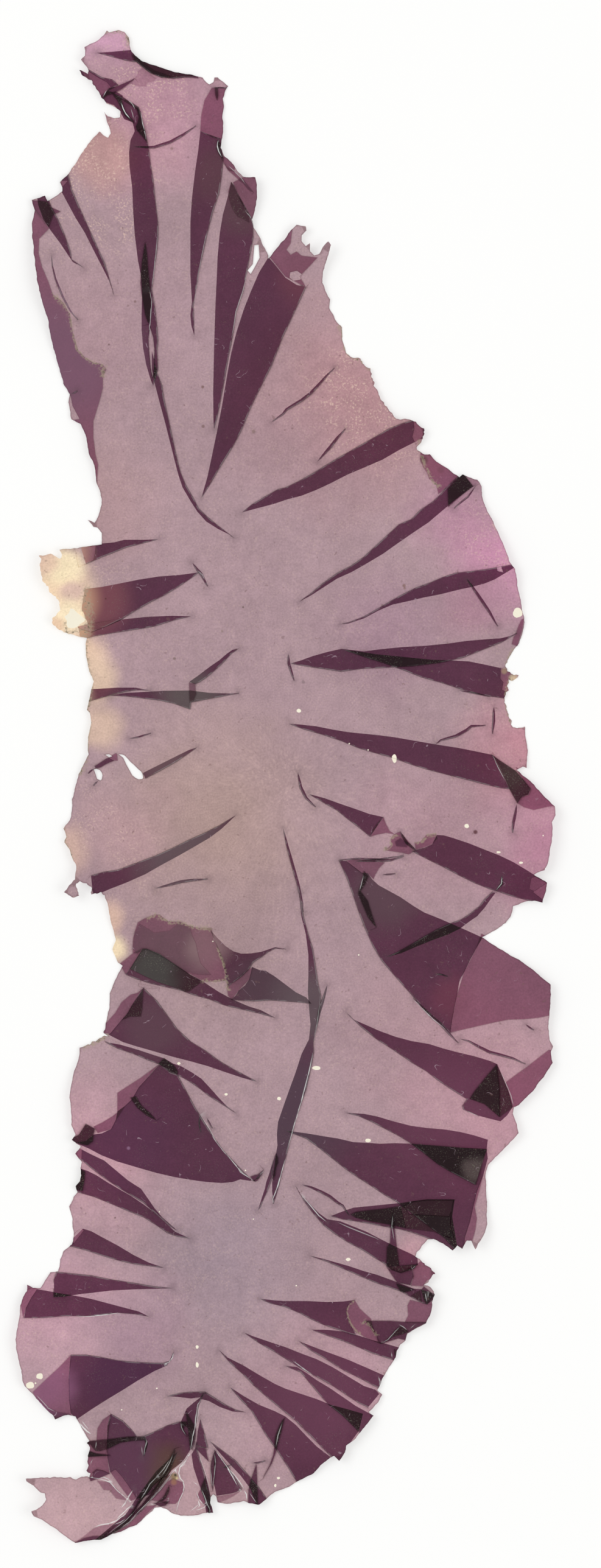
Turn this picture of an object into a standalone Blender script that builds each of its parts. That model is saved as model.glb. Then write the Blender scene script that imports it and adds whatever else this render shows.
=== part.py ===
# Pressed and dried blade of the red seaweed Pyropia abbottiae, lying flat
# It is one thin sheet grown from a small holdfast, with a ruffled margin
# Its spare width was pressed into pleats, turned margins and creases, which stand here as real steps
# Plan points are in millimetres: +Y runs up the blade to its tip, +X to its right side, +Z is up
# The finished mesh is in metres

import math

import bmesh
import bpy
import numpy as np
from mathutils import Vector
from mathutils.geometry import delaunay_2d_cdt

NAME = "pyropia_abbottiae"
MM = 0.001

# Driving sizes
BLADE_LENGTH = 288.5
SHEET = 0.6
PLY_STEP = 0.45
CRISP_RUN = 0.3
SOFT_RUN = 1.3
APEX_RUN = 7.0
CREASE_WIDTH = 0.55
POINT_TOLERANCE = 0.26
MARGIN_TOLERANCE = 0.16
PIN_SIDES = 6
FILL_SPACING = 7.0
FILL_CLEARANCE = 2.2
MERGE_DISTANCE = 0.05
WELD = 0.12

# The holdfast, a low button that the pleats of the base run into
HOLDFAST = {"at": (-20.9, -131.6), "radius": 2.4, "height": 1.3}

# The margin, clockwise from the tip
OUTLINE = [
    # Tip and upper right edge down to the first notch
    (-34.0, 144.1), (-33.6, 143.8), (-31.9, 144.2), (-30.7, 143.9), (-29.8, 142.8), (-29.7, 141.1),
    (-29.3, 140.0), (-28.5, 139.3), (-27.1, 138.2), (-24.9, 137.4), (-22.4, 136.6), (-20.0, 136.0),
    (-17.4, 135.6), (-15.8, 135.2), (-15.1, 134.3), (-14.5, 133.9), (-13.7, 134.3), (-13.5, 135.2),
    (-12.9, 135.2), (-12.1, 134.5), (-10.9, 133.6), (-11.5, 132.6), (-11.9, 131.2), (-11.7, 129.6),
    (-12.0, 127.6), (-11.8, 124.9), (-12.1, 123.3), (-12.3, 121.7), (-11.7, 120.3), (-9.9, 118.5),
    (-9.1, 117.1), (-8.1, 116.2), (-6.9, 116.0), (-5.7, 116.0), (-5.4, 114.6), (-5.4, 112.2),
    (-5.8, 109.8), (-6.35, 108.0), (-6.0, 106.5), (-5.0, 104.9), (-4.2, 103.1), (-3.2, 101.3),
    (-3.3, 100.5), (-1.4, 102.9), (-0.4, 104.1), (1.0, 105.9), (2.15, 107.0), (3.9, 106.7),
    (4.1, 105.9), (3.1, 105.0), (3.1, 103.9), (3.9, 102.9), (4.7, 103.5), (4.7, 101.9),
    (5.5, 101.05), (6.5, 101.5), (7.5, 103.1), (8.2, 103.7), (8.7, 103.1), (8.3, 101.5),
    # Upper right edge
    (7.7, 99.7), (7.2, 98.0), (7.1, 96.0), (7.7, 94.4), (8.5, 92.8), (8.4, 91.2),
    (9.1, 89.9), (9.5, 89.0), (10.7, 87.5), (10.9, 85.1), (11.6, 82.7), (12.6, 81.7),
    (14.6, 81.7), (14.8, 80.7), (16.0, 79.5), (16.6, 78.3), (17.0, 76.4), (17.8, 75.0),
    (18.4, 73.6), (19.35, 72.0), (20.5, 70.8), (21.9, 70.0), (23.9, 70.0), (24.9, 69.45),
    (26.3, 68.1), (26.15, 66.3), (25.1, 64.9), (25.3, 64.1), (26.3, 63.5), (27.5, 63.3),
    (28.8, 61.9), (30.2, 61.1), (31.6, 60.0), (33.2, 58.9), (33.8, 59.5), (34.8, 59.05),
    (36.6, 58.4), (37.5, 57.2), (37.5, 55.4), (38.1, 53.4), (39.5, 50.7), (40.7, 47.9),
    (42.0, 45.1), (42.7, 42.8), (43.7, 41.4), (44.1, 39.6), (44.5, 36.8), (45.05, 34.5),
    # Right edge with the ragged bay
    (45.45, 32.5), (45.6, 31.3), (45.25, 29.2), (44.5, 26.5), (43.1, 25.7), (42.9, 24.5),
    (42.1, 23.1), (42.7, 21.1), (42.1, 19.6), (42.2, 18.2), (41.9, 16.8), (42.2, 14.4),
    (43.1, 12.0), (43.9, 11.1), (45.8, 11.5), (45.85, 9.3), (46.2, 6.9), (46.0, 3.5),
    (45.25, 3.7), (44.1, 3.1), (45.85, 1.6), (47.4, 0.2), (49.4, -2.0), (51.3, -3.85),
    (51.5, -5.55), (50.8, -6.9), (50.9, -9.5), (50.4, -12.1), (50.0, -14.8), (49.4, -16.0),
    (48.0, -16.4), (47.4, -16.9), (49.0, -17.8), (49.9, -18.4), (49.6, -20.0), (49.0, -22.2),
    (47.4, -21.8), (45.65, -22.0), (43.5, -22.95), (43.3, -24.1), (42.1, -26.1), (40.3, -27.3),
    # Lower right edge
    (37.5, -28.8), (38.7, -29.7), (40.5, -30.85), (42.7, -32.1), (45.05, -33.5), (47.0, -34.9),
    (49.0, -36.5), (50.5, -37.85), (50.6, -40.0), (50.3, -43.2), (50.2, -46.0), (50.4, -48.3),
    (51.0, -49.6), (50.6, -50.5), (50.9, -52.7), (49.4, -55.05), (47.8, -57.4), (45.85, -59.4),
    (44.5, -60.8), (43.5, -61.2), (43.4, -62.4), (44.1, -64.5), (44.5, -66.1), (42.7, -68.1),
    (40.7, -70.1), (38.7, -72.25), (38.1, -74.0), (38.25, -76.4), (38.5, -79.6), (38.3, -81.9),
    (38.5, -83.5), (38.1, -85.1), (37.5, -86.0), (36.2, -88.15), (35.4, -86.6), (34.6, -86.6),
    (33.7, -88.1), (32.8, -87.4), (31.9, -88.4), (30.0, -87.2), (28.25, -86.3), (27.1, -86.45),
    (25.9, -87.8), (25.1, -89.7), (26.1, -91.1), (27.5, -91.7), (28.6, -93.0), (27.3, -94.1),
    (26.3, -95.1), (27.7, -95.5), (28.4, -96.9), (28.0, -97.8), (28.0, -99.4), (27.5, -101.0),
    (26.7, -102.4), (24.9, -103.4), (23.3, -104.4), (22.9, -105.7), (21.9, -106.5), (21.3, -107.7),
    (21.1, -108.9), (19.75, -110.9), (18.6, -112.9), (18.0, -114.4), (17.45, -115.2), (18.5, -116.1),
    (17.8, -117.2), (16.6, -118.8), (16.0, -119.3), (16.9, -120.0), (15.4, -121.8), (13.4, -124.3),
    (11.6, -125.7), (11.25, -126.9), (10.3, -128.6), (9.3, -127.7), (8.5, -128.0), (6.7, -129.5),
    (5.5, -131.05), (3.5, -132.0), (2.35, -132.6), (0.4, -133.8), (-1.8, -134.5), (-3.8, -136.0),
    # Base, under the holdfast
    (-5.0, -137.0), (-6.95, -136.7), (-7.9, -136.3), (-11.1, -136.9), (-12.9, -136.5), (-13.15, -135.4),
    (-13.75, -135.0), (-14.3, -135.6), (-14.3, -136.8), (-13.7, -138.5), (-14.85, -138.5),
    (-16.8, -139.0), (-20.0, -139.2), (-21.4, -138.8), (-22.6, -138.0), (-23.75, -137.5),
    (-24.9, -137.8), (-26.7, -139.4), (-28.3, -140.9), (-30.7, -141.9), (-33.0, -142.7), (-35.2, -143.7),
    (-36.6, -143.6), (-38.2, -143.9), (-40.0, -144.3), (-41.3, -143.5), (-43.7, -141.5), (-46.3, -139.75),
    (-47.9, -139.0), (-48.3, -138.1), (-47.5, -137.8), (-46.1, -137.0), (-45.5, -135.8), (-45.9, -134.8),
    (-47.1, -134.2), (-47.9, -133.2), (-49.3, -132.4), (-49.45, -131.9), (-47.7, -131.8), (-44.9, -131.7),
    (-42.5, -131.6), (-40.2, -132.0), (-37.4, -131.8), (-37.2, -131.05), (-37.9, -130.5), (-37.6, -129.5),
    (-37.6, -127.7), (-37.2, -126.1), (-37.9, -125.3), (-37.4, -124.9), (-38.4, -123.1), (-39.4, -121.4),
    # Lower left edge
    (-40.0, -120.2), (-41.3, -119.8), (-42.5, -120.1), (-43.9, -120.8), (-44.3, -120.0), (-45.9, -118.4),
    (-48.1, -115.95), (-48.9, -115.2), (-49.65, -114.4), (-50.1, -113.3), (-50.2, -111.3), (-50.8, -109.3),
    (-51.2, -107.3), (-51.4, -105.4), (-51.0, -103.0), (-50.6, -101.0), (-50.5, -99.0), (-50.0, -97.4),
    (-49.3, -96.3), (-49.2, -95.1), (-48.1, -95.7), (-46.7, -95.7), (-45.5, -93.9), (-44.8, -92.8),
    (-43.3, -92.6), (-42.9, -90.3), (-42.3, -88.7), (-40.75, -87.5), (-40.4, -86.8), (-40.4, -85.1),
    (-40.6, -82.7), (-41.15, -80.2), (-40.4, -78.4), (-39.6, -77.4), (-40.0, -76.3), (-39.2, -75.2),
    (-38.8, -74.2), (-39.05, -72.8), (-38.8, -71.7), (-40.0, -70.1), (-39.05, -68.7), (-40.6, -67.4),
    (-40.0, -66.5), (-40.75, -64.5), (-40.75, -62.2), (-41.1, -59.4), (-40.75, -56.6), (-40.2, -54.3),
    (-39.45, -52.3), (-39.2, -49.9), (-38.8, -49.6), (-37.0, -49.2), (-35.0, -48.1), (-33.8, -47.7),
    (-34.6, -47.1), (-34.2, -45.2), (-33.6, -42.4), (-33.4, -39.6), (-32.45, -36.9), (-31.1, -34.3),
    # Left edge
    (-31.9, -33.7), (-32.45, -32.5), (-33.0, -31.1), (-32.3, -29.5), (-32.65, -27.8), (-33.2, -26.1),
    (-33.8, -23.1), (-34.4, -20.8), (-35.0, -20.2), (-36.8, -20.5), (-36.8, -19.4), (-37.8, -18.5),
    (-39.2, -18.0), (-39.8, -18.6), (-39.6, -20.0), (-38.9, -21.1), (-40.4, -21.2), (-42.1, -20.2),
    (-41.1, -18.8), (-40.0, -17.8), (-39.8, -15.2), (-40.6, -13.7), (-41.15, -12.1), (-42.1, -10.7),
    (-41.7, -9.7), (-42.3, -8.1), (-41.1, -6.5), (-40.75, -5.0), (-40.6, -2.6), (-40.2, -0.6),
    (-39.4, 2.2), (-38.2, 4.5), (-37.6, 6.1), (-37.6, 9.3), (-37.0, 12.0), (-37.2, 14.0),
    (-37.8, 14.6), (-37.2, 17.2), (-37.0, 18.4), (-36.5, 19.95), (-37.4, 21.9), (-38.0, 25.1),
    (-38.1, 27.1), (-37.8, 28.3), (-39.4, 28.65), (-41.3, 29.05), (-43.3, 30.0), (-44.5, 31.2),
    (-44.5, 31.9), (-42.9, 33.3), (-43.1, 34.85), (-44.5, 36.8), (-45.9, 38.8), (-46.5, 40.4),
    (-46.7, 42.0), (-46.3, 43.35), (-46.9, 43.9), (-44.7, 44.2), (-42.9, 43.4), (-42.5, 44.1),
    (-43.0, 45.05), (-40.6, 45.3), (-38.2, 45.7), (-35.0, 46.1), (-35.0, 48.3), (-35.8, 49.3),
    (-36.6, 49.5), (-37.0, 50.1), (-37.7, 50.8), (-36.4, 50.3), (-35.6, 51.5), (-35.0, 53.8),
    # Upper left edge, back to the tip
    (-35.2, 55.8), (-36.0, 57.8), (-36.2, 60.2), (-36.6, 61.9), (-37.4, 63.3), (-37.7, 65.3),
    (-38.2, 67.3), (-39.0, 69.05), (-40.75, 70.0), (-41.35, 73.2), (-41.1, 74.8), (-42.3, 76.8),
    (-43.3, 80.3), (-44.3, 83.9), (-44.8, 85.9), (-45.1, 88.7), (-46.3, 92.4), (-46.9, 94.4),
    (-47.5, 98.4), (-47.9, 102.3), (-48.35, 107.3), (-47.7, 109.8), (-48.35, 111.8), (-46.9, 112.2),
    (-45.8, 112.6), (-45.3, 111.6), (-44.3, 112.2), (-42.5, 113.4), (-42.5, 114.2), (-43.05, 115.25),
    (-41.7, 116.4), (-40.2, 118.5), (-38.2, 121.7), (-36.6, 123.7), (-35.4, 124.9), (-34.6, 124.1),
    (-33.8, 123.7), (-33.2, 124.5), (-33.6, 125.65), (-34.2, 127.6), (-34.8, 129.1), (-33.8, 127.8),
    (-32.65, 127.4), (-31.5, 127.6), (-31.5, 128.6), (-32.45, 129.6), (-34.0, 130.2), (-34.9, 131.1),
    (-36.0, 133.0), (-37.0, 134.5), (-38.8, 135.7), (-39.25, 136.5), (-38.4, 136.1), (-37.6, 135.7),
    (-37.5, 136.3), (-38.0, 137.5), (-38.8, 138.5), (-38.2, 139.3), (-38.3, 140.9), (-37.0, 141.5),
    (-35.6, 142.25), (-34.6, 143.2),
]

# Torn slits right through the sheet
SLITS = [
    [(-5.9, 103.2), (-5.1, 103.3), (-4.9, 100.8), (-5.9, 98.9), (-6.6, 97.7), (-7.2, 98.4), (-6.2, 99.6)],
    [(-31.7, 6.0), (-30.3, 5.3), (-29.1, 3.5), (-27.7, 2.4), (-27.2, 1.6), (-27.9, 1.4), (-29.1, 2.0),
     (-29.9, 3.3), (-30.7, 4.7)],
    [(-36.6, 3.1), (-35.2, 2.9), (-34.9, 1.8), (-35.1, 1.1), (-35.7, 1.2), (-36.3, 2.4)],
    [(-34.3, 6.0), (-33.6, 6.1), (-33.0, 5.7), (-33.6, 5.5)],
]

# Small round holes: middle, half length, half width
PIN_HOLES = [
    (44.3, 33.1, 0.95, 0.95), (20.8, 5.3, 0.45, 0.8), (5.9, -53.8, 0.8, 0.4), (15.8, -67.6, 0.6, 0.35),
    (-46.8, -112.5, 0.65, 0.6), (-48.6, -114.2, 0.75, 0.7), (-16.8, -110.4, 0.3, 0.5),
    (12.0, -90.3, 0.45, 0.3),
]

# Pleats, each a Z-fold of three plies that widens from a sharp end towards the margin
# The crisp edge is the upper fold, a clear step; the soft edge drapes over the fold beneath
PLEATS = {
    "tip roll": {
        "crisp": [(-35.9, 139.8), (-33.0, 139.1), (-30.3, 138.4), (-28.3, 138.1), (-26.9, 136.9),
                  (-25.5, 135.9), (-23.6, 135.2), (-21.2, 135.0), (-19.2, 135.3), (-16.6, 135.1)],
        "soft": [(-33.0, 140.0), (-29.0, 140.4), (-26.0, 138.6), (-21.0, 137.0), (-17.0, 136.2)],
    },
    "tip crumple": {
        "crisp": [(-38.6, 137.2), (-35.0, 135.1), (-33.0, 134.7), (-31.9, 133.75), (-33.8, 132.6),
                  (-30.3, 130.8), (-27.9, 129.4), (-27.4, 127.2), (-26.7, 124.9)],
        "soft": [(-40.0, 136.0), (-37.4, 134.3), (-35.6, 130.9), (-32.6, 129.8), (-31.5, 128.6),
                 (-30.7, 127.2), (-29.1, 126.6), (-28.7, 124.9)],
    },
    "long pleat": {
        "crisp": [(-25.2, 76.4), (-24.3, 79.5), (-24.5, 83.1), (-24.3, 85.0), (-24.5, 87.7), (-24.9, 91.2),
                  (-25.5, 94.8), (-25.2, 96.8), (-24.9, 99.5), (-24.5, 102.3), (-24.3, 105.1),
                  (-24.3, 107.5), (-24.8, 111.4), (-25.2, 115.4), (-25.7, 118.5), (-26.1, 121.7),
                  (-26.7, 124.9)],
        "soft": [(-25.7, 77.6), (-26.5, 80.3), (-27.1, 83.5), (-27.4, 87.0), (-27.4, 90.1), (-27.3, 94.0),
                 (-27.5, 97.2), (-28.1, 100.3), (-28.7, 105.1), (-29.0, 109.4), (-29.2, 114.2),
                 (-29.7, 118.1), (-29.8, 120.9), (-29.5, 123.3), (-28.7, 124.9)],
    },
    "long pleat tail": {
        "crisp": [(-9.7, 47.3), (-12.9, 49.7), (-15.05, 51.5), (-16.6, 53.0), (-17.6, 55.0), (-19.0, 57.4),
                  (-20.0, 59.8), (-20.6, 62.1), (-21.4, 65.7), (-22.4, 70.4), (-23.2, 74.0),
                  (-23.55, 76.4), (-24.3, 78.35)],
        "soft": [(-10.9, 48.1), (-12.9, 49.1), (-15.1, 50.5), (-16.8, 52.4), (-18.2, 54.6), (-19.6, 57.0),
                 (-20.4, 59.4), (-21.2, 62.5), (-22.0, 65.7), (-22.8, 68.9), (-23.75, 72.4),
                 (-24.8, 76.4), (-25.45, 79.5), (-25.45, 83.1)],
    },
    "left pleat, upper": {
        "crisp": [(-32.65, 93.6), (-34.4, 99.55), (-36.2, 103.5), (-38.0, 107.5), (-39.4, 110.6),
                  (-40.75, 113.8), (-41.6, 117.4)],
        "soft": [(-33.6, 96.4), (-34.8, 98.8), (-36.6, 102.3), (-38.2, 105.5), (-40.0, 108.4),
                 (-41.5, 111.2), (-43.2, 114.4)],
    },
    "left pleat, lower": {
        "crisp": [(-38.4, 98.8), (-40.75, 100.4), (-40.95, 101.9), (-42.1, 105.1), (-43.3, 107.9),
                  (-44.5, 110.2), (-45.7, 113.2)],
        "soft": [(-40.5, 99.9), (-42.9, 103.5), (-44.7, 105.9), (-46.1, 108.05), (-47.1, 110.8),
                 (-47.4, 113.0)],
    },
    "tall pleat": {
        "crisp": [(-17.35, 85.9), (-17.6, 91.6), (-17.0, 95.2), (-16.4, 98.8), (-15.6, 102.3),
                  (-14.9, 105.5), (-13.9, 109.4), (-12.7, 113.0), (-12.2, 116.2), (-11.9, 119.3),
                  (-12.5, 121.7), (-11.9, 123.3)],
        "soft": [(-17.9, 87.8), (-18.1, 89.8), (-17.8, 92.4), (-18.1, 97.6), (-18.1, 102.3), (-18.1, 107.5),
                 (-17.8, 112.2), (-17.2, 117.3), (-16.6, 121.3), (-16.2, 124.9)],
    },
    "short tall pleat": {
        "crisp": [(-13.6, 68.3), (-13.1, 70.0), (-12.5, 73.2), (-11.7, 77.2), (-10.9, 81.9), (-10.1, 85.9),
                  (-9.4, 90.5), (-8.1, 94.4), (-7.3, 98.4), (-6.75, 101.5), (-6.15, 104.7), (-6.2, 108.0)],
        "soft": [(-13.7, 69.6), (-13.75, 75.2), (-13.6, 83.1), (-13.35, 91.0), (-13.1, 96.4),
                 (-12.9, 101.1), (-12.5, 105.5), (-11.9, 109.0), (-10.9, 112.6), (-10.3, 115.2)],
    },
    "broad wedge": {
        "crisp": [(-16.0, 55.0), (-14.5, 57.4), (-12.7, 60.55), (-10.1, 64.7), (-8.5, 67.7), (-6.55, 72.4),
                  (-4.6, 76.4), (-2.6, 80.3), (-0.6, 85.5), (1.6, 90.2), (3.9, 95.2)],
        "soft": [(-14.85, 59.0), (-14.1, 62.5), (-13.1, 67.3), (-12.1, 72.4), (-11.1, 78.35),
                 (-10.3, 82.7), (-9.3, 86.65), (-7.9, 91.0), (-6.55, 94.4), (-5.0, 98.0), (-3.2, 100.9),
                 (-2.0, 99.5), (0.0, 97.0), (2.15, 95.6)],
    },
    "upper right pleat": {
        "crisp": [(-8.2, 52.25), (-6.5, 53.6), (-4.2, 55.0), (-1.4, 56.6), (0.0, 56.9), (2.7, 58.2),
                  (5.9, 60.0), (7.9, 61.3), (10.3, 62.7), (13.8, 64.7), (17.0, 66.5), (19.75, 68.1),
                  (22.1, 69.05), (26.6, 70.4)],
        "soft": [(-2.0, 53.9), (0.4, 54.7), (3.1, 55.4), (5.9, 56.5), (8.7, 57.8), (11.8, 59.4),
                 (15.0, 60.75), (18.6, 62.3), (21.7, 64.1), (24.5, 65.5), (27.6, 67.0)],
    },
    "second right pleat": {
        "crisp": [(2.7, 35.2), (5.1, 36.9), (7.1, 38.6), (9.9, 40.6), (12.6, 42.0), (15.0, 43.7),
                  (17.4, 45.9), (19.75, 48.1), (21.7, 49.9), (24.1, 50.9), (25.7, 52.6), (28.05, 54.2),
                  (29.6, 55.6), (31.6, 57.8), (34.6, 60.6)],
        "soft": [(5.1, 36.5), (7.1, 37.8), (9.9, 39.6), (12.6, 40.8), (15.4, 42.4), (18.6, 44.3),
                 (21.7, 46.5), (24.9, 48.7), (27.3, 50.3), (30.0, 52.6), (32.4, 54.6), (35.6, 57.0),
                 (38.4, 59.0)],
    },
    "third right pleat": {
        "crisp": [(10.5, 30.9), (12.0, 31.2), (15.0, 32.3), (17.8, 33.9), (20.1, 35.25), (22.5, 36.6),
                  (24.9, 37.8), (27.7, 38.8), (30.0, 39.8), (32.4, 40.6), (35.2, 40.9), (37.9, 41.25),
                  (40.3, 41.65), (43.5, 42.2)],
        "soft": [(12.0, 31.0), (15.0, 32.0), (17.8, 33.5), (20.5, 34.65), (23.3, 35.25), (26.5, 36.0),
                 (29.6, 36.6), (32.8, 37.4), (35.6, 38.0), (37.9, 38.6), (39.9, 39.4), (41.9, 40.6),
                 (43.9, 41.8)],
    },
    "spindle": {
        "sharp_end": True,
        "crisp": [(1.0, 23.4), (4.0, 22.9), (8.0, 22.3), (10.6, 21.9), (15.0, 22.5), (18.0, 22.6),
                  (24.0, 22.9), (29.6, 23.6), (34.0, 24.6), (39.0, 26.6), (41.5, 27.6), (44.2, 29.2)],
        "soft": [(3.0, 24.0), (5.2, 24.8), (8.0, 25.6), (10.7, 26.2), (15.0, 25.7), (18.0, 26.1),
                 (22.0, 26.5), (27.0, 26.8), (31.0, 27.2), (34.5, 27.7), (38.0, 28.0), (41.0, 28.2),
                 (42.7, 28.6)],
    },
    "under the spindle": {
        "crisp": [(11.2, 26.0), (15.0, 24.7), (18.5, 23.6), (23.0, 22.0), (26.0, 20.8), (30.0, 19.7),
                  (33.0, 18.7), (36.0, 17.8), (39.0, 17.2), (43.2, 16.6)],
        "soft": [(14.0, 25.7), (17.0, 25.2), (20.0, 24.9), (24.0, 24.5), (28.0, 24.1), (31.5, 24.0),
                 (35.0, 23.8), (38.0, 23.2), (41.2, 22.5), (43.4, 22.2)],
    },
    "fourth right pleat": {
        "crisp": [(0.7, 11.9), (3.5, 10.9), (7.0, 9.9), (10.6, 8.7), (14.0, 7.3), (17.0, 6.4), (20.0, 5.6),
                  (22.0, 4.9), (24.5, 4.0), (27.5, 3.1), (31.0, 2.2), (34.5, 1.3), (38.0, 0.4),
                  (41.0, -0.3), (42.7, -0.5)],
        "soft": [(3.0, 11.75), (6.0, 11.4), (9.0, 10.8), (12.0, 10.3), (15.0, 10.0), (18.0, 9.7),
                 (21.0, 9.3), (25.0, 8.6), (29.0, 7.9), (33.0, 7.3), (36.0, 6.7), (39.4, 6.0)],
    },
    "short right dart": {
        "crisp": [(4.5, -1.5), (7.3, -3.1), (9.9, -4.6), (12.0, -6.3), (14.5, -8.2), (16.2, -9.6)],
        "soft": [(7.5, -2.3), (10.3, -3.3), (13.5, -4.4), (16.0, -5.3), (18.7, -5.9)],
    },
    "fifth right pleat": {
        "crisp": [(24.2, -12.4), (27.5, -14.1), (30.0, -15.3), (33.0, -16.9), (36.0, -18.4), (38.5, -19.4),
                  (41.0, -20.2), (43.0, -20.9), (45.3, -21.5), (49.8, -22.6)],
        "soft": [(26.5, -11.8), (28.0, -11.1), (28.9, -9.3), (30.3, -9.4), (32.0, -9.9), (35.0, -10.9),
                 (38.0, -12.1), (40.8, -13.2), (43.5, -14.5), (46.0, -16.0), (47.4, -16.9),
                 (50.8, -18.7)],
    },
    "great wedge": {
        "crisp": [(31.5, -47.1), (29.6, -45.2), (27.0, -43.0), (24.5, -40.2), (22.6, -38.1), (20.6, -35.8),
                  (18.6, -33.5), (16.8, -30.6), (15.2, -27.0), (13.9, -23.6), (12.9, -20.6),
                  (11.7, -17.3), (10.3, -14.2)],
        "soft": [(31.8, -44.7), (32.3, -42.0), (32.8, -39.6), (33.2, -37.3), (34.1, -35.5), (35.3, -33.0),
                 (36.5, -30.8), (37.6, -28.9), (35.0, -27.7), (32.5, -26.6), (29.5, -25.3),
                 (26.5, -24.1), (24.5, -22.9), (22.0, -21.2), (20.0, -20.1), (17.8, -18.9),
                 (16.6, -17.8), (15.7, -16.6), (14.6, -16.5), (13.0, -15.3), (11.7, -14.3)],
    },
    "curved strip": {
        "crisp": [(19.3, -32.6), (21.5, -31.6), (24.0, -30.2), (26.7, -28.6), (29.0, -27.3), (31.5, -26.2),
                  (33.5, -25.5), (35.2, -24.4), (37.0, -23.0), (38.0, -21.6), (39.5, -20.2)],
        "soft": [(22.0, -31.9), (25.0, -30.6), (28.0, -29.4), (31.0, -28.3), (33.3, -27.2), (35.0, -25.9),
                 (36.6, -24.8), (38.0, -23.2), (39.2, -21.5), (40.1, -20.3)],
    },
    "sixth right pleat": {
        "crisp": [(11.7, -43.3), (14.6, -46.0), (17.5, -48.3), (20.5, -50.2), (24.0, -52.6), (27.0, -54.4),
                  (29.0, -56.0), (31.5, -57.7), (34.7, -59.7), (33.8, -61.0), (34.0, -61.7)],
        "soft": [(13.2, -44.6), (15.5, -45.6), (18.0, -46.7), (21.0, -47.8), (24.0, -48.6), (27.5, -49.2),
                 (30.0, -50.0), (33.0, -50.8), (36.0, -51.5), (39.0, -52.4), (40.4, -53.0),
                 (41.8, -56.3), (42.6, -58.5), (43.3, -61.2), (42.3, -62.7), (41.0, -63.9),
                 (37.0, -62.9)],
    },
    "seventh right pleat": {
        "crisp": [(11.5, -62.3), (14.0, -62.9), (16.5, -64.0), (19.0, -65.3), (21.5, -66.6), (24.0, -68.1),
                  (26.5, -70.0), (29.0, -72.0), (31.5, -73.5), (34.0, -74.8), (36.2, -76.0)],
        "soft": [(15.0, -62.5), (17.5, -63.0), (20.5, -63.9), (24.0, -64.8), (27.0, -65.2), (30.5, -65.5),
                 (33.5, -66.0), (36.0, -66.6), (38.6, -67.4), (38.4, -69.2), (37.4, -72.0)],
    },
    "eighth right pleat": {
        "crisp": [(0.0, -65.7), (4.0, -67.2), (6.5, -69.0), (9.0, -71.0), (11.5, -73.0), (14.0, -74.7),
                  (16.5, -76.3), (19.0, -78.0), (21.2, -79.2), (23.0, -80.6), (27.0, -83.6),
                  (30.5, -86.2), (33.8, -90.0)],
        "soft": [(4.5, -66.3), (8.0, -66.9), (10.0, -67.2), (13.0, -67.9), (15.0, -68.0), (18.0, -68.2),
                 (21.0, -68.1), (24.0, -68.2), (28.0, -68.5), (33.0, -68.9), (38.4, -69.2),
                 (38.6, -71.0), (37.8, -74.0), (36.5, -77.5), (35.9, -80.0), (35.2, -83.0),
                 (34.2, -86.0), (33.9, -90.0)],
    },
    "ninth right pleat": {
        "crisp": [(8.7, -82.0), (11.0, -82.6), (13.0, -82.9), (16.0, -83.4), (19.0, -84.0), (22.0, -84.5),
                  (24.5, -85.2), (27.0, -86.1), (30.0, -87.3), (31.9, -89.4)],
        "soft": [(11.5, -80.9), (13.0, -80.4), (16.0, -80.1), (19.0, -79.8), (22.0, -79.5), (24.5, -79.1),
                 (27.0, -78.8), (32.3, -78.8), (31.8, -82.0), (33.0, -89.4)],
    },
    "tenth right pleat": {
        "crisp": [(1.9, -76.2), (3.6, -79.1), (5.0, -81.0), (6.0, -82.2), (7.4, -83.8), (9.5, -85.4),
                  (12.0, -87.0), (14.5, -88.3), (17.0, -89.9), (19.2, -91.2), (19.4, -91.7)],
        "soft": [(2.7, -77.8), (4.3, -79.3), (6.5, -81.5), (8.0, -82.6), (10.5, -83.0), (13.0, -84.0),
                 (15.5, -85.0), (18.0, -86.3), (20.0, -87.3), (22.0, -88.3), (24.0, -89.2), (25.2, -89.9),
                 (25.3, -91.3), (22.0, -91.5)],
    },
    "eleventh right pleat": {
        "crisp": [(4.7, -89.6), (8.0, -90.7), (11.0, -92.0), (14.0, -93.3), (17.0, -94.6), (20.0, -95.6),
                  (22.2, -96.4), (24.0, -97.4), (26.2, -98.5), (27.1, -98.7)],
        "soft": [(7.0, -90.1), (9.5, -90.8), (12.0, -91.5), (15.0, -92.5), (17.5, -93.2), (20.0, -94.1),
                 (21.6, -94.7), (24.5, -95.8), (26.0, -95.9), (29.2, -97.0)],
    },
    "twelfth right pleat": {
        "crisp": [(-4.8, -97.8), (-3.0, -98.6), (0.0, -99.3), (3.0, -100.6), (5.0, -101.7), (7.5, -102.8),
                  (10.0, -103.6), (12.7, -104.5), (13.4, -104.6)],
        "soft": [(-2.0, -98.1), (0.0, -98.2), (4.0, -98.2), (8.0, -98.4), (11.0, -98.3), (13.2, -98.0),
                 (12.0, -99.0), (11.7, -100.3), (12.2, -102.0), (13.0, -103.8)],
    },
    "thirteenth right pleat": {
        "crisp": [(5.0, -103.7), (8.0, -104.8), (11.0, -105.8), (14.0, -107.0), (16.5, -108.1),
                  (19.0, -108.9), (22.2, -109.9)],
        "soft": [(8.0, -103.7), (11.0, -104.0), (14.0, -104.8), (16.5, -105.6), (19.0, -106.3),
                 (22.6, -107.3)],
    },
    "fourteenth right pleat": {
        "crisp": [(2.6, -105.9), (5.0, -107.7), (8.0, -109.4), (11.0, -111.3), (14.0, -112.8),
                  (16.5, -114.1), (18.4, -115.0)],
        "soft": [(6.0, -107.2), (9.0, -108.3), (12.0, -109.4), (15.0, -110.7), (18.6, -112.3),
                 (20.2, -113.0)],
    },
    "fifteenth right pleat": {
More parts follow.
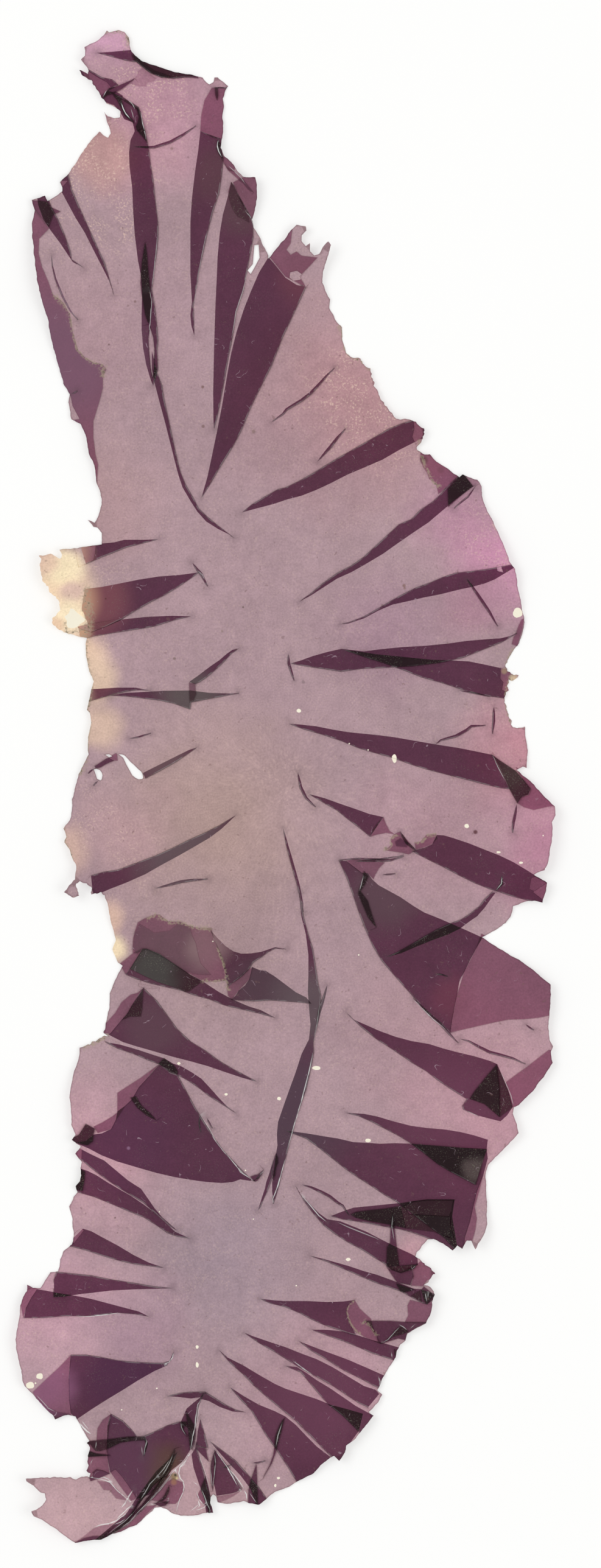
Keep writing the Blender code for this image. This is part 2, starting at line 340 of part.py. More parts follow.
        "crisp": [(-7.8, -104.3), (-5.0, -106.2), (-2.0, -107.9), (1.0, -109.8), (3.5, -111.3),
                  (6.0, -112.6), (9.0, -114.3), (12.0, -116.3), (14.0, -117.6), (15.8, -118.4)],
        "soft": [(-6.0, -105.0), (-3.0, -106.0), (0.0, -107.0), (3.0, -108.2), (6.0, -109.3), (9.0, -110.8),
                 (12.0, -112.6), (15.0, -114.4), (17.2, -115.1), (17.9, -115.9)],
    },
    "sixteenth right pleat": {
        "crisp": [(0.0, -110.6), (3.0, -111.8), (4.5, -113.6), (6.5, -116.0), (8.4, -118.0), (11.0, -120.0),
                  (14.6, -123.5)],
        "soft": [(2.2, -110.8), (4.0, -111.9), (6.0, -113.3), (8.5, -114.8), (11.0, -116.5), (13.5, -118.2),
                 (17.8, -120.5)],
    },
    "seventeenth right pleat": {
        "crisp": [(-12.6, -107.6), (-10.5, -110.0), (-8.0, -112.2), (-6.0, -114.3), (-3.5, -116.5),
                  (-0.5, -119.0), (2.0, -121.0), (4.5, -123.5), (7.0, -126.0), (10.6, -129.6)],
        "soft": [(-11.0, -109.0), (-8.0, -110.5), (-5.0, -112.3), (-2.0, -114.0), (0.0, -114.9),
                 (3.0, -115.9), (6.0, -116.9), (8.5, -117.9), (12.0, -118.8), (14.8, -119.6),
                 (14.0, -122.9), (12.0, -125.6), (12.0, -127.2)],
    },
    "eighteenth right pleat": {
        "crisp": [(-10.5, -114.7), (-8.5, -117.0), (-6.5, -119.0), (-5.0, -121.5), (-3.5, -124.0),
                  (-1.5, -126.8), (0.5, -129.8), (3.0, -134.0)],
        "soft": [(-8.0, -116.3), (-5.0, -118.0), (-2.0, -119.2), (0.0, -120.2), (2.0, -121.8),
                 (4.0, -123.9), (6.0, -125.9), (10.4, -129.2)],
    },
    "first left pleat": {
        "crisp": [(-24.15, 47.1), (-26.7, 46.5), (-30.3, 45.6), (-33.0, 44.5), (-35.0, 43.75),
                  (-38.0, 42.4)],
        "soft": [(-27.1, 47.0), (-30.7, 47.0), (-32.65, 46.5), (-35.0, 46.3), (-39.0, 45.6)],
    },
    "second left pleat": {
        "crisp": [(-16.4, 40.8), (-18.4, 39.4), (-20.8, 37.8), (-23.2, 36.4), (-25.5, 35.25),
                  (-28.3, 33.7), (-31.3, 31.9), (-34.2, 30.5), (-37.0, 29.4)],
        "soft": [(-20.0, 40.3), (-24.0, 40.0), (-27.9, 39.4), (-31.9, 38.6), (-35.0, 38.0), (-38.2, 37.6),
                 (-38.8, 34.0)],
    },
    "third left pleat": {
        "crisp": [(-18.0, 32.4), (-21.2, 31.7), (-25.1, 30.5), (-28.7, 29.9), (-32.65, 29.3), (-36.2, 28.7),
                  (-39.0, 28.0)],
        "soft": [(-21.6, 32.5), (-26.3, 32.3), (-30.3, 31.9), (-34.2, 31.4), (-37.4, 30.9), (-39.5, 30.4)],
    },
    "left sliver": {
        "crisp": [(-25.7, 18.25), (-28.3, 18.4), (-30.7, 18.05), (-32.65, 17.6), (-35.0, 16.9),
                  (-38.2, 16.0)],
        "soft": [(-28.7, 18.8), (-31.9, 18.8), (-36.8, 18.5), (-38.4, 18.5)],
    },
    "left kite": {
        "sharp_end": True,
        "crisp": [(-33.4, 17.3), (-30.3, 17.2), (-27.1, 16.8), (-24.0, 16.4), (-21.2, 15.8),
                  (-18.2, 14.7), (-18.0, 16.0), (-14.5, 16.7), (-11.3, 17.3), (-8.85, 17.7)],
        "soft": [(-30.3, 17.8), (-26.3, 18.0), (-23.2, 18.2), (-18.0, 18.25), (-14.5, 17.8),
                 (-11.3, 17.7)],
    },
    "left kite arm": {
        "crisp": [(-8.85, 26.3), (-10.7, 25.1), (-12.1, 23.9), (-14.1, 22.3), (-16.0, 20.7),
                  (-17.8, 19.4)],
        "soft": [(-10.1, 26.0), (-11.1, 25.3), (-12.5, 24.1), (-14.5, 22.7), (-16.6, 21.1),
                 (-18.3, 19.9)],
    },
    "sixth left pleat": {
        "crisp": [(-16.8, 7.4), (-18.4, 6.3), (-20.8, 4.7), (-24.0, 2.9), (-26.7, 1.5)],
        "soft": [(-18.4, 6.9), (-20.8, 5.7), (-24.0, 4.1), (-27.1, 2.55)],
    },
    "seventh left pleat": {
        "crisp": [(-9.4, -5.55), (-12.5, -7.5), (-15.25, -8.9), (-18.4, -10.3), (-21.6, -11.9),
                  (-24.7, -13.3), (-28.3, -14.65), (-31.9, -16.0), (-34.6, -16.4), (-37.0, -17.1)],
        "soft": [(-12.1, -8.1), (-14.5, -9.9), (-17.6, -11.7), (-20.4, -13.3), (-23.55, -15.0),
                 (-26.7, -16.8), (-30.3, -18.4), (-33.4, -19.6), (-36.6, -21.0)],
    },
    "eighth left pleat": {
        "crisp": [(-1.9, -44.2), (-5.0, -43.3), (-8.0, -42.6), (-11.5, -41.8), (-14.5, -40.6),
                  (-17.5, -39.8), (-20.0, -38.9), (-24.0, -38.0), (-26.0, -37.5), (-28.5, -36.7),
                  (-30.4, -35.9)],
        "soft": [(-4.7, -42.7), (-7.0, -42.0), (-10.0, -40.7), (-12.6, -39.3), (-15.8, -37.2),
                 (-18.0, -36.0), (-21.0, -34.0), (-24.0, -32.0), (-26.4, -31.0), (-27.2, -31.0),
                 (-29.6, -34.8)],
    },
    "middle star": {
        "crisp": [(0.3, -31.1), (-1.9, -30.95), (-3.3, -31.6), (-4.6, -32.6), (-6.2, -33.6), (-7.1, -35.0),
                  (-8.3, -36.2), (-9.4, -37.0), (-11.0, -38.2)],
        "soft": [(-1.9, -30.7), (-3.4, -31.2), (-4.6, -31.6), (-6.5, -31.9), (-8.4, -31.95), (-9.9, -31.5),
                 (-11.4, -30.5), (-13.0, -28.9), (-14.3, -27.4), (-12.7, -31.5), (-11.3, -36.0)],
    },
    "middle leaf": {
        "crisp": [(5.0, -41.5), (2.6, -41.2), (0.0, -41.0), (-3.0, -40.8), (-6.0, -41.0), (-10.2, -40.7)],
        "soft": [(4.0, -40.3), (2.0, -39.3), (0.0, -37.8), (-2.0, -36.3), (-3.8, -35.2), (-4.9, -35.1),
                 (-6.3, -34.5), (-6.9, -36.9), (-7.7, -38.0), (-8.9, -39.0), (-9.4, -39.9)],
    },
    "ninth left pleat": {
        "crisp": [(-5.4, -56.4), (-7.3, -55.4), (-9.8, -54.1), (-12.5, -52.5), (-15.4, -50.4),
                  (-18.0, -48.8), (-20.6, -46.4), (-22.5, -43.8), (-24.5, -41.0), (-27.1, -38.5)],
        "soft": [(-8.0, -55.7), (-11.0, -54.7), (-14.8, -53.4), (-18.0, -52.5), (-21.5, -51.6),
                 (-25.3, -50.5), (-28.5, -49.6), (-31.0, -48.8), (-33.9, -47.3), (-33.4, -47.2),
                 (-31.4, -44.8), (-30.0, -43.2), (-28.8, -41.0)],
    },
    "tenth left pleat": {
        "crisp": [(-9.4, -62.4), (-11.2, -61.2), (-12.6, -60.3), (-14.5, -59.1), (-16.5, -57.5),
                  (-18.4, -56.2), (-20.2, -55.2), (-21.6, -54.6), (-24.0, -53.0), (-26.0, -52.3),
                  (-29.0, -51.0), (-32.0, -50.0), (-34.3, -48.8)],
        "soft": [(-11.3, -60.9), (-12.8, -59.3), (-14.4, -57.5), (-16.0, -55.8), (-17.8, -54.6),
                 (-19.9, -53.4), (-21.4, -52.9), (-23.1, -51.9), (-25.0, -51.3), (-28.0, -50.3),
                 (-31.5, -49.3)],
    },
    "great triangle": {
        "crisp": [(-4.4, -73.6), (-5.9, -75.3), (-6.8, -74.8), (-8.0, -73.6), (-9.8, -71.7), (-11.8, -69.6),
                  (-13.5, -67.3), (-15.3, -64.5), (-17.2, -61.4), (-18.6, -58.8), (-20.6, -55.1),
                  (-22.0, -54.6), (-23.9, -53.0)],
        "soft": [(-5.2, -74.9), (-6.7, -75.3), (-8.6, -75.0), (-10.0, -75.5), (-12.0, -75.7),
                 (-15.0, -75.5), (-18.0, -75.1), (-21.0, -74.6), (-24.5, -73.8), (-28.0, -72.8),
                 (-32.0, -71.6), (-35.0, -70.4), (-37.6, -69.0), (-40.2, -67.9), (-38.0, -67.6),
                 (-36.5, -66.4), (-35.0, -66.2), (-33.2, -65.4), (-32.3, -63.6), (-32.0, -62.0),
                 (-30.6, -61.0), (-29.3, -59.8), (-27.9, -57.4), (-25.9, -55.2)],
    },
    "twelfth left pleat": {
        "crisp": [(-20.6, -84.8), (-22.0, -83.7), (-23.8, -82.2), (-25.3, -80.4), (-27.0, -78.8),
                  (-29.2, -77.6), (-31.8, -76.1), (-34.3, -74.3), (-36.2, -73.0), (-38.0, -71.6),
                  (-41.0, -70.0)],
        "soft": [(-23.5, -82.2), (-25.0, -80.4), (-26.3, -78.5), (-27.5, -76.8), (-30.0, -75.2),
                 (-32.5, -73.1), (-34.5, -71.4), (-37.0, -70.2), (-38.9, -69.2), (-40.6, -68.8)],
    },
    "thirteenth left pleat": {
        "crisp": [(-18.2, -86.3), (-20.5, -85.9), (-22.5, -85.2), (-24.6, -83.7), (-27.0, -82.2),
                  (-30.0, -81.0), (-33.5, -79.5), (-36.5, -78.3), (-41.0, -77.0)],
        "soft": [(-21.0, -85.0), (-22.8, -83.3), (-25.0, -81.3), (-27.0, -79.8), (-29.5, -78.1),
                 (-31.8, -76.8), (-34.0, -75.5), (-36.0, -74.2), (-37.6, -73.4), (-40.4, -72.4)],
    },
    "fourteenth left pleat": {
        "crisp": [(-23.1, -91.9), (-26.0, -91.5), (-29.0, -91.1), (-32.0, -90.4), (-35.0, -89.5),
                  (-38.0, -88.5), (-42.0, -87.5)],
        "soft": [(-26.0, -90.9), (-29.0, -89.4), (-32.0, -87.6), (-35.0, -86.0), (-37.0, -84.9),
                 (-38.6, -84.4), (-40.2, -86.0), (-42.0, -86.6)],
    },
    "fifteenth left pleat": {
        "crisp": [(-21.5, -95.8), (-25.0, -95.5), (-29.0, -94.8), (-33.0, -94.2), (-37.0, -93.4),
                  (-40.0, -93.1), (-43.6, -92.7), (-44.1, -94.2)],
        "soft": [(-25.0, -95.9), (-29.0, -96.0), (-33.0, -96.2), (-36.5, -96.6), (-40.0, -97.0),
                 (-42.0, -97.3), (-44.1, -97.4)],
    },
    "sixteenth left pleat": {
        "crisp": [(-26.0, -101.2), (-28.5, -100.7), (-32.0, -100.4), (-35.0, -100.8), (-38.0, -101.0),
                  (-42.0, -101.0), (-46.0, -101.3), (-49.7, -101.3)],
        "soft": [(-28.0, -100.2), (-31.0, -99.4), (-34.0, -98.6), (-37.0, -97.8), (-40.0, -97.2),
                 (-43.5, -96.6), (-47.3, -95.9), (-48.4, -97.5), (-49.4, -99.4)],
    },
    "great dart": {
        "crisp": [(-21.3, -107.9), (-21.5, -108.9), (-21.9, -109.6), (-23.3, -110.1), (-25.0, -110.1),
                  (-29.0, -109.9), (-32.0, -109.6), (-35.5, -108.9), (-38.0, -108.5), (-40.9, -108.5)],
        "soft": [(-22.5, -110.5), (-25.0, -111.6), (-28.0, -113.3), (-31.0, -115.2), (-34.0, -117.0),
                 (-37.0, -118.9), (-39.8, -120.8), (-40.9, -119.6), (-41.2, -117.0), (-41.3, -113.0)],
    },
    "base upper wedge": {
        "crisp": [(-28.2, -124.2), (-29.3, -122.8), (-31.0, -121.1), (-33.3, -119.8)],
        "soft": [(-29.5, -124.4), (-32.0, -124.6), (-34.0, -125.0), (-33.9, -122.0)],
    },
    "base panel": {
        "crisp": [(-17.6, -124.0), (-18.5, -122.5), (-19.9, -121.2), (-22.5, -122.0), (-24.5, -123.0),
                  (-26.8, -124.0), (-30.0, -124.4), (-34.0, -125.0)],
        "soft": [(-18.1, -126.6), (-19.5, -128.8), (-21.6, -130.4), (-23.5, -133.0), (-26.0, -135.2),
                 (-29.4, -136.3), (-31.5, -133.5), (-33.4, -130.8), (-33.9, -128.0)],
    },
    "base strap": {
        "crisp": [(-20.6, -127.0), (-21.8, -130.0), (-23.4, -133.0), (-25.4, -135.6), (-27.6, -138.4),
                  (-30.2, -141.0), (-33.0, -142.6), (-36.0, -145.0)],
        "soft": [(-22.4, -128.6), (-24.6, -130.6), (-26.4, -133.0), (-28.4, -135.8), (-30.2, -138.6),
                 (-33.0, -141.0), (-37.6, -144.8)],
    },
    "base star, lower arm": {
        "crisp": [(-15.6, -115.8), (-16.7, -118.5), (-17.0, -121.0), (-17.2, -124.5), (-17.8, -126.5)],
        "soft": [(-16.2, -116.6), (-17.5, -117.6), (-18.8, -118.7), (-19.9, -121.2), (-18.6, -122.5),
                 (-18.0, -125.0)],
    },
    "base star, left arm": {
        "crisp": [(-22.5, -116.4), (-20.0, -115.8), (-18.0, -115.6), (-15.3, -115.6)],
        "soft": [(-20.5, -116.5), (-18.0, -116.8), (-15.9, -116.5)],
    },
    "base star, right arm": {
        "crisp": [(-7.5, -119.5), (-9.5, -119.0), (-11.5, -118.0), (-13.5, -116.7), (-15.3, -115.6)],
        "soft": [(-10.0, -119.3), (-12.5, -118.4), (-14.5, -117.3), (-16.3, -116.8)],
    },
    "base spear": {
        "crisp": [(-16.2, -120.7), (-15.6, -123.0), (-14.8, -126.2)],
        "soft": [(-16.7, -123.0), (-17.0, -125.7)],
    },
    "base stalk": {
        "crisp": [(-17.0, -126.0), (-16.3, -128.5), (-15.5, -131.0), (-15.0, -133.5), (-14.2, -136.0),
                  (-14.4, -139.4)],
        "soft": [(-17.9, -127.5), (-17.5, -130.0), (-16.5, -133.0), (-15.4, -136.0), (-15.0, -139.4)],
    },
    "base shard": {
        "crisp": [(-13.5, -126.6), (-12.0, -128.5), (-10.5, -130.5), (-9.0, -132.8), (-8.3, -134.0)],
        "soft": [(-13.6, -130.0), (-13.6, -133.0), (-13.1, -135.3), (-10.0, -134.8)],
    },
    "base diagonal": {
        "crisp": [(-14.4, -125.0), (-12.0, -126.8), (-9.5, -128.7), (-7.0, -131.5), (-5.0, -133.8),
                  (-2.8, -137.0)],
        "soft": [(-12.5, -127.2), (-10.7, -129.2), (-8.5, -131.5), (-6.6, -134.0), (-5.2, -138.0)],
    },
    "central fold": {
        "sharp_end": True,
        "crisp": [(2.6, -20.5), (3.5, -25.2), (4.4, -28.5), (5.2, -31.0), (5.75, -34.5), (6.2, -37.5),
                  (6.75, -39.9), (6.6, -42.0), (6.1, -45.0), (5.6, -47.6), (5.3, -49.0), (5.4, -50.8),
                  (5.0, -53.0), (4.5, -55.4), (3.9, -58.0), (3.1, -60.3), (2.1, -63.0), (1.6, -65.2),
                  (0.9, -67.5), (0.2, -70.3), (-0.5, -73.0), (-1.2, -76.0), (-1.9, -78.6), (-2.3, -79.7)],
        "soft": [(3.1, -25.0), (3.9, -28.2), (4.4, -32.1), (4.4, -36.1), (4.3, -39.2), (4.5, -42.0),
                 (4.8, -45.6), (4.5, -48.3), (3.1, -51.1), (1.95, -54.65), (0.8, -57.8), (-0.2, -60.6),
                 (-1.4, -64.1), (-1.6, -66.5), (-1.5, -68.5), (-1.9, -71.0), (-2.2, -73.5),
                 (-2.5, -75.6), (-2.5, -77.2)],
    },
    "central fold, left tail": {
        "crisp": [(-5.1, -81.0), (-4.0, -78.8), (-3.0, -76.6), (-2.4, -75.4)],
        "soft": [(-4.2, -78.2), (-3.1, -75.6), (-2.2, -73.8)],
    },
}

# Turned margins and double layers: closed outlines with the number of extra plies
LAYERS = {
    "tip, turned": (1, [(-30.0, 138.5), (-27.8, 138.4), (-24.5, 137.0), (-22.8, 135.3), (-26.5, 134.4),
                        (-29.5, 135.8)]),
    "left margin, turned": (1, [
        (-49.4, 112.0), (-45.0, 106.3), (-46.9, 104.3), (-47.0, 101.5), (-46.3, 98.8), (-45.1, 96.0),
        (-44.3, 93.6), (-42.5, 92.2), (-41.15, 89.9), (-40.6, 86.5), (-40.2, 85.1), (-39.6, 83.1),
        (-38.2, 81.7), (-36.6, 80.7), (-35.6, 80.6), (-34.8, 80.3), (-34.2, 79.5), (-34.8, 78.35),
        (-34.8, 76.0), (-35.4, 73.6), (-36.0, 71.6), (-36.6, 69.6), (-36.6, 66.5), (-36.2, 63.3),
        (-35.7, 61.3), (-36.0, 57.0), (-38.6, 60.0), (-42.4, 70.0), (-46.6, 88.0), (-49.6, 104.0)]),
    "tall pleat, top": (1, [(-14.3, 134.6), (-15.4, 130.8), (-16.0, 128.0), (-16.2, 125.0),
                            (-13.7, 123.7), (-11.4, 123.3), (-10.8, 127.6), (-10.6, 131.2),
                            (-10.2, 134.6)]),
    "short tall pleat, top": (1, [(-10.3, 115.2), (-6.2, 108.0), (-5.0, 108.0), (-4.6, 113.0),
                                  (-5.0, 116.8), (-9.0, 117.4)]),
    "broad wedge, right": (1, [(1.4, 106.9), (1.0, 103.5), (0.2, 102.3), (1.0, 101.3), (2.15, 101.9),
                               (3.1, 101.1), (6.1, 100.7), (4.5, 99.0), (2.7, 97.2), (3.9, 95.2),
                               (0.0, 97.2), (-2.0, 99.7), (-3.2, 101.2)]),
    "upper right, turned": (1, [(25.9, 64.4), (25.7, 62.5), (26.3, 60.9), (27.1, 59.8), (27.5, 58.6),
                                (28.8, 57.8), (29.2, 55.8), (31.6, 57.8), (33.2, 58.9), (31.9, 61.0),
                                (28.0, 64.4)]),
    "second right pleat, end": (2, [(30.5, 56.6), (30.7, 53.3), (35.0, 56.4), (37.4, 59.0),
                                    (33.8, 60.4)]),
    "fourth right pleat, end": (3, [(39.4, 6.0), (41.0, 4.8), (43.9, 2.9), (45.4, 1.2), (46.7, -0.5),
                                    (46.3, -1.6), (45.0, -2.0), (44.2, -3.2), (42.7, -0.5),
                                    (40.8, 3.8)]),
    "right corner, turned": (1, [(44.0, 3.6), (48.0, 0.6), (52.4, -3.6), (50.0, -3.9), (47.3, -4.5),
                                 (45.5, -4.0), (44.2, -3.2), (45.0, -2.0), (46.4, -1.7), (46.7, -0.5),
                                 (45.2, 1.4)]),
    "short right dart, end": (1, [(18.7, -5.9), (19.1, -7.0), (19.9, -8.6), (20.8, -9.1), (19.2, -8.9),
                                  (17.6, -9.2), (16.2, -9.6), (16.9, -8.1), (17.5, -7.2)]),
    "torn flap": (1, [(20.7, -9.2), (21.9, -8.7), (22.9, -9.9), (24.9, -12.2), (23.5, -13.0),
                      (22.4, -12.7), (21.0, -12.5), (19.1, -12.2), (20.3, -11.2), (20.1, -10.3)]),
    "torn flap, tip": (1, [(21.9, -10.0), (23.4, -10.8), (23.2, -11.6), (21.2, -11.4), (21.0, -10.6)]),
    "fifth right pleat, torn": (1, [(24.9, -12.1), (24.7, -10.8), (25.8, -10.7), (26.9, -9.4),
                                    (28.7, -9.2), (28.9, -9.9), (27.9, -11.1), (26.7, -11.6)]),
    "great wedge, turned": (1, [(31.5, -47.0), (33.0, -46.6), (36.5, -45.8), (40.0, -45.0), (42.5, -44.5),
                                (45.5, -44.4), (48.3, -44.1), (51.6, -43.4), (52.0, -37.4),
                                (44.0, -31.0), (37.4, -28.2), (36.5, -30.8), (34.1, -35.5),
                                (32.8, -39.6), (31.8, -44.7)]),
    "great wedge, top edge": (1, [(11.7, -14.2), (13.6, -13.9), (18.9, -14.6), (17.9, -15.6),
                                  (17.2, -16.8), (16.8, -17.7), (15.6, -16.5), (15.0, -16.8),
                                  (13.8, -16.0), (12.8, -15.2)]),
    "great wedge, dark leaf": (2, [(15.0, -16.2), (15.8, -17.2), (15.2, -18.6), (14.3, -20.0),
                                   (15.7, -21.9), (16.5, -24.5), (17.3, -26.9), (15.8, -25.0),
                                   (14.6, -22.2), (13.9, -20.4), (14.7, -18.2)]),
    "sixth right pleat, end": (2, [(40.3, -53.1), (38.0, -55.8), (36.0, -58.3), (35.0, -60.0),
                                   (38.0, -62.2), (41.0, -63.9), (42.3, -62.7), (43.3, -61.2),
                                   (42.6, -58.5), (41.8, -56.3)]),
    "lower right, turned": (1, [(41.9, -56.6), (44.0, -55.0), (46.0, -53.6), (48.5, -51.6),
                                (50.2, -50.3), (52.0, -50.5), (52.0, -54.0), (47.0, -59.9),
                                (43.3, -61.2), (42.6, -58.5)]),
    "seventh right pleat, overlap": (2, [(24.0, -68.2), (28.0, -68.5), (33.0, -68.9), (38.4, -69.3),
                                         (37.4, -72.3), (36.3, -76.0), (34.0, -74.8), (31.5, -73.5),
                                         (29.0, -72.0), (26.5, -70.0)]),
    "eighth right pleat, turned": (1, [(37.8, -74.0), (36.5, -77.5), (35.9, -80.0), (35.2, -83.0),
                                       (34.2, -86.0), (33.9, -89.0), (35.3, -87.6), (36.2, -84.6),
                                       (36.5, -82.4), (36.1, -80.2), (37.0, -77.0)]),
    "ninth right pleat, overlap": (2, [(12.5, -81.7), (13.5, -81.2), (16.0, -80.9), (19.0, -80.6),
                                       (22.0, -80.1), (24.5, -79.2), (27.0, -78.9), (32.1, -78.9),
                                       (31.6, -81.0), (31.3, -83.5), (32.0, -86.0), (30.0, -85.6),
                                       (28.2, -84.9), (23.0, -84.3), (20.0, -83.6), (16.0, -82.9),
                                       (13.5, -82.3)]),
    "tenth right pleat, band": (2, [(20.5, -81.6), (20.1, -84.0), (20.0, -87.0), (19.4, -88.0),
                                    (19.3, -91.5), (21.7, -91.4), (21.3, -88.5), (20.9, -85.0),
                                    (20.8, -83.8)]),
    "tenth right pleat, end": (3, [(19.5, -91.7), (22.0, -91.5), (25.1, -91.2), (24.5, -92.0),
                                   (22.0, -92.8), (20.3, -92.2)]),
    "tenth right pleat, flap": (2, [(19.4, -91.8), (20.3, -93.2), (21.3, -94.6), (23.8, -95.1),
                                    (24.4, -93.5), (24.2, -91.8), (22.0, -92.8), (20.3, -92.2)]),
    "tenth right pleat, turned": (1, [(24.3, -91.4), (25.3, -91.0), (26.1, -90.4), (29.6, -93.0),
                                      (27.0, -94.2), (26.2, -95.3), (24.0, -95.2), (24.4, -93.5)]),
    "eleventh right pleat, knot": (2, [(25.7, -95.8), (27.0, -95.3), (29.2, -96.6), (27.4, -99.0),
                                       (26.2, -97.9)]),
    "eleventh right pleat, turned": (1, [(23.8, -98.0), (26.5, -98.6), (29.0, -98.0), (29.0, -100.0),
                                         (27.6, -102.3), (22.8, -102.2), (23.4, -101.0),
                                         (23.3, -99.0)]),
    "twelfth right pleat, end": (1, [(13.2, -98.0), (14.2, -99.7), (15.5, -100.9), (16.3, -101.6),
                                     (16.6, -103.0), (17.3, -104.7), (18.1, -106.3), (15.0, -105.0),
                                     (13.0, -103.8), (12.2, -102.0), (11.7, -100.3), (12.0, -99.0)]),
    "twelfth right pleat, knot": (3, [(16.5, -102.1), (20.0, -102.0), (23.0, -102.2), (27.2, -102.2),
                                      (24.5, -104.6), (23.1, -106.2), (21.5, -105.2), (20.0, -105.8),
                                      (18.3, -106.3), (17.6, -105.0), (17.2, -103.6)]),
    "eighteenth right pleat, ridge": (2, [(-0.2, -120.5), (-0.3, -122.0), (-1.4, -123.5), (-2.0, -125.5),
                                          (-2.0, -127.5), (-3.0, -129.5), (-4.3, -132.0),
                                          (-2.5, -129.8), (-1.4, -127.0), (-1.0, -124.5)]),
    "torn sheet": (1, [(-28.1, -26.0), (-26.9, -25.3), (-24.8, -24.5), (-23.9, -24.6), (-22.4, -25.9),
                       (-20.1, -25.9), (-18.1, -26.8), (-16.6, -27.1), (-14.1, -27.1), (-13.7, -29.2),
                       (-12.6, -31.4), (-11.8, -33.4), (-11.1, -37.0), (-13.0, -37.2), (-15.6, -37.2),
                       (-19.0, -35.4), (-23.0, -32.7), (-26.4, -31.0), (-27.2, -31.0), (-28.2, -31.8),
                       (-29.1, -31.8), (-29.1, -30.6), (-29.0, -29.0), (-28.6, -27.4)]),
    "torn sheet, upper": (1, [(-25.0, -28.0), (-22.0, -27.6), (-20.1, -25.9), (-18.2, -26.9),
                              (-17.8, -28.5), (-17.1, -30.0), (-16.7, -32.0), (-16.2, -33.8),
                              (-14.2, -36.0), (-16.5, -35.9), (-19.0, -35.4), (-23.0, -32.7),
                              (-26.4, -31.0), (-28.2, -31.8), (-29.1, -31.0), (-28.8, -28.2),
                              (-27.8, -26.3)]),
    "eighth left pleat, overlap": (2, [(-29.6, -34.8), (-27.2, -31.0), (-26.4, -31.0), (-24.0, -32.0),
                                       (-21.0, -34.0), (-18.8, -35.5), (-16.0, -37.3), (-18.4, -39.1),
                                       (-19.2, -39.2), (-20.5, -38.6), (-24.4, -37.3),
                                       (-27.0, -36.1)]),
    "eighth left pleat, turned": (1, [(-31.7, -34.0), (-30.3, -32.9), (-29.1, -31.9), (-27.2, -31.0),
                                      (-29.6, -34.8), (-30.4, -35.9), (-31.2, -34.6)]),
    "middle leaf, side": (1, [(-11.1, -38.5), (-9.4, -37.0), (-7.1, -35.0), (-6.3, -34.6), (-6.9, -36.9),
                              (-8.9, -39.0), (-10.2, -40.7), (-10.9, -40.0)]),
    "ninth left pleat, turned": (1, [(-35.6, -47.0), (-33.9, -44.9), (-32.4, -43.2), (-31.2, -41.2),
                                     (-29.5, -39.8), (-28.1, -39.4), (-27.1, -38.5), (-28.8, -41.0),
                                     (-30.0, -43.2), (-31.4, -44.8), (-33.4, -47.2)]),
    "ninth left pleat, dark": (2, [(-27.1, -38.6), (-28.2, -40.3), (-29.4, -42.0), (-30.3, -43.6),
                                   (-31.2, -44.6), (-29.6, -43.9), (-27.6, -43.9), (-27.3, -42.5)]),
    "tenth left pleat, knot": (2, [(-23.1, -51.9), (-24.1, -52.9), (-21.8, -54.5), (-20.6, -55.0),
                                   (-20.5, -54.4), (-21.2, -53.3)]),
    "great triangle, turned": (1, [(-35.7, -66.1), (-36.5, -64.9), (-35.0, -64.2), (-33.0, -63.0),
                                   (-32.0, -62.2), (-32.0, -58.5), (-30.0, -57.2), (-27.5, -55.6),
                                   (-24.0, -53.0), (-27.9, -57.4), (-29.3, -59.8), (-30.6, -61.0),
                                   (-32.3, -63.6), (-33.2, -65.4)]),
    "great triangle, dark": (2, [(-29.5, -59.4), (-28.5, -59.2), (-27.4, -61.0), (-26.0, -62.2),
                                 (-24.6, -63.7), (-26.5, -62.7), (-28.2, -61.3)]),
    "great triangle, corner": (3, [(-38.0, -64.4), (-36.3, -65.3), (-36.6, -66.5), (-36.7, -67.7),
                                   (-37.7, -68.4), (-38.8, -68.2), (-41.2, -67.4), (-39.3, -66.4)]),
    "thirteenth left pleat, end": (2, [(-39.6, -72.7), (-38.2, -73.5), (-38.3, -75.0), (-38.7, -77.2),
                                       (-41.0, -76.6), (-40.0, -75.0)]),
    "sixteenth left pleat, turned": (1, [(-49.9, -94.5), (-47.3, -95.9), (-48.4, -97.5), (-49.4, -99.4),
                                         (-49.9, -101.3), (-50.6, -98.0)]),
    "fifteenth left pleat, overlap": (2, [(-44.1, -97.4), (-44.0, -96.7), (-41.0, -97.0),
                                          (-42.0, -97.3)]),
    "great dart, turned": (1, [(-40.9, -108.5), (-43.0, -110.7), (-45.5, -113.0), (-48.1, -115.5),
                               (-46.6, -118.4), (-44.0, -121.8), (-40.2, -121.2), (-40.9, -119.6),
                               (-41.2, -117.0), (-41.3, -113.0)]),
    "base, dark strip": (2, [(-38.6, -125.0), (-33.0, -124.5), (-29.5, -124.3), (-26.5, -123.9),
                             (-26.4, -124.9), (-30.0, -125.2), (-33.0, -125.8), (-36.0, -126.8),
                             (-36.5, -126.0)]),
    "base, small dark strip": (3, [(-38.4, -127.0), (-36.0, -127.3), (-33.4, -127.6), (-36.0, -127.9),
                                   (-38.4, -127.8)]),
    "base, left side": (1, [(-33.3, -119.8), (-34.8, -120.9), (-35.8, -122.5), (-36.0, -124.8),
                            (-38.6, -125.2), (-38.4, -131.0), (-37.0, -131.8), (-34.8, -130.6),
                            (-33.4, -130.8), (-33.9, -128.0), (-34.0, -125.0)]),
    "base, under flap": (1, [(-33.4, -130.8), (-36.0, -132.6), (-34.0, -134.8), (-31.5, -136.0),
                             (-29.4, -136.3), (-31.5, -133.5)]),
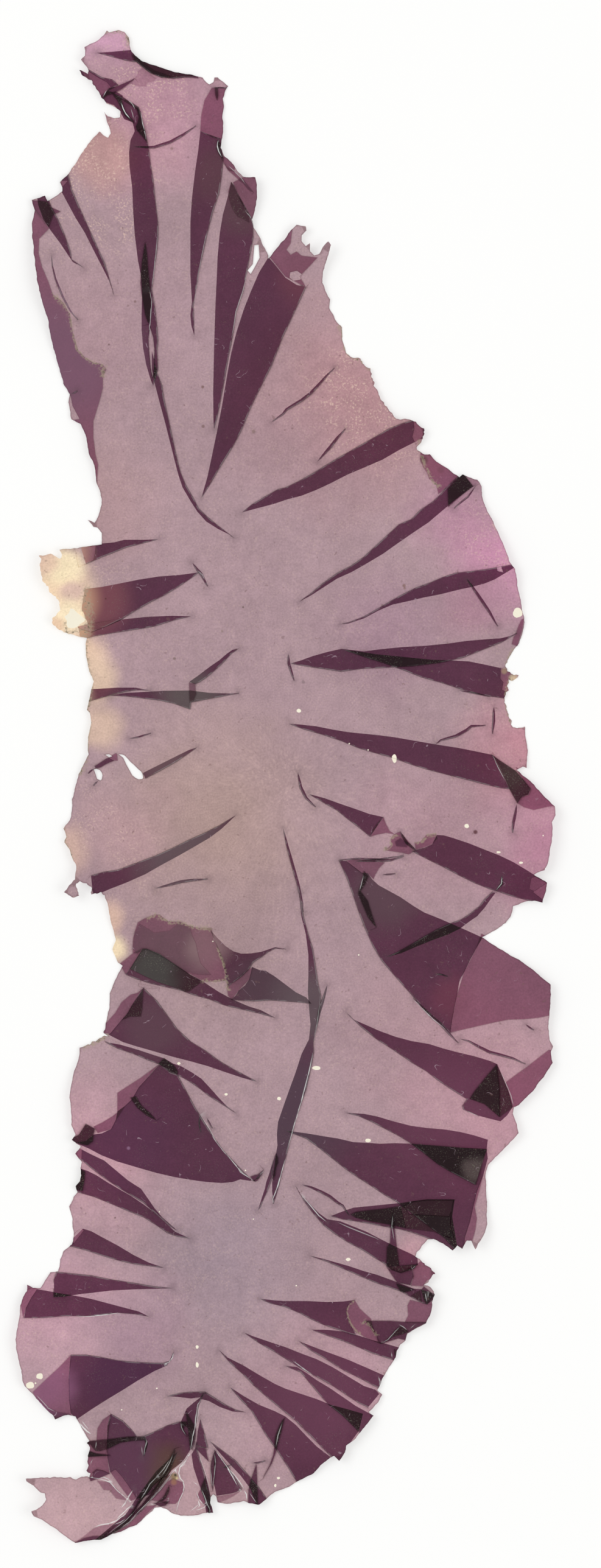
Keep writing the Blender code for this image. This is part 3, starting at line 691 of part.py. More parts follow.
    "base strap, ridge": (2, [(-21.0, -126.5), (-23.0, -129.8), (-25.6, -133.0), (-27.8, -136.0),
                              (-29.6, -138.6), (-33.4, -142.0), (-30.8, -140.4), (-28.4, -138.0),
                              (-26.0, -134.8), (-23.6, -131.6), (-21.6, -129.0)]),
    "base strap, second ridge": (1, [(-22.2, -136.2), (-24.4, -136.8), (-26.2, -138.4), (-28.4, -140.6),
                                     (-33.6, -143.0), (-29.8, -139.8), (-27.6, -137.0),
                                     (-24.6, -135.4)]),
    "base star, dark": (2, [(-18.9, -119.3), (-17.5, -122.5), (-17.4, -125.0), (-17.9, -126.5),
                            (-18.3, -124.5), (-19.9, -122.0)]),
    "base, cross band": (2, [(-17.0, -125.8), (-14.9, -126.3), (-13.4, -126.6), (-13.8, -128.6),
                             (-15.0, -128.0), (-16.3, -127.0)]),
    "base, dark stalk": (2, [(-13.5, -127.0), (-13.2, -130.0), (-13.9, -134.0), (-14.4, -136.5),
                             (-13.4, -139.4), (-15.0, -139.0), (-15.2, -136.0), (-15.4, -133.0),
                             (-14.6, -130.0), (-14.0, -128.0)]),
    "base, dark wedge": (2, [(-5.6, -129.3), (-5.4, -132.0), (-5.2, -134.5), (-4.9, -138.0),
                             (-7.2, -137.6), (-6.8, -134.0), (-6.5, -131.5)]),
}

# Narrow creases, pinched up along a line that dies out at both ends
CREASES = [
    [(-0.4, -8.0), (0.4, -11.3), (1.6, -15.6), (2.5, -18.8), (3.3, -22.4), (3.4, -24.0)],
    [(2.4, 2.6), (3.0, -0.2), (4.0, -2.2), (5.8, -4.0)],
    [(0.6, 25.2), (0.7, 23.4), (1.7, 20.1)],
    [(39.8, 15.2), (39.8, 12.5), (39.5, 10.0)],
    [(28.7, 8.0), (29.6, 8.8), (32.5, 9.6), (34.5, 10.7), (35.5, 11.5), (38.2, 11.6)],
    [(-24.8, -19.5), (-20.0, -18.2), (-18.0, -17.9), (-14.8, -17.7)],
    [(44.1, -3.5), (43.9, -5.0), (43.5, -7.0), (43.3, -8.9)],
    [(13.4, -14.3), (17.0, -14.1), (20.0, -14.1), (22.6, -13.4)],
    [(21.9, -8.7), (23.2, -10.8), (25.0, -12.3)],
    [(33.3, -48.2), (35.0, -48.6), (37.0, -49.7), (39.0, -50.7), (41.0, -51.2), (43.5, -51.9),
     (45.8, -53.0)],
    [(24.5, -40.5), (26.0, -42.0), (28.0, -44.0), (29.6, -45.3), (31.5, -47.4), (33.0, -49.0)],
    [(8.0, -38.0), (7.4, -40.3), (6.5, -43.2), (6.0, -46.0)],
    [(3.2, -76.0), (5.0, -76.5), (7.0, -77.4), (8.5, -78.2), (10.0, -79.4), (11.0, -80.0), (12.2, -81.9)],
    [(41.3, -17.0), (41.3, -18.6), (40.2, -19.9)],
    [(-29.6, 9.0), (-28.0, 9.3), (-26.0, 10.0)],
    [(-26.9, -124.0), (-26.4, -125.4), (-27.0, -127.8)],
]

# Places where the dried sheet lifts off what it lies on: middle, reach and height
LIFTS = [
    (-41.0, 139.0, 20.0, 1.6), (-49.0, 97.0, 20.0, 2.6), (-4.0, 117.0, 16.0, 2.0), (10.0, 104.0, 14.0, 2.4),
    (26.0, 76.0, 18.0, 1.6), (47.0, 46.0, 20.0, 2.2), (53.0, -10.0, 22.0, 2.8), (54.0, -42.0, 20.0, 2.0),
    (50.0, -66.0, 18.0, 2.4), (38.0, -92.0, 17.0, 2.8), (31.0, -104.0, 15.0, 1.8), (18.0, -128.0, 18.0, 2.2),
    (-8.0, -142.0, 15.0, 1.8), (-50.0, -138.0, 20.0, 3.0), (-56.0, -108.0, 22.0, 2.4),
    (-46.0, -62.0, 20.0, 2.0), (-44.0, -20.0, 18.0, 2.6), (-46.0, 12.0, 18.0, 1.6), (-50.0, 38.0, 18.0, 2.8),
    (-42.0, 62.0, 16.0, 1.2),
]


# Drop points that stand closer than the tolerance to the line through their neighbours
def thin(line, tolerance):
    if len(line) < 3:
        return list(line)
    (ax, ay), (bx, by) = line[0], line[-1]
    length = math.hypot(bx - ax, by - ay)
    if length < tolerance:
        off = [math.hypot(x - ax, y - ay) for x, y in line[1:-1]]
    else:
        off = [abs((bx - ax) * (y - ay) - (by - ay) * (x - ax)) / length for x, y in line[1:-1]]
    worst = max(range(len(off)), key=off.__getitem__) + 1
    if off[worst - 1] < tolerance:
        return [line[0], line[-1]]
    return thin(line[:worst + 1], tolerance)[:-1] + thin(line[worst:], tolerance)


# Signed area of a closed outline, positive when it runs anticlockwise
def area(outline):
    total = 0.0
    for (ax, ay), (bx, by) in zip(outline, outline[1:] + outline[:1]):
        total += ax * by - bx * ay
    return total / 2


# Move an open line sideways; the shift grows from nothing at its first point
def beside(line, side, run):
    moved = []
    for i, (x, y) in enumerate(line):
        (ax, ay), (bx, by) = line[max(i - 1, 0)], line[min(i + 1, len(line) - 1)]
        length = math.hypot(bx - ax, by - ay)
        shift = side * run * min(1.0, i)
        moved.append((x + shift * (by - ay) / length, y - shift * (bx - ax) / length))
    return moved


def smooth(t):
    t = np.clip(t, 0.0, 1.0)
    return t * t * (3 - 2 * t)


# Distance of each point from a broken line
def distance(points, line):
    best = np.full(len(points), 1e9)
    for a, b in zip(line, line[1:]):
        a, b = np.array(a), np.array(b)
        along = np.clip(((points - a) @ (b - a)) / max((b - a) @ (b - a), 1e-12), 0, 1)
        best = np.minimum(best, np.linalg.norm(points - a - along[:, None] * (b - a), axis=1))
    return best


# Which points lie inside a closed outline, by counting crossings of a line to the right
def inside(points, outline):
    x, y = points[:, 0], points[:, 1]
    odd = np.zeros(len(points), bool)
    for (ax, ay), (bx, by) in zip(outline, outline[1:] + outline[:1]):
        if ay != by:
            odd ^= ((ay > y) != (by > y)) & (x < (bx - ax) * (y - ay) / (by - ay) + ax)
    return odd


# A narrow leaf shape along a crease line
def crease_sides(line):
    last = len(line) - 1
    half = [CREASE_WIDTH / 2 * math.sin(math.pi * i / last) for i in range(last + 1)]
    sides = []
    for sign in (1, -1):
        side = [line[0]]
        for i in range(1, last):
            (ax, ay), (bx, by) = line[i - 1], line[i + 1]
            length = math.hypot(bx - ax, by - ay)
            shift = sign * half[i]
            side.append((line[i][0] + shift * (by - ay) / length, line[i][1] - shift * (bx - ax) / length))
        sides.append(side)
    return sides


# Every fold as one record: its crisp side, its soft side, the extra plies and its sharp ends
def all_folds():
    folds = []
    for pleat in PLEATS.values():
        crisp, soft = thin(pleat["crisp"], POINT_TOLERANCE), thin(pleat["soft"], POINT_TOLERANCE)
        ends = [crisp[0]] + ([crisp[-1]] if pleat.get("sharp_end") else [])
        folds.append({"crisp": crisp, "soft": soft, "plies": 2, "ends": ends})
    for plies, outline in LAYERS.values():
        outline = thin(outline + outline[:1], POINT_TOLERANCE)
        folds.append({"crisp": outline[:-1], "soft": [], "plies": plies, "ends": []})
    for line in CREASES:
        line = thin(line, POINT_TOLERANCE)
        if len(line) == 2:
            line.insert(1, tuple((a + b) / 2 for a, b in zip(*line)))
        crisp, soft = crease_sides(line)
        folds.append({"crisp": crisp + [line[-1]], "soft": soft, "plies": 1, "ends": [line[0], line[-1]]})
    for fold in folds:
        fold["outline"] = fold["crisp"] + fold["soft"][::-1]
    return folds


# Height of the sheet's underside: flat on its bed, lifted here and there along the margin
def underside(points):
    rise = np.zeros(len(points))
    for x, y, reach, height in LIFTS:
        rise += height * smooth(1 - np.hypot(points[:, 0] - x, points[:, 1] - y) / reach)
    return rise


# Extra height that the folds and the holdfast add on the upper side
def relief(points, folds):
    rise = np.zeros(len(points))
    for fold in folds:
        end = fold["soft"][-1:] or fold["crisp"][:1]
        step = 1 - distance(points, fold["crisp"] + end) / CRISP_RUN
        if fold["soft"]:
            step = np.maximum(step, 1 - distance(points, fold["soft"]) / SOFT_RUN)
        step = np.where(inside(points, fold["outline"]), 1.0, np.clip(step, 0, 1))
        for x, y in fold["ends"]:
            step = step * smooth(np.hypot(points[:, 0] - x, points[:, 1] - y) / APEX_RUN + 0.15)
        rise += fold["plies"] * PLY_STEP * step
    x, y = HOLDFAST["at"]
    away = np.hypot(points[:, 0] - x, points[:, 1] - y) / HOLDFAST["radius"]
    return rise + HOLDFAST["height"] * smooth(1 - away)


# Plan of the sheet: one triangle net whose edges follow the margin, the holes and every fold
def plan(folds, holes):
    points, edges = [], []

    def add(line, closed=False):
        start = len(points)
        points.extend(Vector(p) for p in line)
        count = len(line)
        for i in range(count if closed else count - 1):
            edges.append((start + i, start + (i + 1) % count))

    margin = thin(OUTLINE + OUTLINE[:1], MARGIN_TOLERANCE)[:-1]
    add(margin, True)
    for hole in holes:
        add(hole, True)
    for fold in folds:
        side = 1 if area(fold["outline"]) > 0 else -1
        add(fold["outline"], True)
        if fold["soft"]:
            if fold["plies"] > 1:
                add(beside(fold["crisp"], side, CRISP_RUN))
                add(beside(fold["crisp"][:1] + fold["soft"], -side, SOFT_RUN))
        else:
            loop = fold["outline"]
            around = beside(loop[-1:] + loop + loop[:1], side, CRISP_RUN)[1:-1]
            add(around, True)
    x, y = HOLDFAST["at"]
    for count, share in ((8, 1.0), (6, 0.5)):
        for k in range(count):
            turn = 2 * math.pi * k / count
            reach = HOLDFAST["radius"] * share
            points.append(Vector((x + reach * math.cos(turn), y + reach * math.sin(turn))))
    points.append(Vector(HOLDFAST["at"]))
    drawn = np.array(points)
    low, high = drawn.min(axis=0), drawn.max(axis=0)
    row = 0
    fill = []
    while low[1] + row * FILL_SPACING * 0.866 < high[1]:
        start = low[0] + (row % 2) * FILL_SPACING / 2
        for k in range(int((high[0] - low[0]) / FILL_SPACING) + 1):
            fill.append((start + k * FILL_SPACING, low[1] + row * FILL_SPACING * 0.866))
        row += 1
    fill = np.array(fill)
    clear = inside(fill, margin)
    for a, b in edges:
        clear &= distance(fill, [drawn[a], drawn[b]]) > FILL_CLEARANCE
    points.extend(Vector(p) for p in fill[clear])
    found, _, faces, _, _, _ = delaunay_2d_cdt(points, edges, [], 0, MERGE_DISTANCE)
    found = np.array([tuple(p) for p in found])
    middles = np.array([found[list(face)].mean(axis=0) for face in faces])
    kept = inside(middles, margin)
    for hole in holes:
        kept &= ~inside(middles, hole)
    return found, [face for face, keep in zip(faces, kept) if keep]


# The blade as one closed solid: the net extruded upwards, then both sides set to their heights
def make_blade():
    folds = all_folds()
    holes = [list(slit) for slit in SLITS]
    for x, y, half_x, half_y in PIN_HOLES:
        turns = [2 * math.pi * k / PIN_SIDES for k in range(PIN_SIDES)]
        holes.append([(x + half_x * math.cos(t), y + half_y * math.sin(t)) for t in turns])
    points, faces = plan(folds, holes)
    net = bmesh.new()
    corners = [net.verts.new((x, y, 0)) for x, y in points]
    for face in faces:
        net.faces.new([corners[i] for i in face])
    bmesh.ops.delete(net, geom=[v for v in net.verts if not v.link_faces], context="VERTS")
    bmesh.ops.remove_doubles(net, verts=net.verts[:], dist=WELD)
    points = np.array([v.co.xy for v in net.verts])
    lower = underside(points)
    thickness = SHEET + relief(points, folds)
    for corner, z, rise in zip(net.verts, lower, thickness):
        corner.co.z = z
    rises = {(corner.co.x, corner.co.y): rise for corner, rise in zip(net.verts, thickness)}
    raised = bmesh.ops.extrude_face_region(net, geom=net.faces[:])
    for item in raised["geom"]:
        if isinstance(item, bmesh.types.BMVert):
            item.co.z += rises[(item.co.x, item.co.y)]
    outline = np.array(OUTLINE)
    middle = (outline.min(axis=0) + outline.max(axis=0)) / 2
    bmesh.ops.translate(net, verts=net.verts[:], vec=(-middle[0], -middle[1], 0))
    wide = BLADE_LENGTH / np.ptp(outline[:, 1])
    bmesh.ops.scale(net, verts=net.verts[:], vec=(MM * wide, MM * wide, MM))
    bmesh.ops.recalc_face_normals(net, faces=net.faces[:])
    mesh = bpy.data.meshes.new("blade")
    net.to_mesh(mesh)
    net.free()
    return bpy.data.objects.new("blade", mesh)


# Dried membrane: dull, mauve to wine red
def make_material():
    material = bpy.data.materials.new("dried_membrane")
    material.use_nodes = True
    shader = material.node_tree.nodes["Principled BSDF"]
    shader.inputs["Base Color"].default_value = (0.33, 0.19, 0.24, 1.0)
    shader.inputs["Roughness"].default_value = 0.6
    shader.inputs["Metallic"].default_value = 0.0
    return material


def main():
    for item in list(bpy.data.objects):
        bpy.data.objects.remove(item, do_unlink=True)
    group = bpy.data.collections.new(NAME)
    bpy.context.scene.collection.children.link(group)
    blade = make_blade()
    blade.data.materials.append(make_material())
    group.objects.link(blade)


main()
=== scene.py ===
# A pressed and dried blade of the red seaweed Pyropia abbottiae, lying flat
# Plan points are read-off millimetres: +Y runs up the blade to its tip, +X to its right side
import math

import bmesh
import bpy
import numpy as np
from mathutils import Matrix, Vector, noise
from mathutils.geometry import delaunay_2d_cdt


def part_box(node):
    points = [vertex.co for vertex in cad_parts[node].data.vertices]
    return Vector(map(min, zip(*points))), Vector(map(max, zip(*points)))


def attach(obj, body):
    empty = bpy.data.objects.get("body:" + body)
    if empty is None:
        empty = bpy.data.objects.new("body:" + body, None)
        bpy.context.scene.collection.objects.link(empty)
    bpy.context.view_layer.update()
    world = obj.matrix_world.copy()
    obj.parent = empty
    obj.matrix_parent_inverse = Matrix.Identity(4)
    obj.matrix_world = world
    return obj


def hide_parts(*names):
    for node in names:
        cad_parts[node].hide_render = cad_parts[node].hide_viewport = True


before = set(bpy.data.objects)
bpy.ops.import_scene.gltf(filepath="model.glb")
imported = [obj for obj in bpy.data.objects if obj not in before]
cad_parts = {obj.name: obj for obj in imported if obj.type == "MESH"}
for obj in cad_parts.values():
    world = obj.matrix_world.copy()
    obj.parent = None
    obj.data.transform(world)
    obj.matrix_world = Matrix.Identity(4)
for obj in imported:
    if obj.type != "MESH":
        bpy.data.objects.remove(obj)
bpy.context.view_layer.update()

bladeLow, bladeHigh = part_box("blade")
mm = 0.001

# The margin, clockwise from the tip
margin = [
    # Tip and upper right edge down to the first notch
    (-34, 144.1), (-33.6, 143.8), (-31.9, 144.2), (-30.7, 143.9), (-29.8, 142.8), (-29.7, 141.1),
    (-29.3, 140), (-28.5, 139.3), (-27.1, 138.2), (-24.9, 137.4), (-22.4, 136.6), (-20, 136),
    (-17.4, 135.6), (-15.8, 135.2), (-15.1, 134.3), (-14.5, 133.9), (-13.7, 134.3), (-13.5, 135.2),
    (-12.9, 135.2), (-12.1, 134.5), (-10.9, 133.6), (-11.5, 132.6), (-11.9, 131.2), (-11.7, 129.6),
    (-12, 127.6), (-11.8, 124.9), (-12.1, 123.3), (-12.3, 121.7), (-11.7, 120.3), (-9.9, 118.5),
    (-9.1, 117.1), (-8.1, 116.2), (-6.9, 116), (-5.7, 116), (-5.4, 114.6), (-5.4, 112.2), (-5.8, 109.8),
    (-6.35, 108), (-6, 106.5), (-5, 104.9), (-4.2, 103.1), (-3.2, 101.3), (-3.3, 100.5), (-1.4, 102.9),
    (-0.4, 104.1), (1, 105.9), (2.15, 107), (3.9, 106.7), (4.1, 105.9), (3.1, 105), (3.1, 103.9),
    (3.9, 102.9), (4.7, 103.5), (4.7, 101.9), (5.5, 101.05), (6.5, 101.5), (7.5, 103.1), (8.2, 103.7),
    (8.7, 103.1), (8.3, 101.5),
    # Upper right edge
    (7.7, 99.7), (7.2, 98), (7.1, 96), (7.7, 94.4), (8.5, 92.8), (8.4, 91.2), (9.1, 89.9), (9.5, 89),
    (10.7, 87.5), (10.9, 85.1), (11.6, 82.7), (12.6, 81.7), (14.6, 81.7), (14.8, 80.7), (16, 79.5),
    (16.6, 78.3), (17, 76.4), (17.8, 75), (18.4, 73.6), (19.35, 72), (20.5, 70.8), (21.9, 70), (23.9, 70),
    (24.9, 69.45), (26.3, 68.1), (26.15, 66.3), (25.1, 64.9), (25.3, 64.1), (26.3, 63.5), (27.5, 63.3),
    (28.8, 61.9), (30.2, 61.1), (31.6, 60), (33.2, 58.9), (33.8, 59.5), (34.8, 59.05), (36.6, 58.4),
    (37.5, 57.2), (37.5, 55.4), (38.1, 53.4), (39.5, 50.7), (40.7, 47.9), (42, 45.1), (42.7, 42.8),
    (43.7, 41.4), (44.1, 39.6), (44.5, 36.8), (45.05, 34.5),
    # Right edge with the ragged bay
    (45.45, 32.5), (45.6, 31.3), (45.25, 29.2), (44.4, 26.7), (43.6, 26.1), (43.2, 25.6), (42.8, 24.9),
    (42.6, 24.2), (42.1, 23.4), (42.1, 22.6), (42.4, 21.9), (43, 21.2), (43.7, 21), (44.4, 21.1),
    (43.7, 20.5), (42.6, 20.4), (42.2, 19.8), (42.2, 18.9), (42.6, 18.3), (42.2, 17.8), (41.9, 17.2),
    (42, 16), (42.1, 14.8), (42.3, 14), (42.8, 13.1), (43.1, 12.4), (43, 11.7), (43.4, 11.2), (44.2, 11),
    (45.7, 11.4), (45.85, 9.3), (46.2, 6.9), (46, 3.5), (45.25, 3.7), (44.1, 3.1), (45.85, 1.6),
    (47.4, 0.2), (49.4, -2), (51.3, -3.85), (51.5, -5.55), (50.8, -6.9), (50.9, -9.5), (50.4, -12.1),
    (50, -14.8), (49.4, -16), (48, -16.4), (47.4, -16.9), (49, -17.8), (49.9, -18.4), (49.6, -20),
    (49, -22.2), (47.4, -21.8), (45.65, -22), (43.5, -22.95), (43.3, -24.1), (42.1, -26.1), (40.3, -27.3),
    # Lower right edge
    (37.5, -28.8), (38.7, -29.7), (40.5, -30.85), (42.7, -32.1), (45.05, -33.5), (47, -34.9), (49, -36.5),
    (50.5, -37.85), (50.6, -40), (50.3, -43.2), (50.2, -46), (50.4, -48.3), (51, -49.6), (50.6, -50.5),
    (50.9, -52.7), (49.4, -55.05), (47.8, -57.4), (45.85, -59.4), (44.5, -60.8), (43.5, -61.2),
    (43.4, -62.4), (44.1, -64.5), (44.5, -66.1), (42.7, -68.1), (40.7, -70.1), (38.7, -72.25), (38.1, -74),
    (38.25, -76.4), (38.5, -79.6), (38.3, -81.9), (38.5, -83.5), (38.1, -85.1), (37.5, -86), (36.2, -88.15),
    (35.4, -86.6), (34.6, -86.6), (33.7, -88.1), (32.8, -87.4), (31.9, -88.4), (30, -87.2), (28.25, -86.3),
    (27.1, -86.45), (25.9, -87.8), (25.1, -89.7), (26.1, -91.1), (27.5, -91.7), (28.6, -93), (27.3, -94.1),
    (26.3, -95.1), (27.7, -95.5), (28.4, -96.9), (28, -97.8), (28, -99.4), (27.5, -101), (26.7, -102.4),
    (24.9, -103.4), (23.3, -104.4), (22.9, -105.7), (21.9, -106.5), (21.3, -107.7), (21.1, -108.9),
    (19.75, -110.9), (18.6, -112.9), (18, -114.4), (17.45, -115.2), (18.5, -116.1), (17.8, -117.2),
    (16.6, -118.8), (16, -119.3), (16.9, -120), (15.4, -121.8), (13.4, -124.3), (11.6, -125.7),
    (11.25, -126.9), (10.3, -128.6), (9.3, -127.7), (8.5, -128), (6.7, -129.5), (5.5, -131.05), (3.5, -132),
    (2.35, -132.6), (0.4, -133.8), (-1.8, -134.5), (-3.8, -136),
    # Base, under the holdfast
    (-5, -137), (-6.95, -136.7), (-7.9, -136.3), (-11.1, -136.9), (-12.9, -136.5), (-13.15, -135.4),
    (-13.75, -135), (-14.3, -135.6), (-14.3, -136.8), (-13.7, -138.5), (-14.85, -138.5), (-16.8, -139),
    (-20, -139.2), (-21.4, -138.8), (-22.6, -138), (-23.75, -137.5), (-24.9, -137.8), (-26.7, -139.4),
    (-28.3, -140.9), (-30.7, -141.9), (-33, -142.7), (-35.2, -143.7), (-36.6, -143.6), (-38.2, -143.9),
    (-40, -144.3), (-41.3, -143.5), (-43.7, -141.5), (-46.3, -139.75), (-47.9, -139), (-48.3, -138.1),
    (-47.5, -137.8), (-46.1, -137), (-45.5, -135.8), (-45.9, -134.8), (-47.1, -134.2), (-47.9, -133.2),
    (-49.3, -132.4), (-49.45, -131.9), (-47.7, -131.8), (-44.9, -131.7), (-42.5, -131.6), (-40.2, -132),
    (-37.4, -131.8), (-37.2, -131.05), (-37.9, -130.5), (-37.6, -129.5), (-37.6, -127.7), (-37.2, -126.1),
    (-37.9, -125.3), (-37.4, -124.9), (-38.4, -123.1), (-39.4, -121.4),
    # Lower left edge
    (-40, -120.2), (-41.3, -119.8), (-42.5, -120.1), (-43.9, -120.8), (-44.3, -120), (-45.9, -118.4),
    (-48.1, -115.95), (-48.9, -115.2), (-49.65, -114.4), (-50.1, -113.3), (-50.2, -111.3), (-50.8, -109.3),
    (-51.2, -107.3), (-51.4, -105.4), (-51, -103), (-50.6, -101), (-50.5, -99), (-50, -97.4),
    (-49.3, -96.3), (-49.2, -95.1), (-48.1, -95.7), (-46.7, -95.7), (-45.5, -93.9), (-44.8, -92.8),
    (-43.3, -92.6), (-42.9, -90.3), (-42.3, -88.7), (-40.75, -87.5), (-40.4, -86.8), (-40.4, -85.1),
    (-40.6, -82.7), (-41.15, -80.2), (-40.4, -78.4), (-39.6, -77.4), (-40, -76.3), (-39.2, -75.2),
    (-38.8, -74.2), (-39.05, -72.8), (-38.8, -71.7), (-40, -70.1), (-39.05, -68.7), (-40.6, -67.4),
    (-40, -66.5), (-40.75, -64.5), (-40.75, -62.2), (-41.1, -59.4), (-40.75, -56.6), (-40.2, -54.3),
    (-39.45, -52.3), (-39.2, -49.9), (-38.8, -49.6), (-37, -49.2), (-35, -48.1), (-33.8, -47.7),
    (-34.6, -47.1), (-34.2, -45.2), (-33.6, -42.4), (-33.4, -39.6), (-32.45, -36.9), (-31.1, -34.3),
    # Left edge
    (-31.9, -33.7), (-32.45, -32.5), (-33, -31.1), (-32.3, -29.5), (-32.65, -27.8), (-33.2, -26.1),
    (-33.8, -23.1), (-34.4, -20.8), (-35, -20.2), (-36.8, -20.5), (-36.8, -19.4), (-37.8, -18.5),
    (-39.2, -18), (-39.8, -18.6), (-39.6, -20), (-38.9, -21.1), (-40.4, -21.2), (-42.1, -20.2),
    (-41.1, -18.8), (-40, -17.8), (-39.8, -15.2), (-40.6, -13.7), (-41.15, -12.1), (-42.1, -10.7),
    (-41.7, -9.7), (-42.3, -8.1), (-41.1, -6.5), (-40.75, -5), (-40.6, -2.6), (-40.2, -0.6), (-39.4, 2.2),
    (-38.2, 4.5), (-37.6, 6.1), (-37.6, 9.3), (-37, 12), (-37.2, 14), (-37.8, 14.6), (-37.2, 17.2),
    (-37, 18.4), (-36.5, 19.95), (-37.4, 21.9), (-38, 25.1), (-38.1, 27.1), (-37.8, 28.3), (-39.4, 28.65),
    (-41.3, 29.05), (-43.3, 30), (-44.5, 31.2), (-44.5, 31.9), (-42.9, 33.3), (-43.1, 34.85), (-44.5, 36.8),
    (-45.9, 38.8), (-46.5, 40.4), (-46.7, 42), (-46.3, 43.35), (-46.9, 43.9), (-44.7, 44.2), (-42.9, 43.4),
    (-42.5, 44.1), (-43, 45.05), (-40.6, 45.3), (-38.2, 45.7), (-35, 46.1), (-35, 48.3), (-35.8, 49.3),
    (-36.6, 49.5), (-37, 50.1), (-37.7, 50.8), (-36.4, 50.3), (-35.6, 51.5), (-35, 53.8),
    # Upper left edge, back to the tip
    (-35.2, 55.8), (-36, 57.8), (-36.2, 60.2), (-36.6, 61.9), (-37.4, 63.3), (-37.7, 65.3), (-38.2, 67.3),
    (-39, 69.05), (-40.75, 70), (-41.35, 73.2), (-41.1, 74.8), (-42.3, 76.8), (-43.3, 80.3), (-44.3, 83.9),
    (-44.8, 85.9), (-45.1, 88.7), (-46.3, 92.4), (-46.9, 94.4), (-47.5, 98.4), (-47.9, 102.3),
    (-48.35, 107.3), (-47.7, 109.8), (-48.35, 111.8), (-46.9, 112.2), (-45.8, 112.6), (-45.3, 111.6),
    (-44.3, 112.2), (-42.5, 113.4), (-42.5, 114.2), (-43.05, 115.25), (-41.7, 116.4), (-40.2, 118.5),
    (-38.2, 121.7), (-36.6, 123.7), (-35.4, 124.9), (-34.6, 124.1), (-33.8, 123.7), (-33.2, 124.5),
    (-33.6, 125.65), (-34.2, 127.6), (-34.8, 129.1), (-33.8, 127.8), (-32.65, 127.4), (-31.5, 127.6),
    (-31.5, 128.6), (-32.45, 129.6), (-34, 130.2), (-34.9, 131.1), (-36, 133), (-37, 134.5), (-38.8, 135.7),
    (-39.25, 136.5), (-38.4, 136.1), (-37.6, 135.7), (-37.5, 136.3), (-38, 137.5), (-38.8, 138.5),
    (-38.2, 139.3), (-38.3, 140.9), (-37, 141.5), (-35.6, 142.25), (-34.6, 143.2),
]
# Torn slits right through the sheet
slits = [
    [(-5.9, 103.2), (-5.1, 103.3), (-4.9, 100.8), (-5.9, 98.9), (-6.6, 97.7), (-7.2, 98.4), (-6.2, 99.6)],
    [
        (-31.8, 6.1), (-31.2, 6.05), (-30.7, 5.9), (-30.2, 5.4), (-29.5, 4.6), (-28.9, 4.1), (-28, 3.2),
        (-27.5, 2.8), (-27.2, 2.2), (-27.1, 1.6), (-27.3, 1.35), (-28, 1.3), (-28.6, 1.6), (-29.2, 2.1),
        (-29.8, 3.2), (-30.3, 4.1), (-30.9, 5.4)],
    [
        (-36.5, 3.2), (-36, 3.3), (-35.4, 3.1), (-35, 2.6), (-34.85, 2.1), (-35, 1.3), (-35.3, 1.1),
        (-35.9, 1.4), (-36.1, 2.1)],
    [(-34.3, 6), (-33.6, 6.1), (-33, 5.7), (-33.6, 5.5)],
]
# Small round holes in the blade, drawn here as pale worn spots: middle, half length, half width
pinHoles = [
    (44.3, 33.1, 0.95, 0.95), (20.8, 5.3, 0.45, 0.8), (5.9, -53.8, 0.8, 0.4), (15.8, -67.6, 0.6, 0.35),
    (-46.8, -112.5, 0.65, 0.6), (-48.6, -114.2, 0.75, 0.7), (-16.8, -110.4, 0.3, 0.5),
    (12, -90.3, 0.45, 0.3),
]
# Worn to a pale film over a wider patch
wornPatches = [
    [
        (-40.9, 33.9), (-40.3, 33.7), (-39.6, 33), (-38.8, 32.4), (-38.1, 31.9), (-38.3, 31.4), (-39, 31),
        (-39.6, 30.4), (-40.4, 30.1), (-41.4, 30.2), (-41.7, 30.8), (-41.6, 31.5), (-42.1, 32.3),
        (-41.3, 32.9)],
]
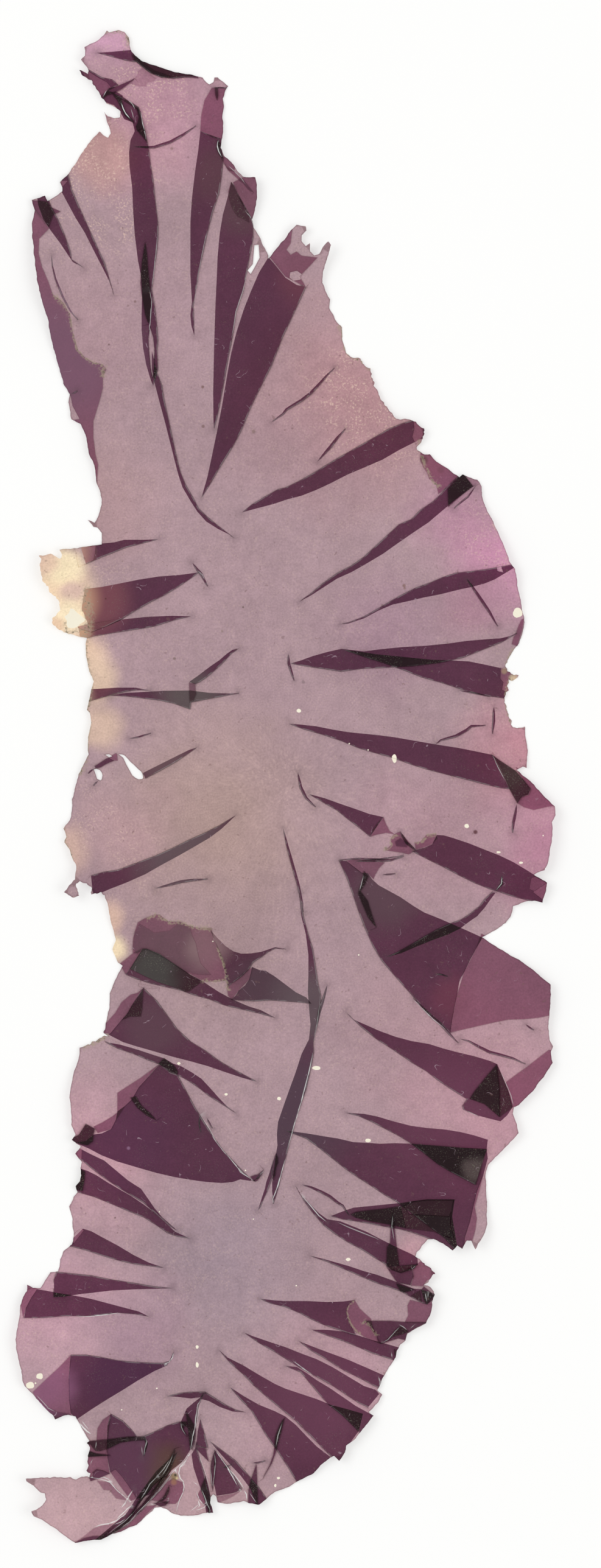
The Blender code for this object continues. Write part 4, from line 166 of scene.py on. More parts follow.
# Pleats, each a Z-fold of three plies that widens from a sharp end towards the margin
# The crisp edge is the upper fold, a clear step; the soft edge drapes over the fold beneath
pleats = {
    "tip roll": {
        "crisp": [
            (-35.9, 139.8), (-33, 139.1), (-30.3, 138.4), (-28.3, 138.1), (-26.9, 136.9), (-25.5, 135.9),
            (-23.6, 135.2), (-21.2, 135), (-19.2, 135.3), (-16.6, 135.1)],
        "soft": [(-33, 140), (-29, 140.4), (-26, 138.6), (-21, 137), (-17, 136.2)],
    },
    "tip crumple": {
        "crisp": [
            (-38.6, 137.2), (-35, 135.1), (-33, 134.7), (-31.9, 133.75), (-33.8, 132.6), (-30.3, 130.8),
            (-27.9, 129.4), (-27.4, 127.2), (-26.7, 124.9)],
        "soft": [
            (-40, 136), (-37.4, 134.3), (-35.6, 130.9), (-32.6, 129.8), (-31.5, 128.6), (-30.7, 127.2),
            (-29.1, 126.6), (-28.7, 124.9)],
    },
    "long pleat": {
        "crisp": [
            (-25.2, 76.4), (-24.3, 79.5), (-24.5, 83.1), (-24.3, 85), (-24.5, 87.7), (-24.9, 91.2),
            (-25.5, 94.8), (-25.2, 96.8), (-24.9, 99.5), (-24.5, 102.3), (-24.3, 105.1), (-24.3, 107.5),
            (-24.8, 111.4), (-25.2, 115.4), (-25.7, 118.5), (-26.1, 121.7), (-26.7, 124.9)],
        "soft": [
            (-25.7, 77.6), (-26.5, 80.3), (-27.1, 83.5), (-27.4, 87), (-27.4, 90.1), (-27.3, 94),
            (-27.5, 97.2), (-28.1, 100.3), (-28.7, 105.1), (-29, 109.4), (-29.2, 114.2), (-29.7, 118.1),
            (-29.8, 120.9), (-29.5, 123.3), (-28.7, 124.9)],
    },
    "long pleat tail": {
        "crisp": [
            (-9.7, 47.3), (-12.9, 49.7), (-15.05, 51.5), (-16.6, 53), (-17.6, 55), (-19, 57.4), (-20, 59.8),
            (-20.6, 62.1), (-21.4, 65.7), (-22.4, 70.4), (-23.2, 74), (-23.55, 76.4), (-24.3, 78.35)],
        "soft": [
            (-10.9, 48.1), (-12.9, 49.1), (-15.1, 50.5), (-16.8, 52.4), (-18.2, 54.6), (-19.6, 57),
            (-20.4, 59.4), (-21.2, 62.5), (-22, 65.7), (-22.8, 68.9), (-23.75, 72.4), (-24.8, 76.4),
            (-25.45, 79.5), (-25.45, 83.1)],
    },
    "left pleat, upper": {
        "crisp": [
            (-32.65, 93.6), (-34.4, 99.55), (-36.2, 103.5), (-38, 107.5), (-39.4, 110.6), (-40.75, 113.8),
            (-41.6, 117.4)],
        "soft": [
            (-33.6, 96.4), (-34.8, 98.8), (-36.6, 102.3), (-38.2, 105.5), (-40, 108.4), (-41.5, 111.2),
            (-43.2, 114.4)],
    },
    "left pleat, lower": {
        "crisp": [
            (-38.4, 98.8), (-40.75, 100.4), (-40.95, 101.9), (-42.1, 105.1), (-43.3, 107.9), (-44.5, 110.2),
            (-45.7, 113.2)],
        "soft": [
            (-40.5, 99.9), (-42.9, 103.5), (-44.7, 105.9), (-46.1, 108.05), (-47.1, 110.8), (-47.4, 113)],
    },
    "tall pleat": {
        "crisp": [
            (-17.35, 85.9), (-17.6, 91.6), (-17, 95.2), (-16.4, 98.8), (-15.6, 102.3), (-14.9, 105.5),
            (-13.9, 109.4), (-12.7, 113), (-12.2, 116.2), (-11.9, 119.3), (-12.5, 121.7), (-11.9, 123.3)],
        "soft": [
            (-17.9, 87.8), (-18.1, 89.8), (-17.8, 92.4), (-18.1, 97.6), (-18.1, 102.3), (-18.1, 107.5),
            (-17.8, 112.2), (-17.2, 117.3), (-16.6, 121.3), (-16.2, 124.9)],
    },
    "short tall pleat": {
        "crisp": [
            (-13.6, 68.3), (-13.1, 70), (-12.5, 73.2), (-11.7, 77.2), (-10.9, 81.9), (-10.1, 85.9),
            (-9.4, 90.5), (-8.1, 94.4), (-7.3, 98.4), (-6.75, 101.5), (-6.15, 104.7), (-6.2, 108)],
        "soft": [
            (-13.7, 69.6), (-13.75, 75.2), (-13.6, 83.1), (-13.35, 91), (-13.1, 96.4), (-12.9, 101.1),
            (-12.5, 105.5), (-11.9, 109), (-10.9, 112.6), (-10.3, 115.2)],
    },
    "broad wedge": {
        "crisp": [
            (-16, 55), (-14.5, 57.4), (-12.7, 60.55), (-10.1, 64.7), (-8.5, 67.7), (-6.55, 72.4),
            (-4.6, 76.4), (-2.6, 80.3), (-0.6, 85.5), (1.6, 90.2), (3.9, 95.2)],
        "soft": [
            (-14.85, 59), (-14.1, 62.5), (-13.1, 67.3), (-12.1, 72.4), (-11.1, 78.35), (-10.3, 82.7),
            (-9.3, 86.65), (-7.9, 91), (-6.55, 94.4), (-5, 98), (-3.2, 100.9), (-2, 99.5), (0, 97),
            (2.15, 95.6)],
    },
    "upper right pleat": {
        "crisp": [
            (-8.2, 52.25), (-6.5, 53.6), (-4.2, 55), (-1.4, 56.6), (0, 56.9), (2.7, 58.2), (5.9, 60),
            (7.9, 61.3), (10.3, 62.7), (13.8, 64.7), (17, 66.5), (19.75, 68.1), (22.1, 69.05),
            (26.6, 70.4)],
        "soft": [
            (-2, 53.9), (0.4, 54.7), (3.1, 55.4), (5.9, 56.5), (8.7, 57.8), (11.8, 59.4), (15, 60.75),
            (18.6, 62.3), (21.7, 64.1), (24.5, 65.5), (27.6, 67)],
    },
    "second right pleat": {
        "crisp": [
            (2.7, 35.2), (5.1, 36.9), (7.1, 38.6), (9.9, 40.6), (12.6, 42), (15, 43.7), (17.4, 45.9),
            (19.75, 48.1), (21.7, 49.9), (24.1, 50.9), (25.7, 52.6), (28.05, 54.2), (29.6, 55.6),
            (31.6, 57.8), (34.6, 60.6)],
        "soft": [
            (5.1, 36.5), (7.1, 37.8), (9.9, 39.6), (12.6, 40.8), (15.4, 42.4), (18.6, 44.3), (21.7, 46.5),
            (24.9, 48.7), (27.3, 50.3), (30, 52.6), (32.4, 54.6), (35.6, 57), (38.4, 59)],
    },
    "third right pleat": {
        "crisp": [
            (10.5, 30.9), (12, 31.2), (15, 32.3), (17.8, 33.9), (20.1, 35.25), (22.5, 36.6), (24.9, 37.8),
            (27.7, 38.8), (30, 39.8), (32.4, 40.6), (35.2, 40.9), (37.9, 41.25), (40.3, 41.65),
            (43.5, 42.2)],
        "soft": [
            (12, 31), (15, 32), (17.8, 33.5), (20.5, 34.65), (23.3, 35.25), (26.5, 36), (29.6, 36.6),
            (32.8, 37.4), (35.6, 38), (37.9, 38.6), (39.9, 39.4), (41.9, 40.6), (43.9, 41.8)],
    },
    "spindle": {
        "sharpEnd": True,
        "crisp": [
            (1, 23.4), (4, 22.9), (8, 22.3), (10.6, 21.9), (15, 22.5), (18, 22.6), (24, 22.9), (29.6, 23.6),
            (34, 24.6), (39, 26.6), (41.5, 27.6), (44.2, 29.2)],
        "soft": [
            (3, 24), (5.2, 24.8), (8, 25.6), (10.7, 26.2), (15, 25.7), (18, 26.1), (22, 26.5), (27, 26.8),
            (31, 27.2), (34.5, 27.7), (38, 28), (41, 28.2), (42.7, 28.6)],
    },
    "under the spindle": {
        "crisp": [
            (11.2, 26), (15, 24.7), (18.5, 23.6), (23, 22), (26, 20.8), (30, 19.7), (33, 18.7), (36, 17.8),
            (39, 17.2), (43.2, 16.6)],
        "soft": [
            (14, 25.7), (17, 25.2), (20, 24.9), (24, 24.5), (28, 24.1), (31.5, 24), (35, 23.8), (38, 23.2),
            (41.2, 22.5), (43.4, 22.2)],
    },
    "fourth right pleat": {
        "crisp": [
            (0.7, 11.9), (3.5, 10.9), (7, 9.9), (10.6, 8.7), (14, 7.3), (17, 6.4), (20, 5.6), (22, 4.9),
            (24.5, 4), (27.5, 3.1), (31, 2.2), (34.5, 1.3), (38, 0.4), (41, -0.3), (42.7, -0.5)],
        "soft": [
            (3, 11.75), (6, 11.4), (9, 10.8), (12, 10.3), (15, 10), (18, 9.7), (21, 9.3), (25, 8.6),
            (29, 7.9), (33, 7.3), (36, 6.7), (39.4, 6)],
    },
    "short right dart": {
        "crisp": [(4.5, -1.5), (7.3, -3.1), (9.9, -4.6), (12, -6.3), (14.5, -8.2), (16.2, -9.6)],
        "soft": [(7.5, -2.3), (10.3, -3.3), (13.5, -4.4), (16, -5.3), (18.7, -5.9)],
    },
    "fifth right pleat": {
        "crisp": [
            (24.2, -12.4), (27.5, -14.1), (30, -15.3), (33, -16.9), (36, -18.4), (38.5, -19.4), (41, -20.2),
            (43, -20.9), (45.3, -21.5), (49.8, -22.6)],
        "soft": [
            (26.5, -11.8), (28, -11.1), (28.9, -9.3), (30.3, -9.4), (32, -9.9), (35, -10.9), (38, -12.1),
            (40.8, -13.2), (43.5, -14.5), (46, -16), (47.4, -16.9), (50.8, -18.7)],
    },
    "great wedge": {
        "crisp": [
            (31.5, -47.1), (29.6, -45.2), (27, -43), (24.5, -40.2), (22.6, -38.1), (20.6, -35.8),
            (18.6, -33.5), (16.8, -30.6), (15.2, -27), (13.9, -23.6), (12.9, -20.6), (11.7, -17.3),
            (10.3, -14.2)],
        "soft": [
            (31.8, -44.7), (32.3, -42), (32.8, -39.6), (33.2, -37.3), (34.1, -35.5), (35.3, -33),
            (36.5, -30.8), (37.6, -28.9), (35, -27.7), (32.5, -26.6), (29.5, -25.3), (26.5, -24.1),
            (24.5, -22.9), (22, -21.2), (20, -20.1), (17.8, -18.9), (16.6, -17.8), (15.7, -16.6),
            (14.6, -16.5), (13, -15.3), (11.7, -14.3)],
    },
    "curved strip": {
        "crisp": [
            (19.3, -32.6), (21.5, -31.6), (24, -30.2), (26.7, -28.6), (29, -27.3), (31.5, -26.2),
            (33.5, -25.5), (35.2, -24.4), (37, -23), (38, -21.6), (39.5, -20.2)],
        "soft": [
            (22, -31.9), (25, -30.6), (28, -29.4), (31, -28.3), (33.3, -27.2), (35, -25.9), (36.6, -24.8),
            (38, -23.2), (39.2, -21.5), (40.1, -20.3)],
    },
    "sixth right pleat": {
        "crisp": [
            (11.7, -43.3), (14.6, -46), (17.5, -48.3), (20.5, -50.2), (24, -52.6), (27, -54.4), (29, -56),
            (31.5, -57.7), (34.7, -59.7), (33.8, -61), (34, -61.7)],
        "soft": [
            (13.2, -44.6), (15.5, -45.6), (18, -46.7), (21, -47.8), (24, -48.6), (27.5, -49.2), (30, -50),
            (33, -50.8), (36, -51.5), (39, -52.4), (40.4, -53), (41.8, -56.3), (42.6, -58.5), (43.3, -61.2),
            (42.3, -62.7), (41, -63.9), (37, -62.9)],
    },
    "seventh right pleat": {
        "crisp": [
            (11.5, -62.3), (14, -62.9), (16.5, -64), (19, -65.3), (21.5, -66.6), (24, -68.1), (26.5, -70),
            (29, -72), (31.5, -73.5), (34, -74.8), (36.2, -76)],
        "soft": [
            (15, -62.5), (17.5, -63), (20.5, -63.9), (24, -64.8), (27, -65.2), (30.5, -65.5), (33.5, -66),
            (36, -66.6), (38.6, -67.4), (38.4, -69.2), (37.4, -72)],
    },
    "eighth right pleat": {
        "crisp": [
            (0, -65.7), (4, -67.2), (6.5, -69), (9, -71), (11.5, -73), (14, -74.7), (16.5, -76.3),
            (19, -78), (21.2, -79.2), (23, -80.6), (27, -83.6), (30.5, -86.2), (33.8, -90)],
        "soft": [
            (4.5, -66.3), (8, -66.9), (10, -67.2), (13, -67.9), (15, -68), (18, -68.2), (21, -68.1),
            (24, -68.2), (28, -68.5), (33, -68.9), (38.4, -69.2), (38.6, -71), (37.8, -74), (36.5, -77.5),
            (35.9, -80), (35.2, -83), (34.2, -86), (33.9, -90)],
    },
    "ninth right pleat": {
        "crisp": [
            (8.7, -82), (11, -82.6), (13, -82.9), (16, -83.4), (19, -84), (22, -84.5), (24.5, -85.2),
            (27, -86.1), (30, -87.3), (31.9, -89.4)],
        "soft": [
            (11.5, -80.9), (13, -80.4), (16, -80.1), (19, -79.8), (22, -79.5), (24.5, -79.1), (27, -78.8),
            (32.3, -78.8), (31.8, -82), (33, -89.4)],
    },
    "tenth right pleat": {
        "crisp": [
            (1.9, -76.2), (3.6, -79.1), (5, -81), (6, -82.2), (7.4, -83.8), (9.5, -85.4), (12, -87),
            (14.5, -88.3), (17, -89.9), (19.2, -91.2), (19.4, -91.7)],
        "soft": [
            (2.7, -77.8), (4.3, -79.3), (6.5, -81.5), (8, -82.6), (10.5, -83), (13, -84), (15.5, -85),
            (18, -86.3), (20, -87.3), (22, -88.3), (24, -89.2), (25.2, -89.9), (25.3, -91.3), (22, -91.5)],
    },
    "eleventh right pleat": {
        "crisp": [
            (4.7, -89.6), (8, -90.7), (11, -92), (14, -93.3), (17, -94.6), (20, -95.6), (22.2, -96.4),
            (24, -97.4), (26.2, -98.5), (27.1, -98.7)],
        "soft": [
            (7, -90.1), (9.5, -90.8), (12, -91.5), (15, -92.5), (17.5, -93.2), (20, -94.1), (21.6, -94.7),
            (24.5, -95.8), (26, -95.9), (29.2, -97)],
    },
    "twelfth right pleat": {
        "crisp": [
            (-4.8, -97.8), (-3, -98.6), (0, -99.3), (3, -100.6), (5, -101.7), (7.5, -102.8), (10, -103.6),
            (12.7, -104.5), (13.4, -104.6)],
        "soft": [
            (-2, -98.1), (0, -98.2), (4, -98.2), (8, -98.4), (11, -98.3), (13.2, -98), (12, -99),
            (11.7, -100.3), (12.2, -102), (13, -103.8)],
    },
    "thirteenth right pleat": {
        "crisp": [
            (5, -103.7), (8, -104.8), (11, -105.8), (14, -107), (16.5, -108.1), (19, -108.9),
            (22.2, -109.9)],
        "soft": [(8, -103.7), (11, -104), (14, -104.8), (16.5, -105.6), (19, -106.3), (22.6, -107.3)],
    },
    "fourteenth right pleat": {
        "crisp": [
            (2.6, -105.9), (5, -107.7), (8, -109.4), (11, -111.3), (14, -112.8), (16.5, -114.1),
            (18.4, -115)],
        "soft": [(6, -107.2), (9, -108.3), (12, -109.4), (15, -110.7), (18.6, -112.3), (20.2, -113)],
    },
    "fifteenth right pleat": {
        "crisp": [
            (-7.8, -104.3), (-5, -106.2), (-2, -107.9), (1, -109.8), (3.5, -111.3), (6, -112.6),
            (9, -114.3), (12, -116.3), (14, -117.6), (15.8, -118.4)],
        "soft": [
            (-6, -105), (-3, -106), (0, -107), (3, -108.2), (6, -109.3), (9, -110.8), (12, -112.6),
            (15, -114.4), (17.2, -115.1), (17.9, -115.9)],
    },
    "sixteenth right pleat": {
        "crisp": [
            (0, -110.6), (3, -111.8), (4.5, -113.6), (6.5, -116), (8.4, -118), (11, -120), (14.6, -123.5)],
        "soft": [
            (2.2, -110.8), (4, -111.9), (6, -113.3), (8.5, -114.8), (11, -116.5), (13.5, -118.2),
            (17.8, -120.5)],
    },
    "seventeenth right pleat": {
        "crisp": [
            (-12.6, -107.6), (-10.5, -110), (-8, -112.2), (-6, -114.3), (-3.5, -116.5), (-0.5, -119),
            (2, -121), (4.5, -123.5), (7, -126), (10.6, -129.6)],
        "soft": [
            (-11, -109), (-8, -110.5), (-5, -112.3), (-2, -114), (0, -114.9), (3, -115.9), (6, -116.9),
            (8.5, -117.9), (12, -118.8), (14.8, -119.6), (14, -122.9), (12, -125.6), (12, -127.2)],
    },
    "eighteenth right pleat": {
        "crisp": [
            (-10.5, -114.7), (-8.5, -117), (-6.5, -119), (-5, -121.5), (-3.5, -124), (-1.5, -126.8),
            (0.5, -129.8), (3, -134)],
        "soft": [
            (-8, -116.3), (-5, -118), (-2, -119.2), (0, -120.2), (2, -121.8), (4, -123.9), (6, -125.9),
            (10.4, -129.2)],
    },
    "first left pleat": {
        "crisp": [(-24.15, 47.1), (-26.7, 46.5), (-30.3, 45.6), (-33, 44.5), (-35, 43.75), (-38, 42.4)],
        "soft": [(-27.1, 47), (-30.7, 47), (-32.65, 46.5), (-35, 46.3), (-39, 45.6)],
    },
    "second left pleat": {
        "crisp": [
            (-16.4, 40.8), (-18.4, 39.4), (-20.8, 37.8), (-23.2, 36.4), (-25.5, 35.25), (-28.3, 33.7),
            (-31.3, 31.9), (-34.2, 30.5), (-37, 29.4)],
        "soft": [
            (-20, 40.3), (-24, 40), (-27.9, 39.4), (-31.9, 38.6), (-35, 38), (-38.2, 37.6), (-38.8, 34)],
    },
    "third left pleat": {
        "crisp": [
            (-18, 32.4), (-21.2, 31.7), (-25.1, 30.5), (-28.7, 29.9), (-32.65, 29.3), (-36.2, 28.7),
            (-39, 28)],
        "soft": [(-21.6, 32.5), (-26.3, 32.3), (-30.3, 31.9), (-34.2, 31.4), (-37.4, 30.9), (-39.5, 30.4)],
    },
    "left sliver": {
        "crisp": [(-25.7, 18.25), (-28.3, 18.4), (-30.7, 18.05), (-32.65, 17.6), (-35, 16.9), (-38.2, 16)],
        "soft": [(-28.7, 18.8), (-31.9, 18.8), (-36.8, 18.5), (-38.4, 18.5)],
    },
    "left kite": {
        "sharpEnd": True,
        "crisp": [
            (-33.4, 17.3), (-30.3, 17.2), (-27.1, 16.8), (-24, 16.4), (-21.2, 15.8), (-18.2, 14.7),
            (-18, 16), (-14.5, 16.7), (-11.3, 17.3), (-8.85, 17.7)],
        "soft": [(-30.3, 17.8), (-26.3, 18), (-23.2, 18.2), (-18, 18.25), (-14.5, 17.8), (-11.3, 17.7)],
    },
    "left kite arm": {
        "crisp": [
            (-8.85, 26.3), (-10.4, 25.2), (-12.1, 23.4), (-13.6, 22), (-14.9, 20.9), (-16.2, 20),
            (-17.2, 19.5)],
        "soft": [(-10.1, 26), (-11.1, 25.3), (-12.5, 24.1), (-14.5, 22.7), (-16.6, 21.1), (-18.3, 19.9)],
    },
    "sixth left pleat": {
        "crisp": [(-16.8, 7.4), (-18.4, 6.3), (-20.8, 4.7), (-24, 2.9), (-26.7, 1.5)],
        "soft": [(-18.4, 6.9), (-20.8, 5.7), (-24, 4.1), (-27.1, 2.55)],
    },
    "seventh left pleat": {
        "crisp": [
            (-9.4, -5.55), (-12.5, -7.5), (-15.25, -8.9), (-18.4, -10.3), (-21.6, -11.9), (-24.7, -13.3),
            (-28.3, -14.65), (-31.9, -16), (-34.6, -16.4), (-37, -17.1)],
        "soft": [
            (-12.1, -8.1), (-14.5, -9.9), (-17.6, -11.7), (-20.4, -13.3), (-23.55, -15), (-26.7, -16.8),
            (-30.3, -18.4), (-33.4, -19.6), (-36.6, -21)],
    },
    "eighth left pleat": {
        "crisp": [
            (-1.9, -44.2), (-5, -43.3), (-8, -42.6), (-11.5, -41.8), (-14.5, -40.6), (-17.5, -39.8),
            (-20, -38.9), (-24, -38), (-26, -37.5), (-28.5, -36.7), (-30.4, -35.9)],
        "soft": [
            (-4.7, -42.7), (-7, -42), (-10, -40.7), (-12.6, -39.3), (-15.8, -37.2), (-18, -36), (-21, -34),
            (-24, -32), (-26.4, -31), (-27.2, -31), (-29.6, -34.8)],
    },
    "middle star": {
        "crisp": [
            (0.3, -31.1), (-1.9, -30.95), (-3.3, -31.6), (-4.6, -32.6), (-6.2, -33.6), (-7.1, -35),
            (-8.3, -36.2), (-9.4, -37), (-11, -38.2)],
        "soft": [
            (-1.9, -30.7), (-3.4, -31.2), (-4.6, -31.6), (-6.5, -31.9), (-8.4, -31.95), (-9.9, -31.5),
            (-11.4, -30.5), (-13, -28.9), (-14.3, -27.4), (-12.7, -31.5), (-11.3, -36)],
    },
    "middle leaf": {
        "crisp": [(5, -41.5), (2.6, -41.2), (0, -41), (-3, -40.8), (-6, -41), (-10.2, -40.7)],
        "soft": [
            (4, -40.3), (2, -39.3), (0, -37.8), (-2, -36.3), (-3.8, -35.2), (-4.9, -35.1), (-6.3, -34.5),
            (-6.9, -36.9), (-7.7, -38), (-8.9, -39), (-9.4, -39.9)],
    },
    "ninth left pleat": {
        "crisp": [
            (-5.4, -56.4), (-7.3, -55.4), (-9.8, -54.1), (-12.5, -52.5), (-15.4, -50.4), (-18, -48.8),
            (-20.6, -46.4), (-22.5, -43.8), (-24.5, -41), (-27.1, -38.5)],
        "soft": [
            (-8, -55.7), (-11, -54.7), (-14.8, -53.4), (-18, -52.5), (-21.5, -51.6), (-25.3, -50.5),
            (-28.5, -49.6), (-31, -48.8), (-33.9, -47.3), (-33.4, -47.2), (-31.4, -44.8), (-30, -43.2),
            (-28.8, -41)],
    },
    "tenth left pleat": {
        "crisp": [
            (-9.4, -62.4), (-11.2, -61.2), (-12.6, -60.3), (-14.5, -59.1), (-16.5, -57.5), (-18.4, -56.2),
            (-20.2, -55.2), (-21.6, -54.6), (-24, -53), (-26, -52.3), (-29, -51), (-32, -50),
            (-34.3, -48.8)],
        "soft": [
            (-11.3, -60.9), (-12.8, -59.3), (-14.4, -57.5), (-16, -55.8), (-17.8, -54.6), (-19.9, -53.4),
            (-21.4, -52.9), (-23.1, -51.9), (-25, -51.3), (-28, -50.3), (-31.5, -49.3)],
    },
    "great triangle": {
        "crisp": [
            (-4.4, -73.6), (-5.9, -75.3), (-6.8, -74.8), (-8, -73.6), (-9.8, -71.7), (-11.8, -69.6),
            (-13.5, -67.3), (-15.3, -64.5), (-17.2, -61.4), (-18.6, -58.8), (-20.6, -55.1), (-22, -54.6),
            (-23.9, -53)],
        "soft": [
            (-5.2, -74.9), (-6.7, -75.3), (-8.6, -75), (-10, -75.5), (-12, -75.7), (-15, -75.5),
            (-18, -75.1), (-21, -74.6), (-24.5, -73.8), (-28, -72.8), (-32, -71.6), (-35, -70.4),
            (-37.6, -69), (-40.2, -67.9), (-38, -67.6), (-36.5, -66.4), (-35, -66.2), (-33.2, -65.4),
            (-32.3, -63.6), (-32, -62), (-30.6, -61), (-29.3, -59.8), (-27.9, -57.4), (-25.9, -55.2)],
    },
    "twelfth left pleat": {
        "crisp": [
            (-20.6, -84.8), (-22, -83.9), (-24, -82.1), (-26, -80.3), (-27, -79.4), (-29, -78.2),
            (-31, -77), (-33, -75.7), (-35, -74.3), (-37, -72.8), (-38.6, -71.4), (-41, -70)],
        "soft": [
            (-23.5, -82.2), (-25, -80.4), (-26.3, -78.5), (-27.5, -76.8), (-30, -75.2), (-32.5, -73.1),
            (-34.5, -71.4), (-37, -70.2), (-38.9, -69.2), (-40.6, -68.8)],
    },
    "thirteenth left pleat": {
        "crisp": [
            (-18.2, -86.3), (-20.5, -85.9), (-22.5, -85.2), (-24.6, -83.7), (-27, -82.2), (-30, -81),
            (-33.5, -79.5), (-36.5, -78.3), (-41, -77)],
        "soft": [
            (-21, -85), (-22.8, -83.3), (-25, -81.3), (-27, -79.8), (-29.5, -78.1), (-31.8, -76.8),
            (-34, -75.5), (-36, -74.2), (-37.6, -73.4), (-40.4, -72.4)],
    },
    "fourteenth left pleat": {
        "crisp": [
            (-23.1, -91.9), (-26, -91.5), (-29, -91.1), (-32, -90.4), (-35, -89.5), (-38, -88.5),
            (-42, -87.5)],
        "soft": [
            (-26, -90.9), (-29, -89.4), (-32, -87.6), (-35, -86), (-37, -84.9), (-38.6, -84.4),
            (-40.2, -86), (-42, -86.6)],
    },
    "fifteenth left pleat": {
        "crisp": [
            (-21.5, -95.8), (-25, -95.5), (-29, -94.8), (-33, -94.2), (-37, -93.4), (-40, -93.1),
            (-43.6, -92.7), (-44.1, -94.2)],
        "soft": [
            (-25, -95.9), (-29, -96), (-33, -96.2), (-36.5, -96.6), (-40, -97), (-42, -97.3),
            (-44.1, -97.4)],
    },
    "sixteenth left pleat": {
        "crisp": [
            (-26, -101.2), (-28.5, -100.7), (-32, -100.4), (-35, -100.8), (-38, -101), (-42, -101),
            (-46, -101.3), (-49.7, -101.3)],
        "soft": [
            (-28, -100.2), (-31, -99.4), (-34, -98.6), (-37, -97.8), (-40, -97.2), (-43.5, -96.6),
            (-47.3, -95.9), (-48.4, -97.5), (-49.4, -99.4)],
    },
    "great dart": {
        "crisp": [
            (-21.3, -107.9), (-21.5, -108.9), (-21.9, -109.6), (-23.3, -110.1), (-25, -110.1),
            (-29, -109.9), (-32, -109.6), (-35.5, -108.9), (-38, -108.5), (-40.9, -108.5)],
        "soft": [
            (-22.5, -110.5), (-25, -111.6), (-28, -113.3), (-31, -115.2), (-34, -117), (-37, -118.9),
            (-39.8, -120.8), (-40.9, -119.6), (-41.2, -117), (-41.3, -113)],
    },
    "base upper wedge": {
        "crisp": [(-28.2, -124.2), (-29.3, -122.8), (-31, -121.1), (-33.3, -119.8)],
        "soft": [(-29.5, -124.4), (-32, -124.6), (-34, -125), (-33.9, -122)],
    },
    "base panel": {
        "crisp": [
            (-17.6, -124), (-18.5, -122.5), (-19.9, -121.2), (-22.5, -122), (-24.5, -123), (-26.8, -124),
            (-30, -124.4), (-34, -125)],
        "soft": [
            (-18.1, -126.6), (-19.5, -128.8), (-21.6, -130.4), (-23.5, -133), (-26, -135.2),
            (-29.4, -136.3), (-31.5, -133.5), (-33.4, -130.8), (-33.9, -128)],
    },
    "base strap": {
        "crisp": [
            (-20.6, -127), (-21.8, -130), (-23.4, -133), (-25.4, -135.6), (-27.6, -138.4), (-30.2, -141),
            (-33, -142.6), (-36, -145)],
        "soft": [
            (-22.4, -128.6), (-24.6, -130.6), (-26.4, -133), (-28.4, -135.8), (-30.2, -138.6), (-33, -141),
            (-37.6, -144.8)],
    },
    "base star, lower arm": {
        "crisp": [(-15.6, -115.8), (-16.7, -118.5), (-17, -121), (-17.2, -124.5), (-17.8, -126.5)],
        "soft": [
            (-16.2, -116.6), (-17.5, -117.6), (-18.8, -118.7), (-19.9, -121.2), (-18.6, -122.5),
            (-18, -125)],
    },
    "base star, left arm": {
        "crisp": [(-22.5, -116.4), (-20, -115.8), (-18, -115.6), (-15.3, -115.6)],
        "soft": [(-20.5, -116.5), (-18, -116.8), (-15.9, -116.5)],
    },
    "base star, right arm": {
        "crisp": [(-7.5, -119.5), (-9.5, -119), (-11.5, -118), (-13.5, -116.7), (-15.3, -115.6)],
        "soft": [(-10, -119.3), (-12.5, -118.4), (-14.5, -117.3), (-16.3, -116.8)],
    },
    "base spear": {
        "crisp": [(-16.2, -120.7), (-15.6, -123), (-14.8, -126.2)],
        "soft": [(-16.7, -123), (-17, -125.7)],
    },
    "base stalk": {
        "crisp": [
            (-17, -126), (-16.3, -128.5), (-15.5, -131), (-15, -133.5), (-14.2, -136), (-14.4, -139.4)],
        "soft": [(-17.9, -127.5), (-17.5, -130), (-16.5, -133), (-15.4, -136), (-15, -139.4)],
    },
    "base shard": {
        "crisp": [(-13.5, -126.6), (-12, -128.5), (-10.5, -130.5), (-9, -132.8), (-8.3, -134)],
        "soft": [(-13.6, -130), (-13.6, -133), (-13.1, -135.3), (-10, -134.8)],
    },
    "base diagonal": {
        "crisp": [(-14.4, -125), (-12, -126.8), (-9.5, -128.7), (-7, -131.5), (-5, -133.8), (-2.8, -137)],
        "soft": [(-12.5, -127.2), (-10.7, -129.2), (-8.5, -131.5), (-6.6, -134), (-5.2, -138)],
    },
    "central fold": {
        "sharpEnd": True,
        "crisp": [
            (2.6, -20.5), (3.5, -25.2), (4.4, -28.5), (5.2, -31), (5.75, -34.5), (6.2, -37.5),
            (6.75, -39.9), (6.6, -42), (6.1, -45), (5.6, -47.6), (5.3, -49), (5.4, -50.8), (5, -53),
            (4.5, -55.4), (3.9, -58), (3.1, -60.3), (2.1, -63), (1.6, -65.2), (0.9, -67.5), (0.2, -70.3),
            (-0.5, -73), (-1.2, -76), (-1.9, -78.6), (-2.3, -79.7)],
        "soft": [
            (3.1, -25), (3.9, -28.2), (4.4, -32.1), (4.4, -36.1), (4.3, -39.2), (4.5, -42), (4.8, -45.6),
            (4.5, -48.3), (3.1, -51.1), (1.95, -54.65), (0.8, -57.8), (-0.2, -60.6), (-1.4, -64.1),
            (-1.6, -66.5), (-1.5, -68.5), (-1.9, -71), (-2.2, -73.5), (-2.5, -75.6), (-2.5, -77.2)],
    },
    "central fold, left tail": {
        "crisp": [(-5.2, -80.9), (-4.7, -80.2), (-4.1, -78.6), (-3.5, -77.3), (-2.9, -75.7), (-2.5, -74.7)],
